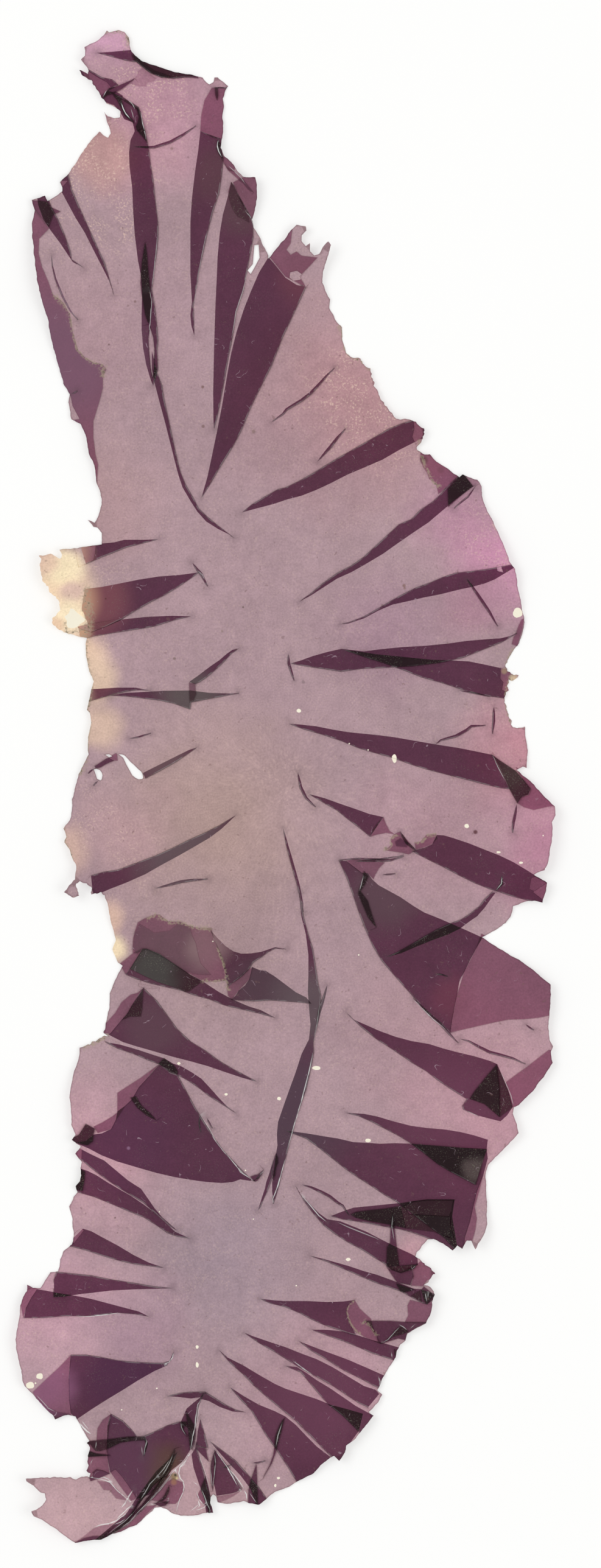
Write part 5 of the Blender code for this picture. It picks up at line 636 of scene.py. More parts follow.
        "soft": [(-4.9, -79.9), (-4.4, -78.3), (-3.9, -76.8), (-3.6, -75.4), (-3.1, -74), (-2.3, -71.3)],
    },
}
# Turned margins and double layers: the number of extra plies and a closed outline
layers = {
    "tip, turned": (0.45, [
        (-27.9, 137.6), (-26.4, 136.3), (-25.4, 135.6), (-24.6, 135), (-25.2, 134.4), (-26.2, 134.2),
        (-26.6, 133.5), (-28, 133.5), (-29.5, 134), (-29.2, 134.8), (-28.2, 135.6), (-28.1, 136.3),
        (-27.4, 136.9)]),
    "tip roll, right half": (1.2, [
        (-29, 140), (-26, 138.3), (-21, 136.9), (-17, 136.2), (-17.2, 135.4), (-20, 135.1), (-23.6, 135.2),
        (-26, 136.2), (-28.5, 138.2)]),
    "tip crumple, pale corner": (-0.7, [
        (-39, 136.8), (-37.6, 136.3), (-35.6, 135), (-34, 134.2), (-33.2, 133.2), (-34.2, 132.4),
        (-35.2, 131.6), (-36.8, 133.4), (-38, 134.9)]),
    "tip, small knot": (2, [(-13.4, 133.3), (-12.9, 133.2), (-12.8, 131.8), (-13, 130.9), (-13.3, 131.8)]),
    "tip roll, edge": (1.2, [
        (-29.3, 139.6), (-28.9, 138.4), (-27.9, 137.7), (-26.2, 136.3), (-25.4, 135.9), (-23.6, 135.2),
        (-21.2, 135), (-22.8, 135.7), (-25, 136.4), (-26.6, 137.6), (-28, 138.8)]),
    "tip crumple, wedge": (2, [
        (-34.9, 131), (-34.3, 132), (-33.6, 133), (-31.9, 133.5), (-30.3, 134.2), (-28.7, 134.9),
        (-29.9, 133.9), (-31.2, 132.9), (-32.2, 132.4), (-33, 132), (-34, 131.7)]),
    "tip crumple, band": (2, [
        (-33, 132.2), (-32.2, 132.4), (-31, 131.6), (-31.2, 130.6), (-30.9, 129.6), (-30.5, 128.6),
        (-29.6, 127.5), (-29, 126.9), (-28.9, 126.4), (-29.6, 127), (-30.6, 127.9), (-31.2, 129.2),
        (-32, 130.8), (-32.6, 131.5)]),
    "tip crumple, top": (1.5, [
        (-31.2, 131.6), (-30.2, 130.9), (-29, 130.2), (-28, 129.5), (-27.7, 128.8), (-28.4, 129.1),
        (-29.4, 129.9), (-30.6, 130.6)]),
    "tip crumple, edge": (2, [
        (-28.3, 129.2), (-27.6, 128.7), (-27.3, 127.2), (-26.9, 125.5), (-26.6, 124), (-26.4, 122.9),
        (-27.2, 123.9), (-28.2, 125), (-28.5, 125.8), (-28.1, 126.6), (-27.9, 127.6)]),
    "tall pleat, curl": (2, [
        (-12.9, 123.2), (-12.3, 122.4), (-12, 121), (-11.8, 119.6), (-12.5, 120.3), (-13.1, 121.6)]),
    "long pleat, dark": (2, [
        (-26.7, 103.7), (-27, 102), (-27.3, 100), (-27.5, 97.8), (-27.6, 96), (-27.4, 94), (-27, 91.8),
        (-26.7, 90), (-26.2, 88.6), (-26, 88.2), (-25.8, 89.6), (-25.7, 91.5), (-25.7, 93.5), (-25.8, 95.2),
        (-26, 96.8), (-26.2, 99), (-26.4, 101.5)]),
    "long pleat, gap": (-2, [
        (-25.8, 87.6), (-25.2, 85.6), (-24.9, 83), (-25, 80), (-25.3, 77.8), (-25.7, 80), (-26, 83),
        (-26.1, 85.5)]),
    "left margin, upper": (1.6, [
        (-48.6, 111), (-48.3, 111.7), (-46.9, 111.6), (-45.4, 111.4), (-44.7, 110.4), (-42.9, 109.6),
        (-44.3, 108.9), (-45.1, 106.5)]),
    "left pleat, upper, end": (-1, [(-43.3, 115.5), (-41.4, 115.5), (-42.6, 114.2), (-42.9, 113.6)]),
    "short tall pleat, dark": (0.9, [
        (-10.3, 115.1), (-10.9, 113.3), (-10.6, 111.8), (-10.2, 110.5), (-9.6, 109.4), (-9, 108.6),
        (-8.2, 108.3), (-6.9, 107.5), (-7.2, 109), (-8.1, 110.8), (-8.9, 112.4), (-9.6, 114)]),
    "short tall pleat, strip": (1, [
        (-11.6, 118.6), (-11.2, 118), (-10.5, 117.5), (-9.8, 117.2), (-8.9, 116.5), (-8.4, 115.9),
        (-7.6, 115), (-6.8, 114), (-6.1, 113.1), (-7, 113.7), (-8, 114.9), (-8.8, 115.5), (-9.3, 116),
        (-10.2, 116.8), (-10.9, 117.4)]),
    "fifth right pleat, tip": (-1, [(47.2, -20.2), (49.9, -18.4), (49.3, -21.8)]),
    "fifth right pleat, thin end": (-0.6, [
        (46.5, -19.6), (46.9, -17.5), (47.6, -17.3), (49.9, -18.4), (47.4, -20)]),
    "left margin, turned": (1, [
        (-49.4, 112), (-45, 106.3), (-46.9, 104.3), (-47, 101.5), (-46.3, 98.8), (-45.1, 96), (-44.3, 93.6),
        (-42.5, 92.2), (-41.15, 89.9), (-40.6, 86.5), (-40.2, 85.1), (-39.6, 83.1), (-38.2, 81.7),
        (-36.6, 80.7), (-35.6, 80.6), (-34.8, 80.3), (-34.2, 79.5), (-34.8, 78.35), (-34.8, 76),
        (-35.4, 73.6), (-36, 71.6), (-36.6, 69.6), (-36.6, 66.5), (-36.2, 63.3), (-35.7, 61.3), (-36, 57),
        (-38.6, 60), (-42.4, 70), (-46.6, 88), (-49.6, 104)]),
    "tall pleat, top": (1, [
        (-14, 133.2), (-15.4, 130.8), (-16, 128), (-16.2, 125), (-13.7, 123.7), (-11.4, 123.3),
        (-10.8, 127.6), (-10.6, 131.2), (-11, 133.1)]),
    "short tall pleat, top": (1, [
        (-9.9, 115.1), (-8.9, 115.6), (-8.4, 115.9), (-5.6, 116.6), (-4.8, 113), (-5.2, 109), (-6.1, 107.9),
        (-6.9, 108.7), (-8.6, 111.7)]),
    "tall pleat, foot": (1, [
        (-12.2, 119.9), (-11.8, 118.9), (-11.2, 118), (-10.9, 117.5), (-10.2, 117.3), (-9.8, 117.2),
        (-9.4, 118.4), (-11, 120.4)]),
    "broad wedge, right": (1, [
        (1.4, 106.9), (1, 103.5), (0.2, 102.3), (1, 101.3), (2.15, 101.9), (3.1, 101.1), (6.1, 100.7),
        (4.5, 99), (2.7, 97.2), (3.9, 95.2), (0, 97.2), (-2, 99.7), (-3.2, 101.2)]),
    "broad wedge, thin spot": (-1, [
        (0.9, 98), (2.2, 98.3), (3.2, 97.6), (2.9, 96.6), (1.6, 96.4), (0.8, 97)]),
    "upper right, turned": (1, [
        (25.9, 64.4), (25.7, 62.5), (26.3, 60.9), (27.1, 59.8), (27.5, 58.6), (28.8, 57.8), (29.2, 55.8),
        (31.6, 57.8), (33.2, 58.9), (31.9, 61), (28, 64.4)]),
    "first right pleat, flaking end": (-1, [
        (24.4, 69.9), (26.2, 68.4), (26.3, 66.8), (24.9, 65.2), (24.2, 66.6), (24.6, 68.2)]),
    "second right pleat, end": (2, [(31, 56.7), (31.1, 53.3), (33.5, 55.4), (35.8, 57.2), (33.9, 59.7)]),
    "second right pleat, worn end": (-1.6, [
        (33.9, 59.7), (35.8, 57.2), (38.2, 58.2), (37, 60.4), (34, 60.6)]),
    "third right pleat, torn end": (-2, [
        (40.2, 41.9), (40.4, 41), (41.6, 40.7), (41.2, 41.6), (41.5, 42.4)]),
    "spindle, end": (1, [
        (45.5, 32), (45.2, 30), (44.6, 28), (44.3, 26.7), (43.2, 27.1), (43.5, 28.3), (44, 29.1),
        (44.4, 30.4), (45, 31.7)]),
    "under the spindle, thin end": (-1, [
        (41.1, 22.6), (41, 20.5), (41.6, 19.8), (41.3, 18.4), (42.6, 17.8), (43.9, 20.5), (43.4, 22.6)]),
    "fourth right pleat, end": (3, [
        (39.4, 6), (41, 4.8), (43.9, 2.9), (45.4, 1.2), (46.7, -0.5), (46.3, -1.6), (45, -2), (44.2, -3.2),
        (42.7, -0.5), (40.8, 3.8)]),
    "right corner, turned": (1, [
        (44, 3.6), (48, 0.6), (52.4, -3.6), (50, -3.9), (47.3, -4.5), (45.5, -4), (44.2, -3.2), (45, -2),
        (46.4, -1.7), (46.7, -0.5), (45.2, 1.4)]),
    "short right dart, end": (1, [
        (18.7, -5.9), (19.1, -7), (19.9, -8.6), (20.8, -9.1), (19.2, -8.9), (17.6, -9.2), (16.2, -9.6),
        (16.9, -8.1), (17.5, -7.2)]),
    "torn flap": (1, [
        (20.7, -9.2), (21.9, -8.7), (22.9, -9.9), (24.9, -12.2), (23.5, -13), (22.4, -12.7), (21, -12.5),
        (19.1, -12.2), (20.3, -11.2), (20.1, -10.3)]),
    "torn flap, tip": (1, [(21.9, -10), (23.4, -10.8), (23.2, -11.6), (21.2, -11.4), (21, -10.6)]),
    "fifth right pleat, torn": (1, [
        (24.9, -12.1), (24.7, -10.8), (25.8, -10.7), (26.9, -9.4), (28.7, -9.2), (28.9, -9.9),
        (27.9, -11.1), (26.7, -11.6)]),
    "great wedge, turned": (1, [
        (31.5, -47), (33, -46.6), (36.5, -45.8), (40, -45), (42.5, -44.5), (45.5, -44.4), (48.3, -44.1),
        (51.6, -43.4), (52, -37.4), (44, -31), (37.4, -28.2), (36.5, -30.8), (34.1, -35.5), (32.8, -39.6),
        (31.8, -44.7)]),
    "great wedge, top edge": (1, [
        (11.7, -14.2), (13.6, -13.9), (18.9, -14.6), (17.9, -15.6), (17.2, -16.8), (16.8, -17.7),
        (15.6, -16.5), (15, -16.8), (13.8, -16), (12.8, -15.2)]),
    "great wedge, dark leaf": (2, [
        (15, -16.2), (15.8, -17.2), (15.2, -18.6), (14.3, -20), (15.7, -21.9), (16.5, -24.5), (17.3, -26.9),
        (15.8, -25), (14.6, -22.2), (13.9, -20.4), (14.7, -18.2)]),
    "sixth right pleat, end": (2, [
        (40.3, -53.1), (38, -55.8), (36, -58.3), (35.2, -59.6), (38, -60.6), (40.8, -63), (40.8, -58)]),
    "sixth right pleat, far side": (1, [
        (40.3, -53.1), (40.8, -58), (40.8, -63), (43.3, -61.2), (42.6, -58.5), (41.8, -56.3)]),
    "lower right, turned": (1, [
        (41.9, -56.6), (44, -55), (46, -53.6), (48.5, -51.6), (50.2, -50.3), (52, -50.5), (52, -54),
        (47, -59.9), (43.3, -61.2), (42.6, -58.5)]),
    "seventh right pleat, overlap": (1.5, [
        (24, -68.2), (28, -68.5), (33, -68.9), (38.4, -69.3), (37.4, -72.3), (36.3, -76), (34, -74.8),
        (31.5, -73.5), (29, -72), (26.5, -70)]),
    "eighth right pleat, turned": (1, [
        (37.8, -74), (36.5, -77.5), (35.9, -80), (35.2, -83), (34.2, -86), (33.9, -89), (35.3, -87.6),
        (36.2, -84.6), (36.5, -82.4), (36.1, -80.2), (37, -77)]),
    "ninth right pleat, overlap": (2, [
        (12.5, -81.7), (13.5, -81.2), (16, -80.9), (19, -80.6), (22, -80.1), (24.5, -79.2), (27, -78.9),
        (32.1, -78.9), (31.6, -81), (31.3, -83.5), (32, -86), (30, -85.6), (28.2, -84.9), (23, -84.3),
        (20, -83.6), (16, -82.9), (13.5, -82.3)]),
    "ninth right pleat, upper part": (-1.4, [
        (22.6, -80.1), (24.5, -79.3), (27, -79), (32, -79), (31.6, -81), (31.2, -82), (23.7, -81.6)]),
    "ninth right pleat, thinner part": (-1, [
        (22, -80.1), (24.5, -79.2), (27, -78.9), (32.1, -78.9), (31.6, -81), (31.3, -86), (28.2, -84.9),
        (23, -84.3)]),
    "tenth right pleat, band": (2, [
        (20.5, -81.6), (20.1, -84), (20, -87), (19.4, -88), (19.3, -91.5), (21.7, -91.4), (21.3, -88.5),
        (20.9, -85), (20.8, -83.8)]),
    "tenth right pleat, end": (3, [
        (19.5, -91.7), (22, -91.5), (25.1, -91.2), (24.5, -92), (22, -92.8), (20.3, -92.2)]),
    "tenth right pleat, flap": (2, [
        (19.4, -91.8), (20.3, -93.2), (21.3, -94.6), (23.8, -95.1), (24.4, -93.5), (24.2, -91.8),
        (22, -92.8), (20.3, -92.2)]),
    "tenth right pleat, turned": (1, [
        (24.3, -91.4), (25.3, -91), (26.1, -90.4), (29.6, -93), (27, -94.2), (26.2, -95.3), (24, -95.2),
        (24.4, -93.5)]),
    "eleventh right pleat, knot": (2, [
        (25.9, -96), (26.4, -95.4), (27.3, -96.1), (28.5, -97), (27.6, -97.9), (26.9, -98.7), (26.5, -98),
        (26.2, -97)]),
    "eleventh right pleat, dark": (2, [(21.2, -94.9), (22, -96.4), (22.6, -96.5), (24.6, -96)]),
    "eleventh right pleat, edge": (1, [(24, -97.2), (25, -96.5), (25.6, -96.2), (26, -98.3)]),
    "eleventh right pleat, turned": (1, [
        (23.8, -98), (26.5, -98.6), (29, -98), (29, -100), (27.6, -102.3), (22.8, -102.2), (23.4, -101),
        (23.3, -99)]),
    "twelfth right pleat, end": (1, [
        (13.2, -98), (14.2, -99.7), (15.5, -100.9), (16.3, -101.6), (16.6, -103), (17.3, -104.7),
        (18.1, -106.3), (15, -105), (13, -103.8), (12.2, -102), (11.7, -100.3), (12, -99)]),
    "twelfth right pleat, knot": (2.1, [
        (15.3, -102), (20, -102), (23, -102.2), (27, -102.2), (25.4, -103), (23.2, -104.3), (22.9, -105.6),
        (21.5, -105.3), (20.6, -105.6), (19.6, -105.9), (18.3, -106.3), (17.8, -106), (17.4, -104.8),
        (16.8, -104), (16.2, -103)]),
    "twelfth right pleat, leaf": (1.5, [
        (22, -102.9), (23.4, -103.9), (22.9, -104.2), (22, -104.5), (20.6, -104.9), (19.6, -105.6),
        (18.8, -106), (20, -105), (21, -103.7)]),
    "thirteenth right pleat, dark": (1.5, [(20.8, -107.4), (21.1, -107.9), (21.4, -108.8), (20.9, -108.5)]),
    "second left pleat, worn overlap": (-1.2, [
        (-31, 31.9), (-34.2, 31.4), (-37.4, 30.9), (-39.5, 30.4), (-38.8, 29.9), (-37, 29.4),
        (-34.2, 30.5)]),
    "torn sheet": (1, [
        (-28.1, -26), (-26.9, -25.3), (-24.8, -24.5), (-23.9, -24.6), (-22.4, -25.9), (-20.1, -25.9),
        (-18.1, -26.8), (-16.6, -27.1), (-14.1, -27.1), (-13.7, -29.2), (-12.6, -31.4), (-11.8, -33.4),
        (-11.1, -37), (-13, -37.2), (-15.6, -37.2), (-19, -35.4), (-23, -32.7), (-26.4, -31), (-27.2, -31),
        (-28.2, -31.8), (-29.1, -31.8), (-29.1, -30.6), (-29, -29), (-28.6, -27.4)]),
    "torn sheet, upper": (0.6, [
        (-25, -28), (-22, -27.6), (-20.1, -25.9), (-18.2, -26.9), (-17.8, -28.5), (-17.1, -30),
        (-16.7, -32), (-16.2, -33.8), (-14.2, -36), (-16.5, -35.9), (-19, -35.4), (-23, -32.7),
        (-26.4, -31), (-28.2, -31.8), (-29.1, -31), (-28.8, -28.2), (-27.8, -26.3)]),
    "eighth left pleat, overlap": (1.2, [
        (-29.6, -34.8), (-27.2, -31), (-26.4, -31), (-24, -32), (-21, -34), (-18.8, -35.5), (-16, -37.3),
        (-18.4, -39.1), (-19.2, -39.2), (-20.5, -38.6), (-24.4, -37.3), (-27, -36.1)]),
    "eighth left pleat, turned": (1, [
        (-31.7, -34), (-30.3, -32.9), (-29.1, -31.9), (-27.2, -31), (-29.6, -34.8), (-30.4, -35.9),
        (-31.2, -34.6)]),
    "middle leaf, side": (1, [
        (-11.1, -38.5), (-9.4, -37), (-7.1, -35), (-6.3, -34.6), (-6.9, -36.9), (-8.9, -39), (-10.2, -40.7),
        (-10.9, -40)]),
    "ninth left pleat, turned": (1, [
        (-35.6, -47), (-33.9, -44.9), (-32.4, -43.2), (-31.2, -41.2), (-29.5, -39.8), (-28.1, -39.4),
        (-27.1, -38.5), (-28.8, -41), (-30, -43.2), (-31.4, -44.8), (-33.4, -47.2)]),
    "ninth left pleat, dark": (1.3, [
        (-27.1, -38.6), (-28.2, -40.3), (-29.4, -42), (-30.3, -43.6), (-31.2, -44.6), (-29.6, -43.9),
        (-27.6, -43.9), (-27.3, -42.5)]),
    "tenth left pleat, knot": (2, [
        (-23.1, -51.9), (-24.1, -52.9), (-21.8, -54.5), (-20.6, -55), (-20.5, -54.4), (-21.2, -53.3)]),
    "great triangle, turned": (1, [
        (-35.7, -66.1), (-36.5, -64.9), (-35, -64.2), (-33, -63), (-32, -62.2), (-32, -58.5), (-30, -57.2),
        (-27.5, -55.6), (-24, -53), (-27.9, -57.4), (-29.3, -59.8), (-30.6, -61), (-32.3, -63.6),
        (-33.2, -65.4)]),
    "great triangle, dark": (2, [
        (-29.5, -59.4), (-28.5, -59.2), (-27.4, -61), (-26, -62.2), (-24.6, -63.7), (-26.5, -62.7),
        (-28.2, -61.3)]),
    "great triangle, corner": (3, [
        (-38, -64.4), (-36.3, -65.3), (-36.6, -66.5), (-36.7, -67.7), (-37.7, -68.4), (-38.8, -68.2),
        (-41.2, -67.4), (-39.3, -66.4)]),
    "great triangle, hook": (2, [
        (-6.6, -74.5), (-5.9, -74.2), (-5.3, -74.1), (-4.7, -73.7), (-4.2, -73.2), (-4.5, -74),
        (-4.9, -74.7), (-5.3, -75.2), (-5.7, -75.4), (-6.1, -75.3)]),
    "central fold, core": (2, [
        (-1.8, -70), (-1.45, -70.8), (-1.4, -71.9), (-1.8, -72.8), (-2, -74.3), (-2.3, -74.8), (-2.5, -74),
        (-2.4, -72.8), (-2.3, -71.6), (-2, -70.6)]),
    "thirteenth left pleat, end": (2, [
        (-39.6, -72.7), (-38.2, -73.5), (-38.3, -75), (-38.7, -77.2), (-41, -76.6), (-40, -75)]),
    "sixteenth left pleat, turned": (1, [
        (-49.9, -94.5), (-47.3, -95.9), (-48.4, -97.5), (-49.4, -99.4), (-49.9, -101.3), (-50.6, -98)]),
    "fifteenth left pleat, overlap": (0.8, [(-44.1, -97.4), (-44, -96.7), (-41, -97), (-42, -97.3)]),
    "great dart, lower margin": (1.1, [
        (-47.6, -116.6), (-45.6, -118.4), (-43.4, -119.4), (-41.2, -119.8), (-41, -120.8), (-44, -121.8),
        (-46, -119.4)]),
    "left margin, bare corner": (-1, [
        (-41.4, 74.8), (-40.9, 74.4), (-40.6, 72.6), (-39.2, 70), (-41, 69.8), (-42, 72)]),
    "gap above the ninth left pleat": (-1.6, [
        (-28, -37.7), (-26, -38.1), (-24, -38.45), (-26, -38.55), (-27.9, -38.2)]),
    "twelfth left pleat, thin end": (-1, [
        (-38.75, -69.2), (-38.85, -71.6), (-41.2, -69.8), (-40.6, -68.8)]),
    "fourteenth left pleat, thin end": (-1, [
        (-38.9, -84.4), (-38.4, -84.7), (-39.4, -86), (-40.4, -87.3), (-40.6, -86), (-39.8, -84.9)]),
    "first left pleat, thin end": (-1, [
        (-36.1, 46.2), (-36.3, 44.4), (-36.6, 43.1), (-39.4, 41.8), (-40.2, 45.9)]),
    "left kite, flap": (1, [
        (-18.35, 19.7), (-17.2, 19.6), (-17.1, 18.3), (-17, 17.6), (-17.3, 16.9), (-17.6, 16.3),
        (-18.2, 16), (-18.3, 18)]),
    "pleat between the slits": (2, [
        (-36.3, 3.8), (-35.4, 4.4), (-34.2, 5.2), (-33.4, 5.5), (-32.9, 5.9), (-32.3, 6.25), (-32.1, 6.1),
        (-32, 4.9), (-32.6, 4.9), (-33.3, 4.6), (-34.2, 4.2), (-35.2, 3.6), (-36.1, 3.4)]),
    "pleat between the slits, thin end": (-1, [
        (-33.6, 5.4), (-32.9, 5.9), (-32.3, 6.25), (-32.1, 6.1), (-32, 4.9), (-32.6, 4.9), (-33, 5)]),
    "great dart, turned": (1, [
        (-40.9, -108.5), (-43, -110.7), (-45.5, -113), (-48.1, -115.5), (-46.6, -118.4), (-44, -121.8),
        (-40.2, -121.2), (-40.9, -119.6), (-41.2, -117), (-41.3, -113)]),
    "base, dark strip": (2, [
        (-38.2, -125.5), (-37.3, -124.9), (-34, -124.6), (-30, -124.1), (-26.9, -124.1), (-26.5, -124.7),
        (-29, -124.8), (-31.5, -125.2), (-33.5, -126.2), (-35.4, -126.8), (-36.2, -126.7),
        (-37.2, -125.5)]),
    "base, small dark strip": (3, [
        (-38.4, -126.7), (-37.2, -126.9), (-36, -127.3), (-33.4, -127.6), (-36, -127.8), (-38.4, -127.9)]),
    "base, left side": (1, [
        (-33.3, -119.8), (-34.8, -120.9), (-35.8, -122.5), (-36, -124.8), (-38.6, -125.2), (-38.4, -131),
        (-37, -131.8), (-36.7, -130.9), (-36, -130.3), (-34.9, -130.5), (-33.5, -131.1), (-33.9, -128),
        (-34, -125)]),
    "base, small patch": (2, [
        (-37.4, -131.8), (-36.7, -131.6), (-36.7, -130.9), (-36, -130.3), (-34.9, -130.5), (-33.5, -131.1),
        (-35.6, -132), (-37.1, -132.5)]),
    "base panel, worn corner": (-1, [
        (-33.4, -131), (-32.4, -130.3), (-31, -131.9), (-29.4, -134.2), (-28.3, -136), (-29.4, -136.3),
        (-31.5, -133.5)]),
    "base, under flap": (0.8, [
        (-35.8, -132.5), (-34.6, -134.2), (-33.5, -134.3), (-32.2, -135.9), (-30.3, -136.2),
        (-31.9, -134.4), (-33.4, -132.8)]),
    "base strap, dark": (2.5, [
        (-21, -126.4), (-22.2, -128.6), (-24, -130.6), (-25.8, -133), (-27.6, -135.6), (-28.9, -138),
        (-30.2, -139.8), (-32.2, -141.6), (-34.6, -143.4), (-32, -142), (-29.8, -140.2), (-28.8, -138.5),
        (-27.6, -136.6), (-26.4, -134.8), (-24.9, -132.9), (-23.3, -131.6), (-22.2, -129.8),
        (-21.5, -128.2)]),
    "base strap, light streak": (-2, [
        (-23.6, -132), (-25.2, -133.5), (-26.5, -135.3), (-28, -136.9), (-29.1, -138.7), (-27.4, -137.2),
        (-25.8, -135.2), (-24.4, -133.4)]),
    "base strap, brown side": (1.4, [
        (-21.7, -131.2), (-23.2, -131.8), (-24.6, -133.5), (-26, -135.3), (-27.6, -137.2), (-29, -139.2),
        (-27.6, -138.1), (-25.5, -136.1), (-23.8, -134.3), (-22.5, -132.5)]),
    "base, by the holdfast": (1, [
        (-21.4, -132), (-19.6, -132.8), (-19.3, -134), (-20, -136), (-21, -136.9), (-22.5, -136.9),
        (-24.4, -136.3), (-25.8, -136.2), (-23.9, -134.4), (-22.5, -132.7)]),
    "base, leaf": (2.5, [
        (-22.1, -133.4), (-22.2, -134.6), (-22.8, -135.8), (-23.4, -136.3), (-24.6, -136.7), (-23.6, -136),
        (-23, -135.2)]),
    "base, claw": (2.5, [
        (-22.2, -136.4), (-23.4, -136.6), (-25.1, -136.8), (-23.8, -137.4), (-22.8, -137.2)]),
    "base strap, second ridge": (1, [
        (-24.6, -137.2), (-26.4, -137.4), (-28.2, -139.2), (-30, -141), (-33.6, -143.2), (-30.8, -142),
        (-28.2, -140.8), (-26.2, -138.6)]),
    "base lobe, edge": (0.7, [
        (-40.2, -144.2), (-38.6, -143.2), (-36.6, -141.6), (-34.5, -140.9), (-32.2, -140.7),
        (-33.2, -141.8), (-35.2, -143.6)]),
    "base lobe, dark edge": (1.5, [
        (-40.2, -144.3), (-38.4, -143.4), (-36.6, -143), (-35, -143), (-33.6, -142), (-35.2, -143.9),
        (-38, -144)]),
    "base lobe, corner": (1, [(-49.2, -137.4), (-48.5, -137.6), (-48, -138.8), (-48.6, -139.6)]),
    "base star, dark": (2, [
        (-18.9, -119.2), (-18.2, -120.5), (-17.4, -121.8), (-17.3, -124), (-17.9, -125.9), (-18.1, -126.5),
        (-18.4, -124), (-18.5, -122), (-18.8, -120.5)]),
    "base star, fork": (2, [
        (-20, -121.2), (-18.9, -121.2), (-18.6, -122.2), (-19.2, -121.9), (-19.5, -122.7), (-18.8, -124),
        (-19.8, -122.6)]),
    "base, cross band": (2, [
        (-17, -125.2), (-16.8, -126), (-15.2, -126.3), (-14.9, -127.8), (-14.6, -128.8), (-16.2, -127.2),
        (-17.1, -126.2)]),
    "base, dark stalk": (2, [
        (-15.2, -131.6), (-14.8, -133), (-14.3, -135.3), (-14, -137), (-13.6, -139.4), (-14.4, -139.4),
        (-15, -136.9), (-16.1, -134.2), (-16, -133.6)]),
    "base, dark blade": (2.5, [
        (-13.5, -126.9), (-13.3, -128.4), (-13.4, -130), (-13.6, -132), (-13.9, -134.4), (-14.1, -132.4),
        (-14.3, -130.4), (-14.1, -128.8)]),
    "base, small flap": (1, [
        (-16.2, -134.2), (-16.8, -135.4), (-16, -136.4), (-15.2, -137.2), (-15.4, -136)]),
    "base shard, lower edge": (0.7, [
        (-13.1, -135.4), (-10, -134.9), (-8.4, -134.3), (-10, -135.4), (-13, -136.8)]),
    "base, last leaf": (2, [
        (-5.5, -129.3), (-5.4, -132), (-5.3, -134.5), (-5.2, -138), (-7.1, -138), (-7, -134.2),
        (-6.6, -132.4)]),
    "eighteenth right pleat, ridge": (2, [
        (-0.2, -120.5), (-0.9, -121.5), (-1.6, -123.2), (-1.9, -124.2), (-2.1, -126.2), (-2.3, -127.6),
        (-3, -129.6), (-4.3, -132), (-2.6, -129.2), (-1.8, -127), (-1.3, -124.8), (-0.7, -122.8)]),
}
# Narrow creases, pinched up along a line that dies out at both ends
creases = [
    [(-28.9, 122), (-26.5, 121.9), (-25, 121.95), (-22, 122.9), (-19.5, 124.3), (-17, 126)],
    [(-0.4, -8), (0.4, -11.3), (1.6, -15.6), (2.5, -18.8), (3.3, -22.4), (3.4, -24)],
    [(2.4, 2.6), (3, -0.2), (4, -2.2), (5.8, -4)],
    [(0.6, 25.2), (0.7, 23.4), (1.7, 20.1)],
    [(39.8, 15.2), (39.8, 12.5), (39.5, 10)],
    [(28.7, 8), (29.6, 8.8), (32.5, 9.6), (34.5, 10.7), (35.5, 11.5), (38.2, 11.6)],
    [(-24.8, -19.5), (-20, -18.2), (-18, -17.9), (-14.8, -17.7)],
    [(44.1, -3.5), (43.9, -5), (43.5, -7), (43.3, -8.9)],
    [(13.4, -14.3), (17, -14.1), (20, -14.1), (22.6, -13.4)],
    [(21.9, -8.7), (23.2, -10.8), (25, -12.3)],
    [(33.3, -48.2), (35, -48.6), (37, -49.7), (39, -50.7), (41, -51.2), (43.5, -51.9), (45.8, -53)],
    [(24.5, -40.5), (26, -42), (28, -44), (29.6, -45.3), (31.5, -47.4), (33, -49)],
    [(8, -38), (7.4, -40.3), (6.5, -43.2), (6, -46)],
    [(3.2, -76), (5, -76.5), (7, -77.4), (8.5, -78.2), (10, -79.4), (11, -80), (12.2, -81.9)],
    [(41.3, -17), (41.3, -18.6), (40.2, -19.9)],
    [(-26.9, -124), (-26.4, -125.4), (-27, -127.8)],
    [(34.5, 39.7), (36.7, 36.6), (39, 33.2), (40.5, 30.5)],
    [
        (-2.7, 69.4), (-1.5, 70.3), (-0.5, 71), (0.2, 71.9), (1.5, 72.7), (3, 73.6), (4.8, 75), (6.5, 76.8),
        (8, 78.5), (9.4, 79.8)],
    [(6.1, 61.9), (7.2, 63.2), (8.6, 64.8), (10, 66.6), (11.5, 68.2)],
    [(-17.7, 42.6), (-16.8, 41.4), (-16.1, 40.6), (-15.5, 39.5), (-14.8, 38.1)],
]
# Places where the dried sheet lifts off what it lies on: middle, reach and height
lifts = [
    (-41, 139, 20, 1.6), (-49, 97, 20, 2.6), (-4, 117, 16, 2), (10, 104, 14, 2.4), (26, 76, 18, 1.6),
    (47, 46, 20, 2.2), (53, -10, 22, 2.8), (54, -42, 20, 2), (50, -66, 18, 2.4), (38, -92, 17, 2.8),
    (31, -104, 15, 1.8), (18, -128, 18, 2.2), (-8, -142, 15, 1.8), (-50, -138, 20, 3), (-56, -108, 22, 2.4),
    (-46, -62, 20, 2), (-44, -20, 18, 2.6), (-46, 12, 18, 1.6), (-50, 38, 18, 2.8), (-42, 62, 16, 1.2),
]
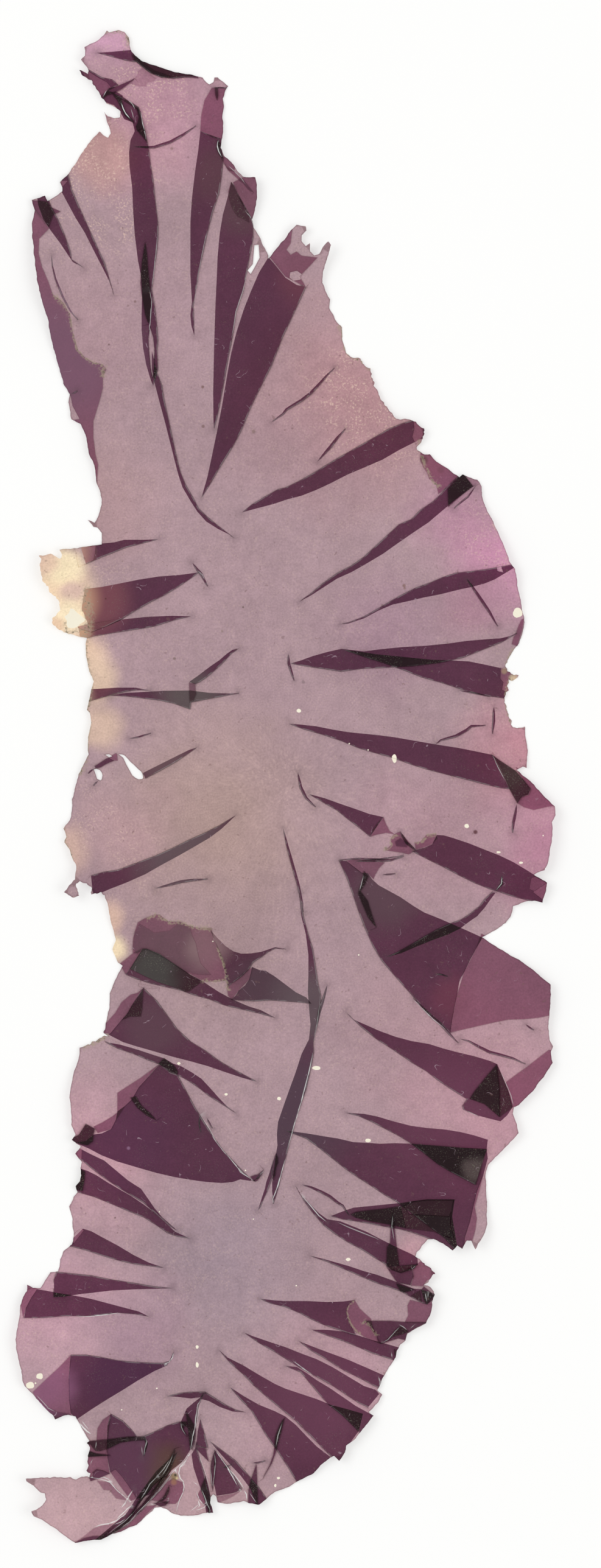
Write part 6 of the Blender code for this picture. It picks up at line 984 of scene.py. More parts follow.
# Smaller worn spots
tinySpots = [
    (2.6, 14.4, 0.4, 0.38), (34.6, -7.6, 0.42, 0.42), (-16.8, -107, 0.28, 0.34), (-1.3, -132, 0.3, 0.22),
    (-1.9, -133.4, 0.22, 0.3), (-47.6, -113.8, 0.16, 0.16), (-20.3, -52.9, 0.3, 0.25),
    (-11.3, -58.8, 0.3, 0.25), (-1.2, -59.6, 0.36, 0.34), (14, -32.2, 0.15, 0.15), (2.1, -95.3, 0.14, 0.14),
    (-24, -81.2, 0.13, 0.13), (-7.6, -73.3, 0.15, 0.15), (-6.1, -82.6, 0.12, 0.12),
    (-24.5, -114.9, 0.16, 0.14), (-31.2, -119, 0.13, 0.13), (12.2, 8.1, 0.14, 0.14),
    (15.8, 6.9, 0.14, 0.12), (49.1, -9.4, 0.13, 0.13), (44.9, -14.6, 0.4, 0.2), (40.6, -12.6, 0.4, 0.2),
    (-13.8, -29.6, 0.13, 0.13),
]

# Fine creases that the solid leaves out
fineCreases = [
    [(-44.5, 101.2), (-44.3, 99), (-43.7, 96.6), (-42.4, 93.4), (-40.9, 90.6), (-39.5, 88.9)],
    [(-16.2, -62.7), (-16.4, -64.3), (-16.1, -66)],
    [(28.5, -35.8), (29.8, -35.9), (31, -36.3)],
    [(45.8, -45.4), (46.6, -46), (47.4, -46.5)],
    [(-6.2, -129.1), (-5, -129), (-3.8, -128.7)],
    [(-11.9, -130), (-11, -129.7), (-10.2, -129.4)],
    [(36.3, 57.2), (34.9, 55.2), (33, 53.7), (32.2, 53)],
    [(33.1, 18.3), (36, 17.8), (39, 17.1)],
    [(18.5, -16.9), (21, -16.7)],
    [(10.3, -14), (14, -13.8), (18, -13.9), (22.6, -13.2)],
    [(-40.8, 74.8), (-39.6, 75.4)],
    [(-13.7, 133.2), (-12.4, 133.3), (-11, 133.2)],
    [(-15, -63.2), (-13.9, -65.3)],
    [(-29.8, 9.1), (-28.2, 9.35), (-26.9, 9.75), (-25.6, 10.1)],
    [(-36.2, 3.45), (-36.9, 3), (-37.6, 2.4)],
    [(-35.7, 1), (-36.1, 0.6), (-36.6, 0.1)],
]

# Fine raised wrinkles with a painted highlight along the crest: brightness of that highlight, half width
# and the line of the crest
wrinkles = {
    "tip": [
        (0.85, 0.15, [(-31.3, 130.4), (-30.9, 129.2), (-30.3, 128.1), (-29.5, 127.2)]),
        (0.6, 0.12, [(-30.2, 131), (-29.3, 130.3), (-28.9, 129.6), (-28.6, 128.9)]),
        (0.7, 0.14, [(-27.6, 128.6), (-27.3, 127), (-27, 125.6), (-26.7, 124.4), (-26.5, 123.2)]),
        (0.4, 0.1, [(-29.5, 129.4), (-29.1, 128.2), (-28.9, 127.2)]),
        (0.6, 0.13, [(-34.8, 131.2), (-34.5, 131.8), (-34.2, 132.4), (-33.8, 132.9)]),
        (0.7, 0.15, [(-12.8, 123.2), (-13, 122.2), (-12.7, 121), (-12.1, 119.9)]),
        (0.35, 0.14, [(-11, 118.4), (-9.9, 117.4), (-8.5, 116), (-7.5, 114.6)]),
        (0.4, 0.13, [(-7.6, 109.6), (-6.6, 108.4), (-6, 106.9)]),
    ],
    "pleats": [
        (0.5, 0.13, [(-25.9, 94.9), (-25.5, 92.4), (-25.7, 89.5), (-25.9, 87.2), (-25.6, 85.2)]),
        (0.35, 0.1, [(-24.4, 105), (-24.7, 101.5), (-25.1, 97.8), (-25.4, 95.2)]),
        (0.3, 0.1, [(-15.2, 105), (-16, 100.8), (-16.9, 95.6), (-17.5, 91.2)]),
        (0.4, 0.12, [(-7.2, 98.4), (-8.1, 94.4), (-9.4, 90.5), (-10.1, 85.9)]),
        (0.4, 0.12, [(-16.3, -62.6), (-14.6, -65.2), (-13.2, -67.8), (-11.4, -70.1)]),
        (0.6, 0.12, [(-11.4, -69.9), (-9.8, -71.9), (-8.1, -73.9), (-7, -74.6), (-6.1, -75.2)]),
        (0.4, 0.1, [(-14, -66.7), (-12.7, -68.5), (-11.2, -70.4)]),
        (0.5, 0.12, [(-4, -73.3), (-4.9, -74.1)]),
        (0.7, 0.15, [(5.3, -50.7), (4.4, -55), (3.1, -60), (1.6, -65), (0.5, -69)]),
        (0.7, 0.15, [(-0.1, -71.4), (-0.8, -74), (-1.6, -76.8), (-2.4, -78.8), (-2.3, -79.5)]),
        (0.35, 0.12, [(6.5, -41.9), (6.1, -45), (5.5, -48.6)]),
        (0.75, 0.12, [(24.4, -40.6), (26, -42.3), (28, -44.3), (30.6, -46.4)]),
        (0.45, 0.13, [(41, -54.2), (42, -56.6), (43, -59), (43.5, -61)]),
        (0.5, 0.12, [(34.4, -61.9), (35.6, -62.4), (36.9, -63)]),
        (0.6, 0.14, [(3.2, -78.2), (4.8, -80), (6.4, -81.9), (8, -83.2)]),
        (0.35, 0.14, [(9.8, -83.1), (12, -84.1), (15, -85.3), (18, -86.5)]),
        (0.28, 0.12, [(20.5, -81.6), (20.3, -84), (20.8, -86.8)]),
        (0.5, 0.14, [(1.3, -109.5), (3.2, -110.9), (5.4, -112.5)]),
        (0.8, 0.13, [(-40, -101.2), (-37, -101.1), (-34, -100.8), (-31.8, -100.5)]),
        (0.7, 0.12, [(-21.3, -108), (-21.5, -109), (-22.2, -109.9), (-23, -110.1)]),
        (0.5, 0.12, [(14.9, -17.2), (14.4, -19), (14.1, -20)]),
        (0.4, 0.1, [(-16.7, 41.2), (-15.8, 40.3), (-15.3, 39.2)]),
        (0.4, 0.1, [(-9.2, -72.5), (-8.6, -73.6), (-7.7, -74.3)]),
        (0.5, 0.12, [(41.3, -17.2), (41.2, -18.6), (40.2, -19.8)]),
        (0.4, 0.12, [(39.6, 5.8), (40.6, 3.6), (41.8, 1.2)]),
    ],
    "right knots": [
        (0.4, 0.14, [(26.6, -96.4), (26.8, -97.4), (27, -98.3)]),
        (0.35, 0.12, [(27.3, -96.2), (27.1, -97.8)]),
        (0.4, 0.12, [(21.6, -102.6), (22.5, -103.1), (23.3, -103.8)]),
        (0.35, 0.1, [(22, -102.9), (21, -103.9), (19.6, -105.5), (18.4, -106.2)]),
        (0.3, 0.1, [(24.9, -102.4), (23.6, -103.6)]),
        (0.4, 0.16, [(20.2, -107.8), (20.4, -109.2)]),
        (0.35, 0.2, [(17.7, -112.5), (18.1, -113.6), (18, -114.6)]),
        (0.25, 0.14, [(23.8, -91.4), (24.2, -92), (24.9, -91.3)]),
    ],
    "base": [
        (0.55, 0.14, [
            (-16.1, -117.1), (-16.7, -117.9), (-16.9, -119.3), (-17.1, -120.6), (-17.2, -122.2),
            (-17.6, -123.8), (-17.9, -125.6), (-18.1, -126.6)]),
        (0.4, 0.12, [(-16.3, -117.9), (-16.6, -119.4), (-16.8, -121), (-17, -122.4)]),
        (0.5, 0.12, [
            (-18.1, -126.7), (-19, -128.2), (-20.2, -129.6), (-21.4, -130.7), (-22.5, -132.3),
            (-23.8, -134.2), (-25.6, -136), (-27.6, -138), (-29.6, -140)]),
        (0.35, 0.1, [(-22, -131.4), (-23.2, -133), (-24.4, -134.6), (-26, -136.2)]),
        (0.4, 0.1, [(-28.6, -138.2), (-30.4, -140), (-32.2, -141.4), (-34, -142.8)]),
        (0.45, 0.12, [(-28.2, -138.8), (-29.8, -140.4), (-31.4, -141.5)]),
        (0.4, 0.12, [(-24.2, -131.4), (-25.8, -133), (-26.8, -134.8), (-27.6, -136)]),
        (0.35, 0.12, [(-22, -128.4), (-23.2, -130.2), (-24.6, -131.8)]),
        (0.4, 0.1, [(-21.4, -127.4), (-22, -128.9), (-22.8, -130.4), (-23.6, -131.6)]),
        (0.9, 0.14, [
            (-18.2, -127.2), (-18.9, -128.6), (-20, -129.7), (-20.3, -131), (-20, -132), (-19.5, -132.6),
            (-19.3, -133.8), (-19.5, -134.8), (-20.2, -136.2), (-20.6, -137.6), (-20.8, -138.9)]),
        (0.55, 0.3, [(-18.3, -127.4), (-19.2, -129.2), (-20.4, -130.2)]),
        (0.6, 0.3, [(-20.4, -129.9), (-21, -130.4), (-20.6, -131.2)]),
        (0.6, 0.12, [(-17.7, -132.6), (-17, -133.1), (-16.4, -133.7)]),
        (0.7, 0.12, [(-17, -134.2), (-16.7, -135.3), (-16.3, -136.2), (-15.6, -137), (-14.9, -136.5)]),
        (0.8, 0.16, [(-16.7, -136), (-16.3, -137.2), (-16.8, -137.8)]),
        (0.6, 0.12, [(-17.3, -138.2), (-16.3, -137.9), (-15.4, -137.5), (-14.8, -136.7)]),
        (0.5, 0.12, [(-18.2, -138.4), (-17.2, -137.6), (-16.4, -136.9)]),
        (0.95, 0.16, [(-13.2, -127), (-12.2, -128.3), (-11.2, -129.7), (-10.2, -131.4), (-9, -133.6)]),
        (0.9, 0.14, [(-11, -130), (-9.9, -131.2), (-8.8, -132.6), (-7.7, -134.2)]),
        (0.75, 0.16, [(-7.9, -134.2), (-7.4, -135), (-7.3, -136.3)]),
        (0.5, 0.12, [(-8.8, -133.9), (-8.2, -134.5)]),
        (0.45, 0.11, [
            (-16.4, -127.1), (-16.2, -128.4), (-15.7, -129.8), (-15.1, -131.6), (-14.6, -133.4),
            (-14.2, -135.2)]),
        (0.5, 0.11, [(-13.5, -127.2), (-13.3, -129), (-13.5, -131.2), (-13.8, -133.4)]),
        (0.4, 0.1, [(-14.3, -130), (-14.1, -131.8), (-13.9, -133.8)]),
        (0.45, 0.12, [(-16, -134), (-15.4, -135.4), (-14.9, -136.8), (-14.2, -138.2)]),
        (0.45, 0.1, [(-6.9, -134.6), (-6.2, -135.6), (-5.4, -136.7)]),
        (0.8, 0.2, [(-39.3, -121.4), (-38.6, -122.3), (-37.8, -123.1), (-36.9, -123.7)]),
        (0.5, 0.14, [(-38.9, -121), (-38.2, -121.9), (-37.4, -122.9)]),
        (0.9, 0.12, [
            (-37.3, -131.8), (-35.8, -132), (-34.4, -132.4), (-33.4, -132.8), (-32, -134.4),
            (-30.6, -135.6), (-29.3, -136.6)]),
        (0.7, 0.12, [(-35.6, -132), (-34.6, -131.8), (-33.7, -132.2), (-33.2, -132.9)]),
        (0.65, 0.2, [(-31.4, -137.8), (-30.6, -136.9), (-29.8, -135.4), (-29, -134.2)]),
        (0.8, 0.16, [(-32.3, -139.9), (-31.2, -138.9), (-30.2, -137.9), (-29.2, -137.1)]),
        (0.7, 0.14, [(-31.9, -139.9), (-30.9, -139.2), (-30.2, -138.6)]),
        (0.8, 0.16, [(-36.6, -141.4), (-35.2, -140.9), (-33.6, -140.7), (-32.2, -140.1), (-30.8, -139)]),
        (0.55, 0.12, [(-32.8, -140.9), (-31.4, -140.4), (-30.4, -139.7)]),
        (0.4, 0.12, [(-26.7, -124.2), (-26.4, -125), (-26.8, -126.4), (-27, -127.7)]),
        (0.35, 0.1, [(-27.4, -125.8), (-27.3, -127), (-27.1, -127.8)]),
        (0.4, 0.1, [(-36, -124.9), (-36.1, -125.8), (-36.3, -126.5)]),
        (0.4, 0.1, [(-36.6, -128.2), (-37, -128.9), (-37.2, -129.6)]),
        (0.4, 0.1, [(-20, -121.6), (-19.6, -122.8), (-18.9, -123.9)]),
        (0.6, 0.14, [(-26, -136.9), (-25.4, -137), (-24.8, -136.9)]),
        (0.5, 0.12, [(-22.9, -136), (-22.2, -135.8), (-22.3, -136.5)]),
        (0.4, 0.12, [(-47.6, -115.9), (-46.4, -117.2), (-45.2, -118.6), (-43.6, -119.4)]),
        (0.4, 0.12, [(-0.6, -121.4), (-1.4, -123.8), (-1.8, -126)]),
    ],
}

# Dried crust along torn edges: half width and line
crusts = [
    (0.35, [
        (-26, -25.2), (-24.8, -24.6), (-23.6, -25.2), (-22.2, -26), (-20, -25.9), (-18.2, -26.7),
        (-16.6, -27.1), (-14.2, -27.2)]),
    (0.25, [(-13, -31), (-11.9, -33.4), (-11.2, -36.6)]),
    (0.3, [(-15.8, -37.1), (-13.4, -37.2), (-11.2, -37), (-11, -38.8)]),
    (0.5, [(-39.4, -49.8), (-37.2, -49.4), (-35.4, -48.3), (-34, -47.7)]),
    (0.35, [(25, -10.8), (26, -10.6), (27.2, -9.4), (28.6, -9.2)]),
    (0.3, [(19.2, -12.1), (20.2, -11.3), (20, -10.2), (21, -9.4)]),
    (0.2, [(15.3, -102.1), (16.2, -103), (16.8, -104), (17.4, -104.8)]),
    (0.18, [
        (13.2, -98.1), (12.2, -99), (11.8, -100), (12, -101.4), (12.5, -102.6), (13.4, -103.8),
        (14.5, -104.7)]),
    (0.3, [
        (43.6, 26), (42.5, 24.2), (42.1, 22.8), (43, 21), (42.2, 19.2), (42, 17), (42.3, 14), (43.1, 12),
        (44.2, 11.2), (45.7, 11.6)]),
    (0.45, [(-34, 143.7), (-31.6, 144.1), (-30.2, 143.4), (-29.8, 141.4)]),
    (0.9, [
        (-38, 37.4), (-38.2, 35.8), (-37.6, 34.4), (-37.3, 32.8), (-37.4, 31.2), (-37.7, 29.6),
        (-38.2, 28.6)]),
    (0.35, [(-41.9, 30.9), (-41.7, 29.6), (-41.2, 28.9), (-39.9, 29.7), (-38.6, 29.7)]),
    (0.3, [
        (-37.9, 28), (-37.9, 25.1), (-37.3, 21.9), (-36.7, 20), (-37.1, 17.2), (-37.6, 14.6), (-37.1, 12),
        (-37.6, 9.3), (-37.7, 7), (-38.2, 4.5), (-39.4, 2.2)]),
    (0.3, [(-42.4, -8.1), (-41.9, -9.7), (-42.1, -10.7), (-41.2, -12.1), (-40.6, -13.7)]),
    (0.28, [
        (-44.3, 93.6), (-42.5, 92.2), (-41.15, 89.9), (-40.6, 86.5), (-39.8, 83.4), (-38.2, 81.7),
        (-36.6, 80.7), (-35.4, 80.5), (-34.4, 79.8), (-34.8, 78.35)]),
    (0.3, [(25.5, 66), (25.5, 64.2), (26.2, 62.6), (26.6, 61.2), (27.4, 59.8), (28, 58.4), (29, 57.2)]),
    (0.3, [(16.2, 79.4), (14.6, 81), (12.6, 81.8), (11.4, 83.2), (10.9, 85.6), (10.4, 87.8)]),
]

# Where the margin frays more: middle x, y, reach and how far it wanders, all in mm
frays = {
    "bay": (43.5, 19, 9, 0.4),
    "patch": (-43, 36, 10, 0.5),
    "right shoulder": (18, 78, 14, 0.3),
    "torn end": (26, 66, 5, 0.35),
    "second right notch": (25, -93, 7, 0.35),
    "left corner": (-37, -48.5, 5, 0.35),
    "tip": (-36, 134, 8, 0.25),
    "base lobe": (-40, -134, 8, 0.3),
    "gap on the left": (-36, -20, 6, 0.3),
}

# The membrane as it lies: heights, and how finely its net is drawn
sheet = {
    "thickness": 0.14,      # one ply of dried membrane
    "ply": 0.17,            # what each further ply adds in a pressed pleat
    "crispRun": 0.1,        # plan width of the step at an upper fold
    "softRun": 0.55,        # plan width of the slope where a ply drapes over the fold beneath
    "apexRun": 6.0,         # a pleat rises from its sharp end over this length
    "creaseWidth": 0.5,
    "fineWidth": 0.28,
    "wrinkleRise": 0.12,
    "lineSpacing": 0.9,
    "marginSpacing": 0.36,
    "fillSpacing": 1.3,
    "fillClearance": 0.5,
    "rowPitch": 0.866,      # rows of the filling net, as a share of its spacing
    "merge": 0.02,
    "ragged": 0.13,         # how far the margin frays
    "coarseFray": 1.7,      # length of its torn bites, and of the finer teeth on them
    "fineFray": 0.6,
    "fineShare": 0.7,
    "cockle": 0.35,         # height of the shallow waves that drying leaves
    "cockleSize": 13.0,
    "cockleLevel": 0.2,     # the waves lie flat below this level
    "holeSides": 14,
    "holeWobble": 0.25,     # how far a hole strays from round
    "weld": 0.03,
    "gleamWidth": 0.15,     # strip just inside a crisp edge that takes a painted highlight
    "edgeReach": 0.8,       # share of the step strip that takes its painted shade, and of the edge strip its painted highlight
    "pleatFootShade": 0.45,      # how dark the painted shade at the foot of a step is, per ply
    "layerFootShade": 0.25,
    "apexStart": 0.15,
    "rimReach": 8.0,
    # reach of the painted shadow around a pleat's sharp end
    "apexShadeReach": 1.5,
    "sharpAngle": 38,
}
holdfast = {"at": (-20.9, -131.6), "radius": 2.4, "height": 1.3}


# Points at most a spacing apart along a broken line
def spread(line, spacing):
    points = [line[0]]
    for (ax, ay), (bx, by) in zip(line, line[1:]):
        count = max(1, math.ceil(math.hypot(bx - ax, by - ay) / spacing))
        points += [(ax + (bx - ax) * k / count, ay + (by - ay) * k / count) for k in range(1, count + 1)]
    return points


def spreadLoop(loop, spacing):
    return spread(loop + loop[:1], spacing)[:-1]


def signedArea(loop):
    return sum(ax * by - bx * ay for (ax, ay), (bx, by) in zip(loop, loop[1:] + loop[:1])) / 2


# Move a line sideways; the shift grows from nothing at its first point
def beside(line, shift):
    moved = []
    for i, (x, y) in enumerate(line):
        (ax, ay), (bx, by) = line[max(i - 1, 0)], line[min(i + 1, len(line) - 1)]
        length = max(math.hypot(bx - ax, by - ay), 1e-6)
        step = shift * min(1.0, i)
        moved.append((x + step * (by - ay) / length, y - step * (bx - ax) / length))
    return moved


def smooth(t):
    t = np.clip(t, 0.0, 1.0)
    return t * t * (3 - 2 * t)


# Distance of each point from a broken line, exact only within the reach that matters
def distance(points, line, reach=1e9):
    ends = np.array(line)
    low, high = ends.min(axis=0) - reach, ends.max(axis=0) + reach
    near = np.all((points >= low) & (points <= high), axis=1)
    best = np.full(len(points), 1e9)
    some = points[near]
    found = np.full(len(some), 1e9)
    for a, b in zip(ends, ends[1:]):
        along = np.clip(((some - a) @ (b - a)) / max((b - a) @ (b - a), 1e-12), 0, 1)
        found = np.minimum(found, np.linalg.norm(some - a - along[:, None] * (b - a), axis=1))
    best[near] = found
    return best


# Which points lie inside a closed outline, by counting crossings of a line to the right
def inside(points, loop):
    ends = np.array(loop)
    low, high = ends.min(axis=0), ends.max(axis=0)
    near = np.all((points >= low) & (points <= high), axis=1)
    x, y = points[near, 0], points[near, 1]
    odd = np.zeros(len(x), bool)
    for (ax, ay), (bx, by) in zip(loop, loop[1:] + loop[:1]):
        if ay != by:
            odd ^= ((ay > y) != (by > y)) & (x < (bx - ax) * (y - ay) / (by - ay) + ax)
    result = np.zeros(len(points), bool)
    result[near] = odd
    return result


# A narrow leaf shape along a crease line
def creaseSides(line, width):
    line = spread(line, sheet["lineSpacing"])
    last = len(line) - 1
    sides = []
    for sign in (1, -1):
        side = beside(line, 0)
        for i in range(1, last):
            (ax, ay), (bx, by) = line[i - 1], line[i + 1]
            length = math.hypot(bx - ax, by - ay)
            half = sign * width / 2 * math.sin(math.pi * i / last) ** 0.6
            side[i] = (line[i][0] + half * (by - ay) / length, line[i][1] - half * (bx - ax) / length)
        sides.append(side)
    return sides


# Every fold as one record: its crisp side, its soft side, the extra plies and its sharp ends
def readFolds():
    folds = []
    for pleat in pleats.values():
        crisp, soft = pleat["crisp"], pleat["soft"]
        ends = [crisp[0]] + ([crisp[-1]] if pleat.get("sharpEnd") else [])
        folds.append({"crisp": crisp, "soft": soft, "plies": 2, "ends": ends})
    for plies, outline in layers.values():
        folds.append({"crisp": outline + outline[:1], "soft": [], "plies": plies, "ends": []})
    for width, lines in ((sheet["creaseWidth"], creases), (sheet["fineWidth"], fineCreases)):
        for line in lines:
            crisp, soft = creaseSides(line, width)
            folds.append({"crisp": crisp, "soft": soft[1:-1], "plies": 2, "ends": [line[0], line[-1]]})
    for fold in folds:
        fold["outline"] = fold["crisp"] + fold["soft"][::-1] if fold["soft"] else fold["crisp"][:-1]
    return folds


# The margin frayed by a seeded wobble along its whole length
def frayedMargin():
    loop = spreadLoop(margin, sheet["marginSpacing"])
    count = len(loop)
    frayed = []
    for i, (x, y) in enumerate(loop):
        (ax, ay), (bx, by) = loop[i - 1], loop[(i + 1) % count]
        length = max(math.hypot(bx - ax, by - ay), 1e-6)
        coarse = noise.noise(Vector((x, y, 0)) / sheet["coarseFray"])
        fine = noise.noise(Vector((x, y, 40)) / sheet["fineFray"])
        push = sheet["ragged"] * (coarse + sheet["fineShare"] * fine)
        for middleX, middleY, reach, amount in frays.values():
            push += amount * max(0, 1 - math.hypot(x - middleX, y - middleY) / reach) * (coarse + fine)
        frayed.append((x + push * (by - ay) / length, y - push * (bx - ax) / length))
    return frayed


# Round spots where the membrane has worn to a pale film
def spotLoops():
    loops = [spreadLoop(patch, sheet["marginSpacing"]) for patch in wornPatches]
    for x, y, halfX, halfY in pinHoles + tinySpots:
        loop = []
        for k in range(sheet["holeSides"]):
            turn = 2 * math.pi * k / sheet["holeSides"]
            across, along = math.cos(turn), math.sin(turn)
            wobble = 1 + sheet["holeWobble"] * noise.noise(Vector((x, y, 0)) + Vector((across, along, 0)))
            loop.append((x + halfX * wobble * across, y + halfY * wobble * along))
        loops.append(loop)
    return loops


def allWrinkles():
    return [wrinkle for group in wrinkles.values() for wrinkle in group]


# Plan of the membrane: a triangle net whose edges follow the margin, the holes and every fold
def drawPlan(folds, border, holes, spots):
    points, edges = [], []

    def addLine(line, closed=False):
        start, count = len(points), len(line)
        points.extend(line)
        for i in range(count if closed else count - 1):
            edges.append((start + i, start + (i + 1) % count))

    addLine(border, True)
    for loop in holes + spots:
        addLine(loop, True)
    spacing = sheet["lineSpacing"]
    for _, width, line in allWrinkles():
        line = spread(line, spacing)
        addLine(line)
        for side in creaseSides(line, 2 * width):
            addLine(side)
    for width, line in crusts:
        for side in [spread(line, spacing)] + creaseSides(line, 3 * width):
            addLine(side)
    for fold in folds:
        side = 1 if signedArea(fold["outline"]) > 0 else -1
        crisp = spread(fold["crisp"], spacing)
        addLine(spreadLoop(fold["outline"], spacing), True)
        if fold["soft"]:
            addLine(beside(crisp, side * sheet["crispRun"]))
            addLine(beside(crisp, -side * sheet["gleamWidth"]))
            addLine(beside(spread(fold["crisp"][:1] + fold["soft"], spacing), -side * sheet["softRun"]))
        else:
            around = beside(crisp[-2:-1] + crisp + crisp[1:2], side * sheet["crispRun"])[1:-2]
            addLine(around, True)
    drawn = np.array(points)
    low, high = drawn.min(axis=0), drawn.max(axis=0)
    step = sheet["fillSpacing"]
    columns, rows = np.meshgrid(np.arange(int((high[0] - low[0]) / step) + 2),
                                np.arange(int((high[1] - low[1]) / step / sheet["rowPitch"]) + 2))
    fill = np.stack([low[0] + (columns + (rows % 2) / 2) * step,
                     low[1] + rows * step * sheet["rowPitch"]], axis=-1)
    fill = fill.reshape(-1, 2)
    fill = fill[inside(fill, border)]
    crowded = np.zeros(len(fill), bool)
    cell = {}
    for x, y in points:
        cell.setdefault((math.floor(x), math.floor(y)), []).append((x, y))
    for i, (x, y) in enumerate(fill):
        column, row = math.floor(x), math.floor(y)
        for key in ((column + a, row + b) for a in (-1, 0, 1) for b in (-1, 0, 1)):
            for px, py in cell.get(key, ()):
                if (px - x) ** 2 + (py - y) ** 2 < sheet["fillClearance"] ** 2:
                    crowded[i] = True
    fill = fill[~crowded]
    every = [Vector(p) for p in points] + [Vector(p) for p in fill]
    found, _, faces, _, _, _ = delaunay_2d_cdt(every, edges, [], 0, sheet["merge"])
    found = np.array([tuple(p) for p in found])
    middles = found[np.array(faces)].mean(axis=1)
    kept = inside(middles, border)
    for hole in holes:
        kept &= ~inside(middles, hole)
    return found, [face for face, keep in zip(faces, kept) if keep]


# Height of the sheet's underside: lifts along the margin and shallow cockles all over
def undersideHeight(points):
    rise = np.zeros(len(points))
    for x, y, reach, height in lifts:
        rise += height * smooth(1 - np.hypot(points[:, 0] - x, points[:, 1] - y) / reach)
    waves = np.array([noise.noise(Vector((x, y, 7)) / sheet["cockleSize"]) for x, y in points])
    return rise + sheet["cockle"] * np.clip(waves + sheet["cockleLevel"], 0, 1)


# Height that the folds and the holdfast add on the upper side
def foldHeight(points, folds):
    rise = np.zeros(len(points))
    reach = sheet["softRun"]
    for fold in folds:
        end = fold["soft"][-1:] or fold["crisp"][:1]
        step = 1 - distance(points, fold["crisp"] + end, reach) / sheet["crispRun"]
        if fold["soft"]:
            step = np.maximum(step, smooth(1 - distance(points, fold["soft"], reach) / sheet["softRun"]))
        step = np.where(inside(points, fold["outline"]), 1.0, np.clip(step, 0, 1))
        for x, y in fold["ends"]:
            away = np.hypot(points[:, 0] - x, points[:, 1] - y)
            step = step * smooth(away / sheet["apexRun"] + sheet["apexStart"])
        rise += fold["plies"] * sheet["ply"] * step
    x, y = holdfast["at"]
    away = np.hypot(points[:, 0] - x, points[:, 1] - y) / holdfast["radius"]
    return rise + holdfast["height"] * smooth(1 - away)


# Drops slivers that lie over their neighbours and crumbs that hang on by a corner only
def dropStrays(net):
    crowded = [edge.link_faces for edge in net.edges if len(edge.link_faces) > 2]
    slivers = {min(faces, key=lambda face: face.calc_area()) for faces in crowded}
    bmesh.ops.delete(net, geom=list(slivers), context="FACES")
    reached, front = set(), [max(net.faces, key=lambda face: face.calc_area())]
    while front:
        face = front.pop()
        if face not in reached:
            reached.add(face)
            front += [other for edge in face.edges for other in edge.link_faces]
    crumbs = [face for face in net.faces if face not in reached]
    bmesh.ops.delete(net, geom=crumbs, context="FACES")
    print("strays dropped:", len(slivers), "slivers,", len(crumbs), "crumbs")
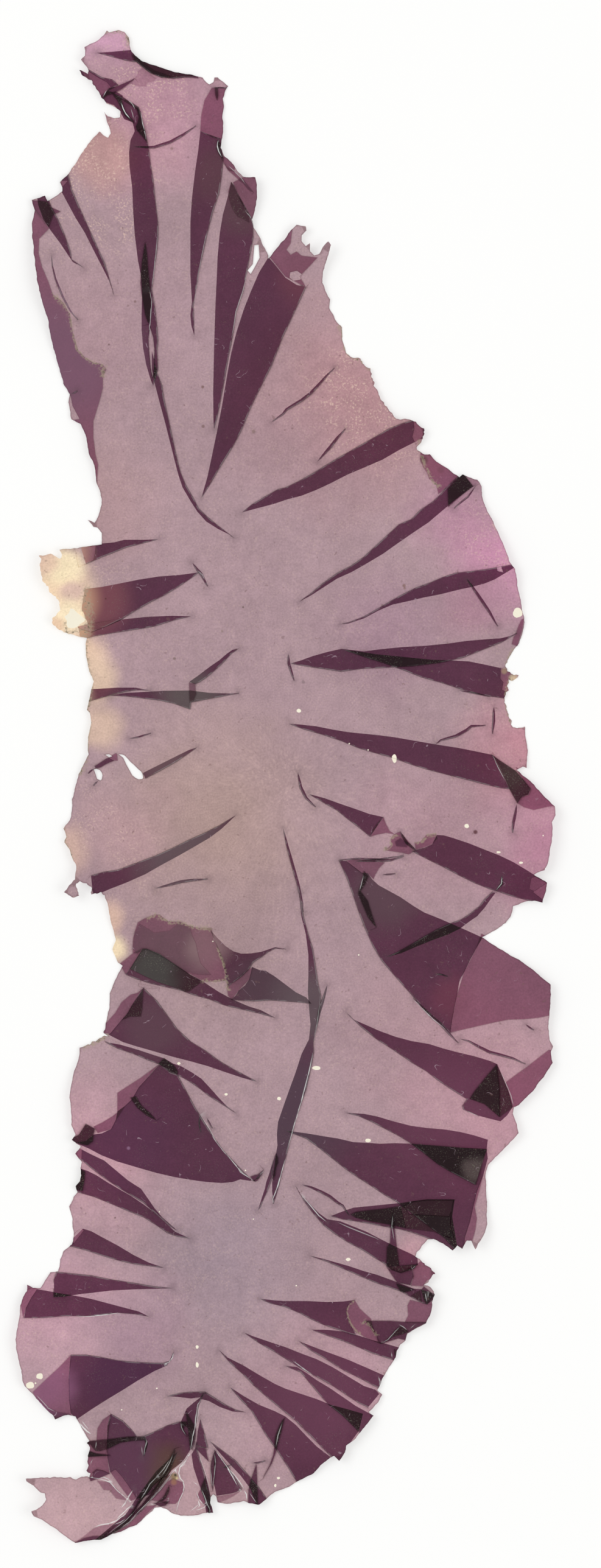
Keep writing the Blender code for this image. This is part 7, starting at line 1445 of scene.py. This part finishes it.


# The blade: the net raised into a closed sheet that carries its plies, its rim, and its painted shade and
# painted highlights as attributes
def makeBlade():
    folds, border, spots = readFolds(), frayedMargin(), spotLoops()
    holes = [spreadLoop(slit, sheet["marginSpacing"]) for slit in slits]
    points, faces = drawPlan(folds, border, holes, spots)
    print("plan of the membrane:", len(points), "points,", len(faces), "triangles")
    net = bmesh.new()
    corners = [net.verts.new((x, y, 0)) for x, y in points]
    for face in faces:
        net.faces.new([corners[i] for i in face])
    bmesh.ops.delete(net, geom=[v for v in net.verts if not v.link_faces], context="VERTS")
    bmesh.ops.remove_doubles(net, verts=net.verts[:], dist=sheet["weld"])
    dropStrays(net)
    bmesh.ops.recalc_face_normals(net, faces=net.faces[:])

    points = np.array([v.co.xy for v in net.verts])
    middles = np.array([face.calc_center_median().xy for face in net.faces])
    plies = np.ones(len(middles))
    footShade, gleam, worn = (np.zeros(len(middles)) for _ in range(3))
    apexShade = np.zeros(len(points))
    for fold in folds:
        within = inside(middles, fold["outline"])
        plies += fold["plies"] * within
        edge = fold["crisp"] + (fold["soft"][-1:] if fold["soft"] else [])
        away = distance(middles, edge, 1)
        # Painted shade: faces just outside a crisp edge, at the foot of its step, are darkened in
        # proportion to the plies
        beyond = (away < sheet["edgeReach"] * sheet["crispRun"]) & ~within
        shade = sheet["pleatFootShade"] if fold["soft"] else sheet["layerFootShade"]
        footShade = np.maximum(footShade, shade * fold["plies"] * beyond)
        if fold["soft"]:
            # Painted highlight: the strip just inside a crisp edge
            gleam = np.maximum(gleam, (away < sheet["edgeReach"] * sheet["gleamWidth"]) & within)
        # Painted shadow: a soft dark smudge around each sharp end of a pleat
        for x, y in fold["ends"]:
            away = np.hypot(points[:, 0] - x, points[:, 1] - y)
            apexShade = np.maximum(apexShade, smooth(1 - away / sheet["apexShadeReach"]))
    for loop in spots:
        worn = np.maximum(worn, inside(middles, loop))
    rim = distance(points, border + border[:1], sheet["rimReach"])
    for hole in holes:
        rim = np.minimum(rim, distance(points, hole + hole[:1], sheet["rimReach"]))
    glint, crust = np.zeros(len(points)), np.zeros(len(points))
    # Painted highlight on each wrinkle crest; the crest is also raised a little in the solid
    for tone, width, line in allWrinkles():
        fade = smooth(2 * np.minimum(distance(points, line[:1] * 2), distance(points, line[-1:] * 2)) + 0.1)
        glint = np.maximum(glint, tone * fade * (distance(points, line, 1) < sheet["weld"]))
    for width, line in crusts:
        crust = np.maximum(crust, 1 - distance(points, line, 2) / width / 2)
    low = undersideHeight(points)
    high = low + sheet["thickness"] + foldHeight(points, folds) + sheet["wrinkleRise"] * glint

    fields = {"plies": plies, "footShade": np.clip(footShade, 0, 1), "gleam": gleam, "worn": worn}
    for name, values in fields.items():
        layer = net.faces.layers.float.new(name)
        for face, value in zip(net.faces, values):
            face[layer] = value
    fields = {"apexShade": apexShade, "rim": np.minimum(rim, sheet["rimReach"]), "glint": glint, "crust": crust}
    for name, values in fields.items():
        layer = net.verts.layers.float.new(name)
        for vert, value in zip(net.verts, values):
            vert[layer] = value
    upperLayer = net.verts.layers.float.new("upper")
    for vert, bottom, top in zip(net.verts, low, high):
        vert.co.z = bottom
        vert[upperLayer] = top
    raised = bmesh.ops.extrude_face_region(net, geom=net.faces[:])
    for vert in (item for item in raised["geom"] if isinstance(item, bmesh.types.BMVert)):
        vert.co.z = vert[upperLayer]
    net.verts.layers.float.remove(net.verts.layers.float["upper"])

    outline = np.array(margin)
    middle = (outline.min(axis=0) + outline.max(axis=0)) / 2
    bmesh.ops.translate(net, verts=net.verts[:], vec=(-middle[0], -middle[1], 0))
    bmesh.ops.scale(net, verts=net.verts[:], vec=(mm, mm, mm))
    for vert in net.verts:
        for axis in range(3):
            vert.co[axis] = min(max(vert.co[axis], bladeLow[axis]), bladeHigh[axis])
    bmesh.ops.recalc_face_normals(net, faces=net.faces[:])
    mesh = bpy.data.meshes.new("membrane")
    net.to_mesh(mesh)
    net.free()
    mesh.shade_smooth()
    mesh.set_sharp_from_angle(angle=math.radians(sheet["sharpAngle"]))
    blade = bpy.data.objects.new("membrane", mesh)
    bpy.context.scene.collection.objects.link(blade)
    return blade


# sRGB hex to the linear values that the shader nodes take
def linear(code):
    values = [int(code[i:i + 2], 16) / 255 for i in (1, 3, 5)]
    return tuple(v / 12.92 if v <= 0.04045 else ((v + 0.055) / 1.055) ** 2.4 for v in values) + (1.0,)


# Add one node with its settings, then its inputs, each a value or a link from another node's socket
def addNode(tree, kind, inputs=None, **settings):
    node = tree.nodes.new(kind)
    for name, value in settings.items():
        setattr(node, name, value)
    for name, value in (inputs or {}).items():
        if isinstance(value, bpy.types.NodeSocket):
            tree.links.new(value, node.inputs[name])
        else:
            node.inputs[name].default_value = value
    return node


# Colour of one ply, by place: middle x, y and reach in mm, colour, strength
membrane = {
    "base": "#AA8E95",
    "tints": {
        "tip": (-24, 132, 24, "#B98C9C", 0.9),
        "tip, pink top": (-34, 142, 5, "#D2A0BA", 0.9),
        "neck": (-28, 122, 11, "#BB909A", 0.7),
        "upper left": (-36, 84, 20, "#A98990", 0.8),
        "upper middle": (-20, 90, 22, "#AC8E97", 0.6),
        "right shoulder": (14, 74, 26, "#B2878C", 0.9),
        "upper inside": (-4, 66, 14, "#A4858C", 0.7),
        "upper left edge": (-36, 54, 16, "#B08F92", 0.8),
        "right, inside": (20, 30, 16, "#A1808F", 0.75),
        "right edge, upper": (33, 52, 12, "#B88A9E", 0.8),
        "right edge, high": (42, 43, 14, "#CC8FAD", 0.9),
        "right edge, inside": (35, 34, 10, "#A67C8C", 0.7),
        "right edge, middle": (46, 6, 16, "#C08894", 0.9),
        "right edge, low": (50, -12, 16, "#B67F95", 0.9),
        "olive middle": (-14, -6, 26, "#AE928C", 0.9),
        "olive middle, low": (-14, -32, 20, "#A3888A", 0.7),
        "left, inside": (-30, -8, 12, "#B69296", 0.7),
        "right, low inside": (29, -8, 20, "#AB8791", 0.8),
        "lower right": (34, -52, 24, "#B68F99", 0.9),
        "lower right, inside": (19, -42, 13, "#A6878E", 0.7),
        "lower right edge": (42, -66, 22, "#BC909C", 0.9),
        "lower right, folded end": (24, -89, 6, "#C4949F", 0.8),
        "grey heart": (-12, -90, 22, "#9B8690", 0.9),
        "lower left": (-46, -100, 20, "#C59AA8", 0.9),
        "lower left, inside": (-28, -104, 13, "#A58593", 0.8),
        "left flank": (-38, -70, 20, "#C397A3", 0.9),
        "base right": (10, -118, 22, "#B68F9A", 0.9),
        "base": (-14, -136, 14, "#B8969B", 0.8),
        "base lobe": (-40, -138, 16, "#C3A0A5", 0.9),
    },
    "bleached": {
        "patch": (-44, 36, 9.5, "#EFD2B2", 1.0),
        "patch, creamy": (-42, 42, 4, "#F9E6C0", 0.9),
        "patch, pink corner": (-45, 43, 2.6, "#E2C1AA", 0.8),
        "patch, mauve": (-40.5, 37, 2.6, "#CFAEA8", 0.7),
        "patch, pale foot": (-41, 32, 4.5, "#F8E5C2", 0.9),
        "patch, pink foot": (-43.6, 31, 2, "#E6BFA2", 0.7),
        "patch, low": (-39, 25, 6, "#E0C0A6", 0.9),
        "edge, high": (-36.5, 21, 6, "#DCBFA8", 0.9),
        "edge, high in": (-35.5, 12, 5.2, "#DCBDA8", 0.8),
        "edge, middle": (-42, -12, 5.5, "#D6B3A2", 0.7),
        "edge, low": (-34, -25, 4.5, "#DBB8A4", 0.8),
        "edge, foot": (-32.5, -31, 3.5, "#F3DDB8", 0.9),
        "right bay": (45, 18, 4, "#D9B6A6", 0.8),
        "neck, browned": (-35, 120, 8, "#BF9490", 0.75),
    },
    # Where folded membrane has dried to another tone
    "aged": {
        "lower right pleats": (30, -62, 16, "#6C3E54", 0.4),
        "base right pleats": (6, -116, 14, "#6E4257", 0.4),
        "left margin": (-42, 82, 16, "#745468", 1.5),
        "great dart": (-31, -112, 11, "#452342", 0.5),
        "great dart, turned": (-46, -114, 7, "#915E7F", 1.0),
        "great triangle": (-30, -68, 12, "#4C2B46", 0.4),
        "seventh left pleat": (-20, -12, 12, "#645659", 0.65),
        "sixth left pleat": (-22, 4, 6, "#6B5558", 0.6),
        "left kite": (-18, 17.2, 7, "#5B5352", 0.75),
        "torn sheet, pale side": (-15, -31, 5, "#8C6F72", 0.8),
        "broad wedge, top": (4, 97, 8, "#6B3A48", 0.6),
        "torn sheet": (-22, -31, 9, "#6C5A5C", 0.35),
        "middle leaf": (-4, -38, 8, "#4C3E44", 0.6),
        "ninth left pleat": (-25, -46, 8, "#5C424C", 0.6),
        "central fold, high": (5, -42, 9, "#5F5256", 0.75),
        "central fold": (2, -62, 15, "#4E3D48", 0.75),
        "great wedge, top": (19, -20, 9, "#5B464D", 0.65),
        "great wedge, red band": (32, -40, 5, "#6E3748", 0.5),
        "short tall pleat": (-8, 110, 6, "#5C4248", 0.6),
        "tall pleat, top": (-13, 117, 7, "#5A3C42", 0.5),
        "around the holdfast": (-23, -129.5, 5.5, "#5A4034", 0.8),
        "base panel": (-30, -129, 8, "#5C3A4F", 0.5),
    },
    # Where four and more plies lie on each other
    "overlapped": {
        "left overlap": (-25, -35, 6, "#474643", 0.75),
        "fourth right pleat": (43, 2, 4, "#46423A", 0.4),
        "eighth right pleat": (36.5, -73, 3, "#5E504F", 0.6),
        "around the holdfast": (-23, -130, 5, "#3E2E26", 0.5),
    },
    # Folded ends that have bleached like the sheet beside them
    "faded": {
        "first left pleat": (-42.5, 44.8, 6, "#D9AE8E", 1.0),
        "second left pleat, red": (-37, 35.5, 8.5, "#7E4A52", 0.7),
        "second left pleat": (-41.5, 35.5, 6.5, "#B98E76", 1.0),
        "third left pleat": (-41, 29.5, 4.5, "#C99E80", 0.9),
        "left sliver": (-39.5, 17, 3.5, "#A98578", 0.6),
    },
    # Where pale flecks of dried mucilage lie on the single sheet
    "flecked": {
        "tip": (-26, 134, 13, 0.9),
        "neck": (-37, 114, 16, 1.0),
        "right shoulder": (16, 72, 16, 0.9),
        "right edge": (42, 46, 12, 0.6),
        "left edge": (-40, 34, 14, 0.7),
        "left edge, low": (-36, -14, 18, 0.6),
        "lower left": (-46, -104, 10, 0.5),
    },
    "crusted": {
        "holdfast": (-21.2, -131.6, 0.9, "#86714A", 0.85),
        "holdfast, pale bit": (-20.7, -131.9, 0.3, "#C9B68C", 0.9),
        "holdfast, dark bit": (-21.0, -131.3, 0.3, "#33301F", 0.9),
        "holdfast, tan edge": (-21.3, -132.7, 0.7, "#A5765A", 0.6),
        "bay, rust": (43.9, 22.6, 0.5, "#9A5C44", 0.8),
        "bay, rust low": (42.8, 17.2, 0.5, "#A0624A", 0.7),
        "bay, pale bit": (43.4, 20.6, 0.9, "#D9C3A2", 0.8),
        "bay, tan corner": (41.7, 22.0, 0.7, "#A58E70", 0.6),
        "turned edge, brown": (26.4, 62.2, 0.9, "#5E3A40", 0.8),
        "turned edge, brown low": (29.6, 60.4, 0.8, "#62404A", 0.7),
        "turned edge, red": (28.6, 61.0, 2.6, "#8A4C62", 0.4),
        "brown mark": (36.2, -8.7, 0.5, "#5A3338", 0.9),
        "brown smudge": (22.6, 38.3, 0.4, "#7A5C52", 0.7),
        "brown smudge, low": (22.7, 37.8, 0.3, "#7A5C52", 0.6),
        "smudge by the crease": (3.4, 19.9, 0.4, "#806C70", 0.6),
        "pale mark": (-29.95, -69.0, 0.4, "#8E6A86", 0.7),
        "speck, high": (-15.8, 76.2, 0.35, "#6A4C44", 0.7),
        "speck, high low": (-15.7, 68.7, 0.4, "#6A5048", 0.6),
        "speck, middle": (-6.1, 67.7, 0.45, "#705A50", 0.5),
        "speck, long pleat": (-28.7, 92.5, 0.3, "#6A5048", 0.6),
        "speck, left": (-33.7, 84.3, 0.25, "#604840", 0.6),
        "speck, neck": (-21.7, 121.7, 0.35, "#75604E", 0.5),
        "speck, kite": (-21.2, 24.4, 0.35, "#6A5A50", 0.6),
        "speck, by the kite": (-12.1, 29.6, 0.3, "#7A685E", 0.5),
        "speck, centre": (-8.1, 34.2, 0.25, "#54443E", 0.7),
        "speck, low left": (-32.5, -82.3, 0.22, "#5A3E3E", 0.7),
        "speck, second left": (-34.3, 35.8, 0.2, "#54302E", 0.8),
        "speck, wedge": (4.2, 74.4, 0.22, "#6A4E44", 0.6),
    },
    "veils": {1: (1, 1, 1), 2: (0.5, 0.29, 0.4), 3: (0.226, 0.1, 0.18), 4: (0.1, 0.04, 0.065),
              5: (0.04, 0.018, 0.026), 8: (0.018, 0.014, 0.014)},
    # Among these tones are painted shade for pleat ends and step feet, and painted highlights for fold
    # edges and wrinkle crests
    "tones": {
        "rim": "#5E3D42", "apexShade": "#4A3840", "footShade": "#2A1D22", "gleam": "#A3A09F", "glint": "#EDEFEC",
        "dust": "#7C7B6C", "scratch": "#B09AA6", "fleck": "#DDBFB0", "speck": "#6E5350",
        "crust": "#A3947F", "crust, dark": "#5C5544", "worn": "#F3ECD8",
    },
    "grainSize": 0.35,      # cells and dried mucilage, drawn coarser than life so that they show
    "blotchSize": 2.4,
    "cloudSize": 15.0,
    "straySize": 11,
    "strayReach": 7.0,      # how far the tints wander from their round zones
    "dustSize": 0.22,
    "scratchSize": 2.6,
    "fleckSize": 0.36,
    "speckSize": 0.9,
    "crustSize": 0.45,
    "bumpSize": 0.5,        # leathery grain of the dried surface
}


# Dried laver membrane: pressed and air-dried, dull with a faint satin; each further ply darkens it. Its
# colour also carries painted shade at the foot of steps and around pleat ends, and painted highlights along
# fold edges and wrinkle crests
def driedMembrane():
    material = bpy.data.materials.new("dried laver membrane")
    material.use_nodes = True
    tree = material.node_tree
    shader = tree.nodes["Principled BSDF"]
    spot = addNode(tree, "ShaderNodeTexCoord")
    place = addNode(tree, "ShaderNodeVectorMath", {0: spot.outputs["Object"], "Scale": 1 / mm},
                    operation="SCALE")
    place = place.outputs[0]
    flat = addNode(tree, "ShaderNodeVectorMath", {0: place, 1: (1, 1, 0)}, operation="MULTIPLY").outputs[0]
    stray = addNode(tree, "ShaderNodeTexNoise",
                    {"Vector": place, "Scale": 1 / membrane["straySize"], "Detail": 3.0})
    stray = addNode(tree, "ShaderNodeVectorMath", {0: stray.outputs["Color"], 1: (0.5, 0.5, 0.5)},
                    operation="SUBTRACT")
    reach = 2 * membrane["strayReach"]
    strayed, nearby = (addNode(tree, "ShaderNodeVectorMath",
                               {0: stray.outputs[0], 1: (share * reach, share * reach, 0), 2: flat},
                               operation="MULTIPLY_ADD").outputs[0] for share in (1, 0.35))

    def attribute(name):
        return addNode(tree, "ShaderNodeAttribute", attribute_name=name).outputs["Fac"]

    def ramped(value, start, end, low, high):
        return addNode(tree, "ShaderNodeMapRange",
                       {"Value": value, "From Min": start, "From Max": end, "To Min": low, "To Max": high},
                       interpolation_type="SMOOTHSTEP").outputs[0]

    def mixed(share, under, code):
        return addNode(tree, "ShaderNodeMix", {0: share, 6: under, 7: linear(code)},
                       data_type="RGBA").outputs[2]

    def product(first, second):
        return addNode(tree, "ShaderNodeMath", {0: first, 1: second}, operation="MULTIPLY").outputs[0]

    def near(x, y, reach, strength, where, sharpness):
        away = addNode(tree, "ShaderNodeVectorMath", {0: where, 1: (x, y, 0)}, operation="DISTANCE")
        return ramped(away.outputs["Value"], reach * sharpness, reach * 1.15, strength, 0.0)

    def zones(colour, table, where, sharpness, limit=None):
        for x, y, reach, code, strength in table.values():
            share = near(x, y, reach, strength, where, sharpness)
            if limit:
                share = product(share, limit)
            colour = mixed(share, colour, code)
        return colour

    tones = membrane["tones"]
    base = addNode(tree, "ShaderNodeRGB")
    base.outputs[0].default_value = linear(membrane["base"])
    colour = zones(base.outputs[0], membrane["tints"], strayed, 0.0)
    colour = mixed(ramped(attribute("rim"), 0.0, 0.3, 0.45, 0.0), colour, tones["rim"])
    colour = zones(colour, membrane["bleached"], nearby, 0.35)

    shade = None
    for size, swing, detail in ((membrane["cloudSize"], 0.1, 3.0), (membrane["blotchSize"], 0.07, 4.0),
                                (membrane["grainSize"], 0.12, 2.0)):
        cloud = addNode(tree, "ShaderNodeTexNoise", {"Vector": place, "Scale": 1 / size, "Detail": detail})
        level = addNode(tree, "ShaderNodeMapRange",
                        {"Value": cloud.outputs[0], "From Min": 0.25, "From Max": 0.75,
                         "To Min": 1 - swing, "To Max": 1 + swing})
        if shade:
            level = addNode(tree, "ShaderNodeMath", {0: shade, 1: level.outputs[0]}, operation="MULTIPLY")
        shade = level.outputs[0]
    clouded = addNode(tree, "ShaderNodeVectorMath", {0: colour, "Scale": shade}, operation="SCALE")
    colour = clouded.outputs[0]

    plies = attribute("plies")
    veil = addNode(tree, "ShaderNodeValToRGB", {0: product(plies, 1 / 8)})
    ramp = veil.color_ramp.elements
    for number, (count, values) in enumerate(membrane["veils"].items()):
        stop = ramp[number] if number < 2 else ramp.new(count / 8)
        stop.position = count / 8
        stop.color = values + (1,)
    colour = addNode(tree, "ShaderNodeMix", {0: 1.0, 6: colour, 7: veil.outputs[0]},
                     data_type="RGBA", blend_type="MULTIPLY").outputs[2]

    folded = ramped(plies, 1.5, 2.6, 0.0, 1.0)
    overlapped = ramped(plies, 3.3, 4.3, 0.0, 1.0)
    threePlies = product(folded, ramped(plies, 3.3, 4.3, 1.0, 0.0))
    colour = zones(colour, membrane["aged"], nearby, 0.3, threePlies)
    colour = zones(colour, membrane["overlapped"], nearby, 0.3, overlapped)
    colour = zones(colour, membrane["faded"], flat, 0.45, folded)

    def speckled(size, start, end, detail=2.0):
        cloud = addNode(tree, "ShaderNodeTexNoise", {"Vector": place, "Scale": 1 / size, "Detail": detail})
        return ramped(cloud.outputs[0], start, end, 0.0, 1.0)

    # Dust grains and hair-fine scratches show pale on the dark folds
    dust = product(speckled(membrane["dustSize"], 0.56, 0.7), speckled(5, 0.35, 0.7))
    colour = mixed(product(dust, ramped(plies, 2.0, 5.0, 0.07, 0.5)), colour, tones["dust"])
    hairs = addNode(tree, "ShaderNodeTexNoise",
                    {"Vector": place, "Scale": 1 / membrane["scratchSize"], "Detail": 1.0})
    hairs = addNode(tree, "ShaderNodeMath", {0: hairs.outputs[0], 1: 0.5, 2: 0.006}, operation="COMPARE")
    hairs = product(product(hairs.outputs[0], speckled(1.7, 0.6, 0.66)), folded)
    colour = mixed(product(hairs, 0.5), colour, tones["scratch"])
    # Pale flecks and brown specks on the single sheet
    single = ramped(plies, 1.1, 1.6, 1.0, 0.0)
    share = 0.25
    for x, y, reach, strength in membrane["flecked"].values():
        zone = near(x, y, reach, strength, strayed, 0.4)
        share = addNode(tree, "ShaderNodeMath", {0: share, 1: zone}, operation="MAXIMUM").outputs[0]
    flecks = product(product(speckled(membrane["fleckSize"], 0.5, 0.72), speckled(4, 0.35, 0.6)), single)
    colour = mixed(product(product(flecks, 0.75), share), colour, tones["fleck"])
    colour = mixed(product(speckled(membrane["speckSize"], 0.68, 0.76), 0.4), colour, tones["speck"])
    colour = zones(colour, membrane["crusted"], flat, 0.4)

    # Painted shadow: a soft dark smudge around each pleat's sharp end
    colour = mixed(product(attribute("apexShade"), 0.3), colour, tones["apexShade"])
    # Painted shade: a dark strip at the foot of each crisp step
    colour = mixed(product(attribute("footShade"), 0.6), colour, tones["footShade"])
    crust = product(attribute("crust"), speckled(membrane["crustSize"], 0.25, 0.65, 3.0))
    colour = mixed(ramped(crust, 0.2, 0.7, 0.0, 0.6), colour, tones["crust"])
    darkCrust = product(ramped(crust, 0.45, 0.8, 0.0, 0.7), speckled(0.5, 0.55, 0.65))
    colour = mixed(darkCrust, colour, tones["crust, dark"])
    colour = mixed(attribute("worn"), colour, tones["worn"])
    # Painted highlight: a faint grey line along the crisp fold edges
    gleam = product(attribute("gleam"), speckled(1.6, 0.4, 0.6))
    colour = mixed(product(gleam, ramped(plies, 3.3, 4.3, 0.3, 0.12)), colour, tones["gleam"])
    # Painted highlight: near-white lines along the wrinkle crests
    glint = product(product(attribute("glint"), 1.3), speckled(1.3, 0.0, 0.42))
    colour = mixed(glint, colour, tones["glint"])
    tree.links.new(colour, shader.inputs["Base Color"])

    grain = addNode(tree, "ShaderNodeTexNoise",
                    {"Vector": place, "Scale": 1 / membrane["bumpSize"], "Detail": 4.0})
    bump = addNode(tree, "ShaderNodeBump",
                   {"Height": grain.outputs[0], "Strength": 0.35, "Distance": 0.05 * mm})
    tree.links.new(bump.outputs[0], shader.inputs["Normal"])
    shader.inputs["Roughness"].default_value = 0.55
    shader.inputs["Specular IOR Level"].default_value = 0.12
    return material


# Opal acrylic board, softly lit from below: close to pure white, with weak shadows
def paleGround():
    material = bpy.data.materials.new("opal acrylic board")
    material.use_nodes = True
    shader = material.node_tree.nodes["Principled BSDF"]
    shader.inputs["Base Color"].default_value = linear("#BCBCBB")
    shader.inputs["Emission Color"].default_value = linear("#FFFFFE")
    shader.inputs["Emission Strength"].default_value = 0.48
    shader.inputs["Roughness"].default_value = 0.9
    shader.inputs["Specular IOR Level"].default_value = 0.1
    return material


studio = {
    "viewAt": (2.85, 0.46),     # what the camera looks straight down on, mm
    "viewHeight": 299.2,
    "lens": 180,
    "sensor": 36,
    "world": 0.66,
    "softboxes": {"left": (-0.9, 0.35, 1.3, 7.5), "right": (0.95, -0.3, 1.3, 5.5)},
    "softboxSize": 0.9,
    "floorSize": 6.0,
    "floorGap": 0.02,
}


def setStudio():
    scene = bpy.context.scene
    bpy.ops.mesh.primitive_plane_add(size=studio["floorSize"])
    floor = bpy.context.object
    floor.name = "floor"
    floor.data.transform(Matrix.Translation((0, 0, bladeLow.z - studio["floorGap"] * mm)))
    floor.data.materials.append(paleGround())

    world = scene.world or bpy.data.worlds.new("soft room")
    scene.world = world
    world.use_nodes = True
    sky = world.node_tree.nodes["Background"]
    sky.inputs[0].default_value = (1, 1, 1, 1)
    sky.inputs[1].default_value = studio["world"]
    for name, (x, y, z, watts) in studio["softboxes"].items():
        light = bpy.data.lights.new("softbox " + name, "AREA")
        light.shape = "SQUARE"
        light.size = studio["softboxSize"]
        light.energy = watts
        lamp = bpy.data.objects.new("softbox " + name, light)
        lamp.location = (x, y, z)
        lamp.rotation_euler = Vector((x, y, z)).to_track_quat("Z", "Y").to_euler()
        scene.collection.objects.link(lamp)

    lens = bpy.data.cameras.new("camera")
    lens.lens = studio["lens"]
    lens.sensor_fit = "VERTICAL"
    lens.sensor_height = studio["sensor"]
    lens.clip_end = 20
    camera = bpy.data.objects.new("camera", lens)
    x, y = studio["viewAt"]
    height = studio["viewHeight"] * studio["lens"] / studio["sensor"]
    camera.location = (x * mm, y * mm, height * mm)
    scene.collection.objects.link(camera)
    scene.camera = camera
    scene.view_settings.view_transform = "Standard"


blade = makeBlade()
blade.data.materials.append(driedMembrane())
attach(blade, "root")
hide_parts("blade")
print("membrane made:", len(blade.data.polygons), "faces")
setStudio()
print("floor, lights and camera set")
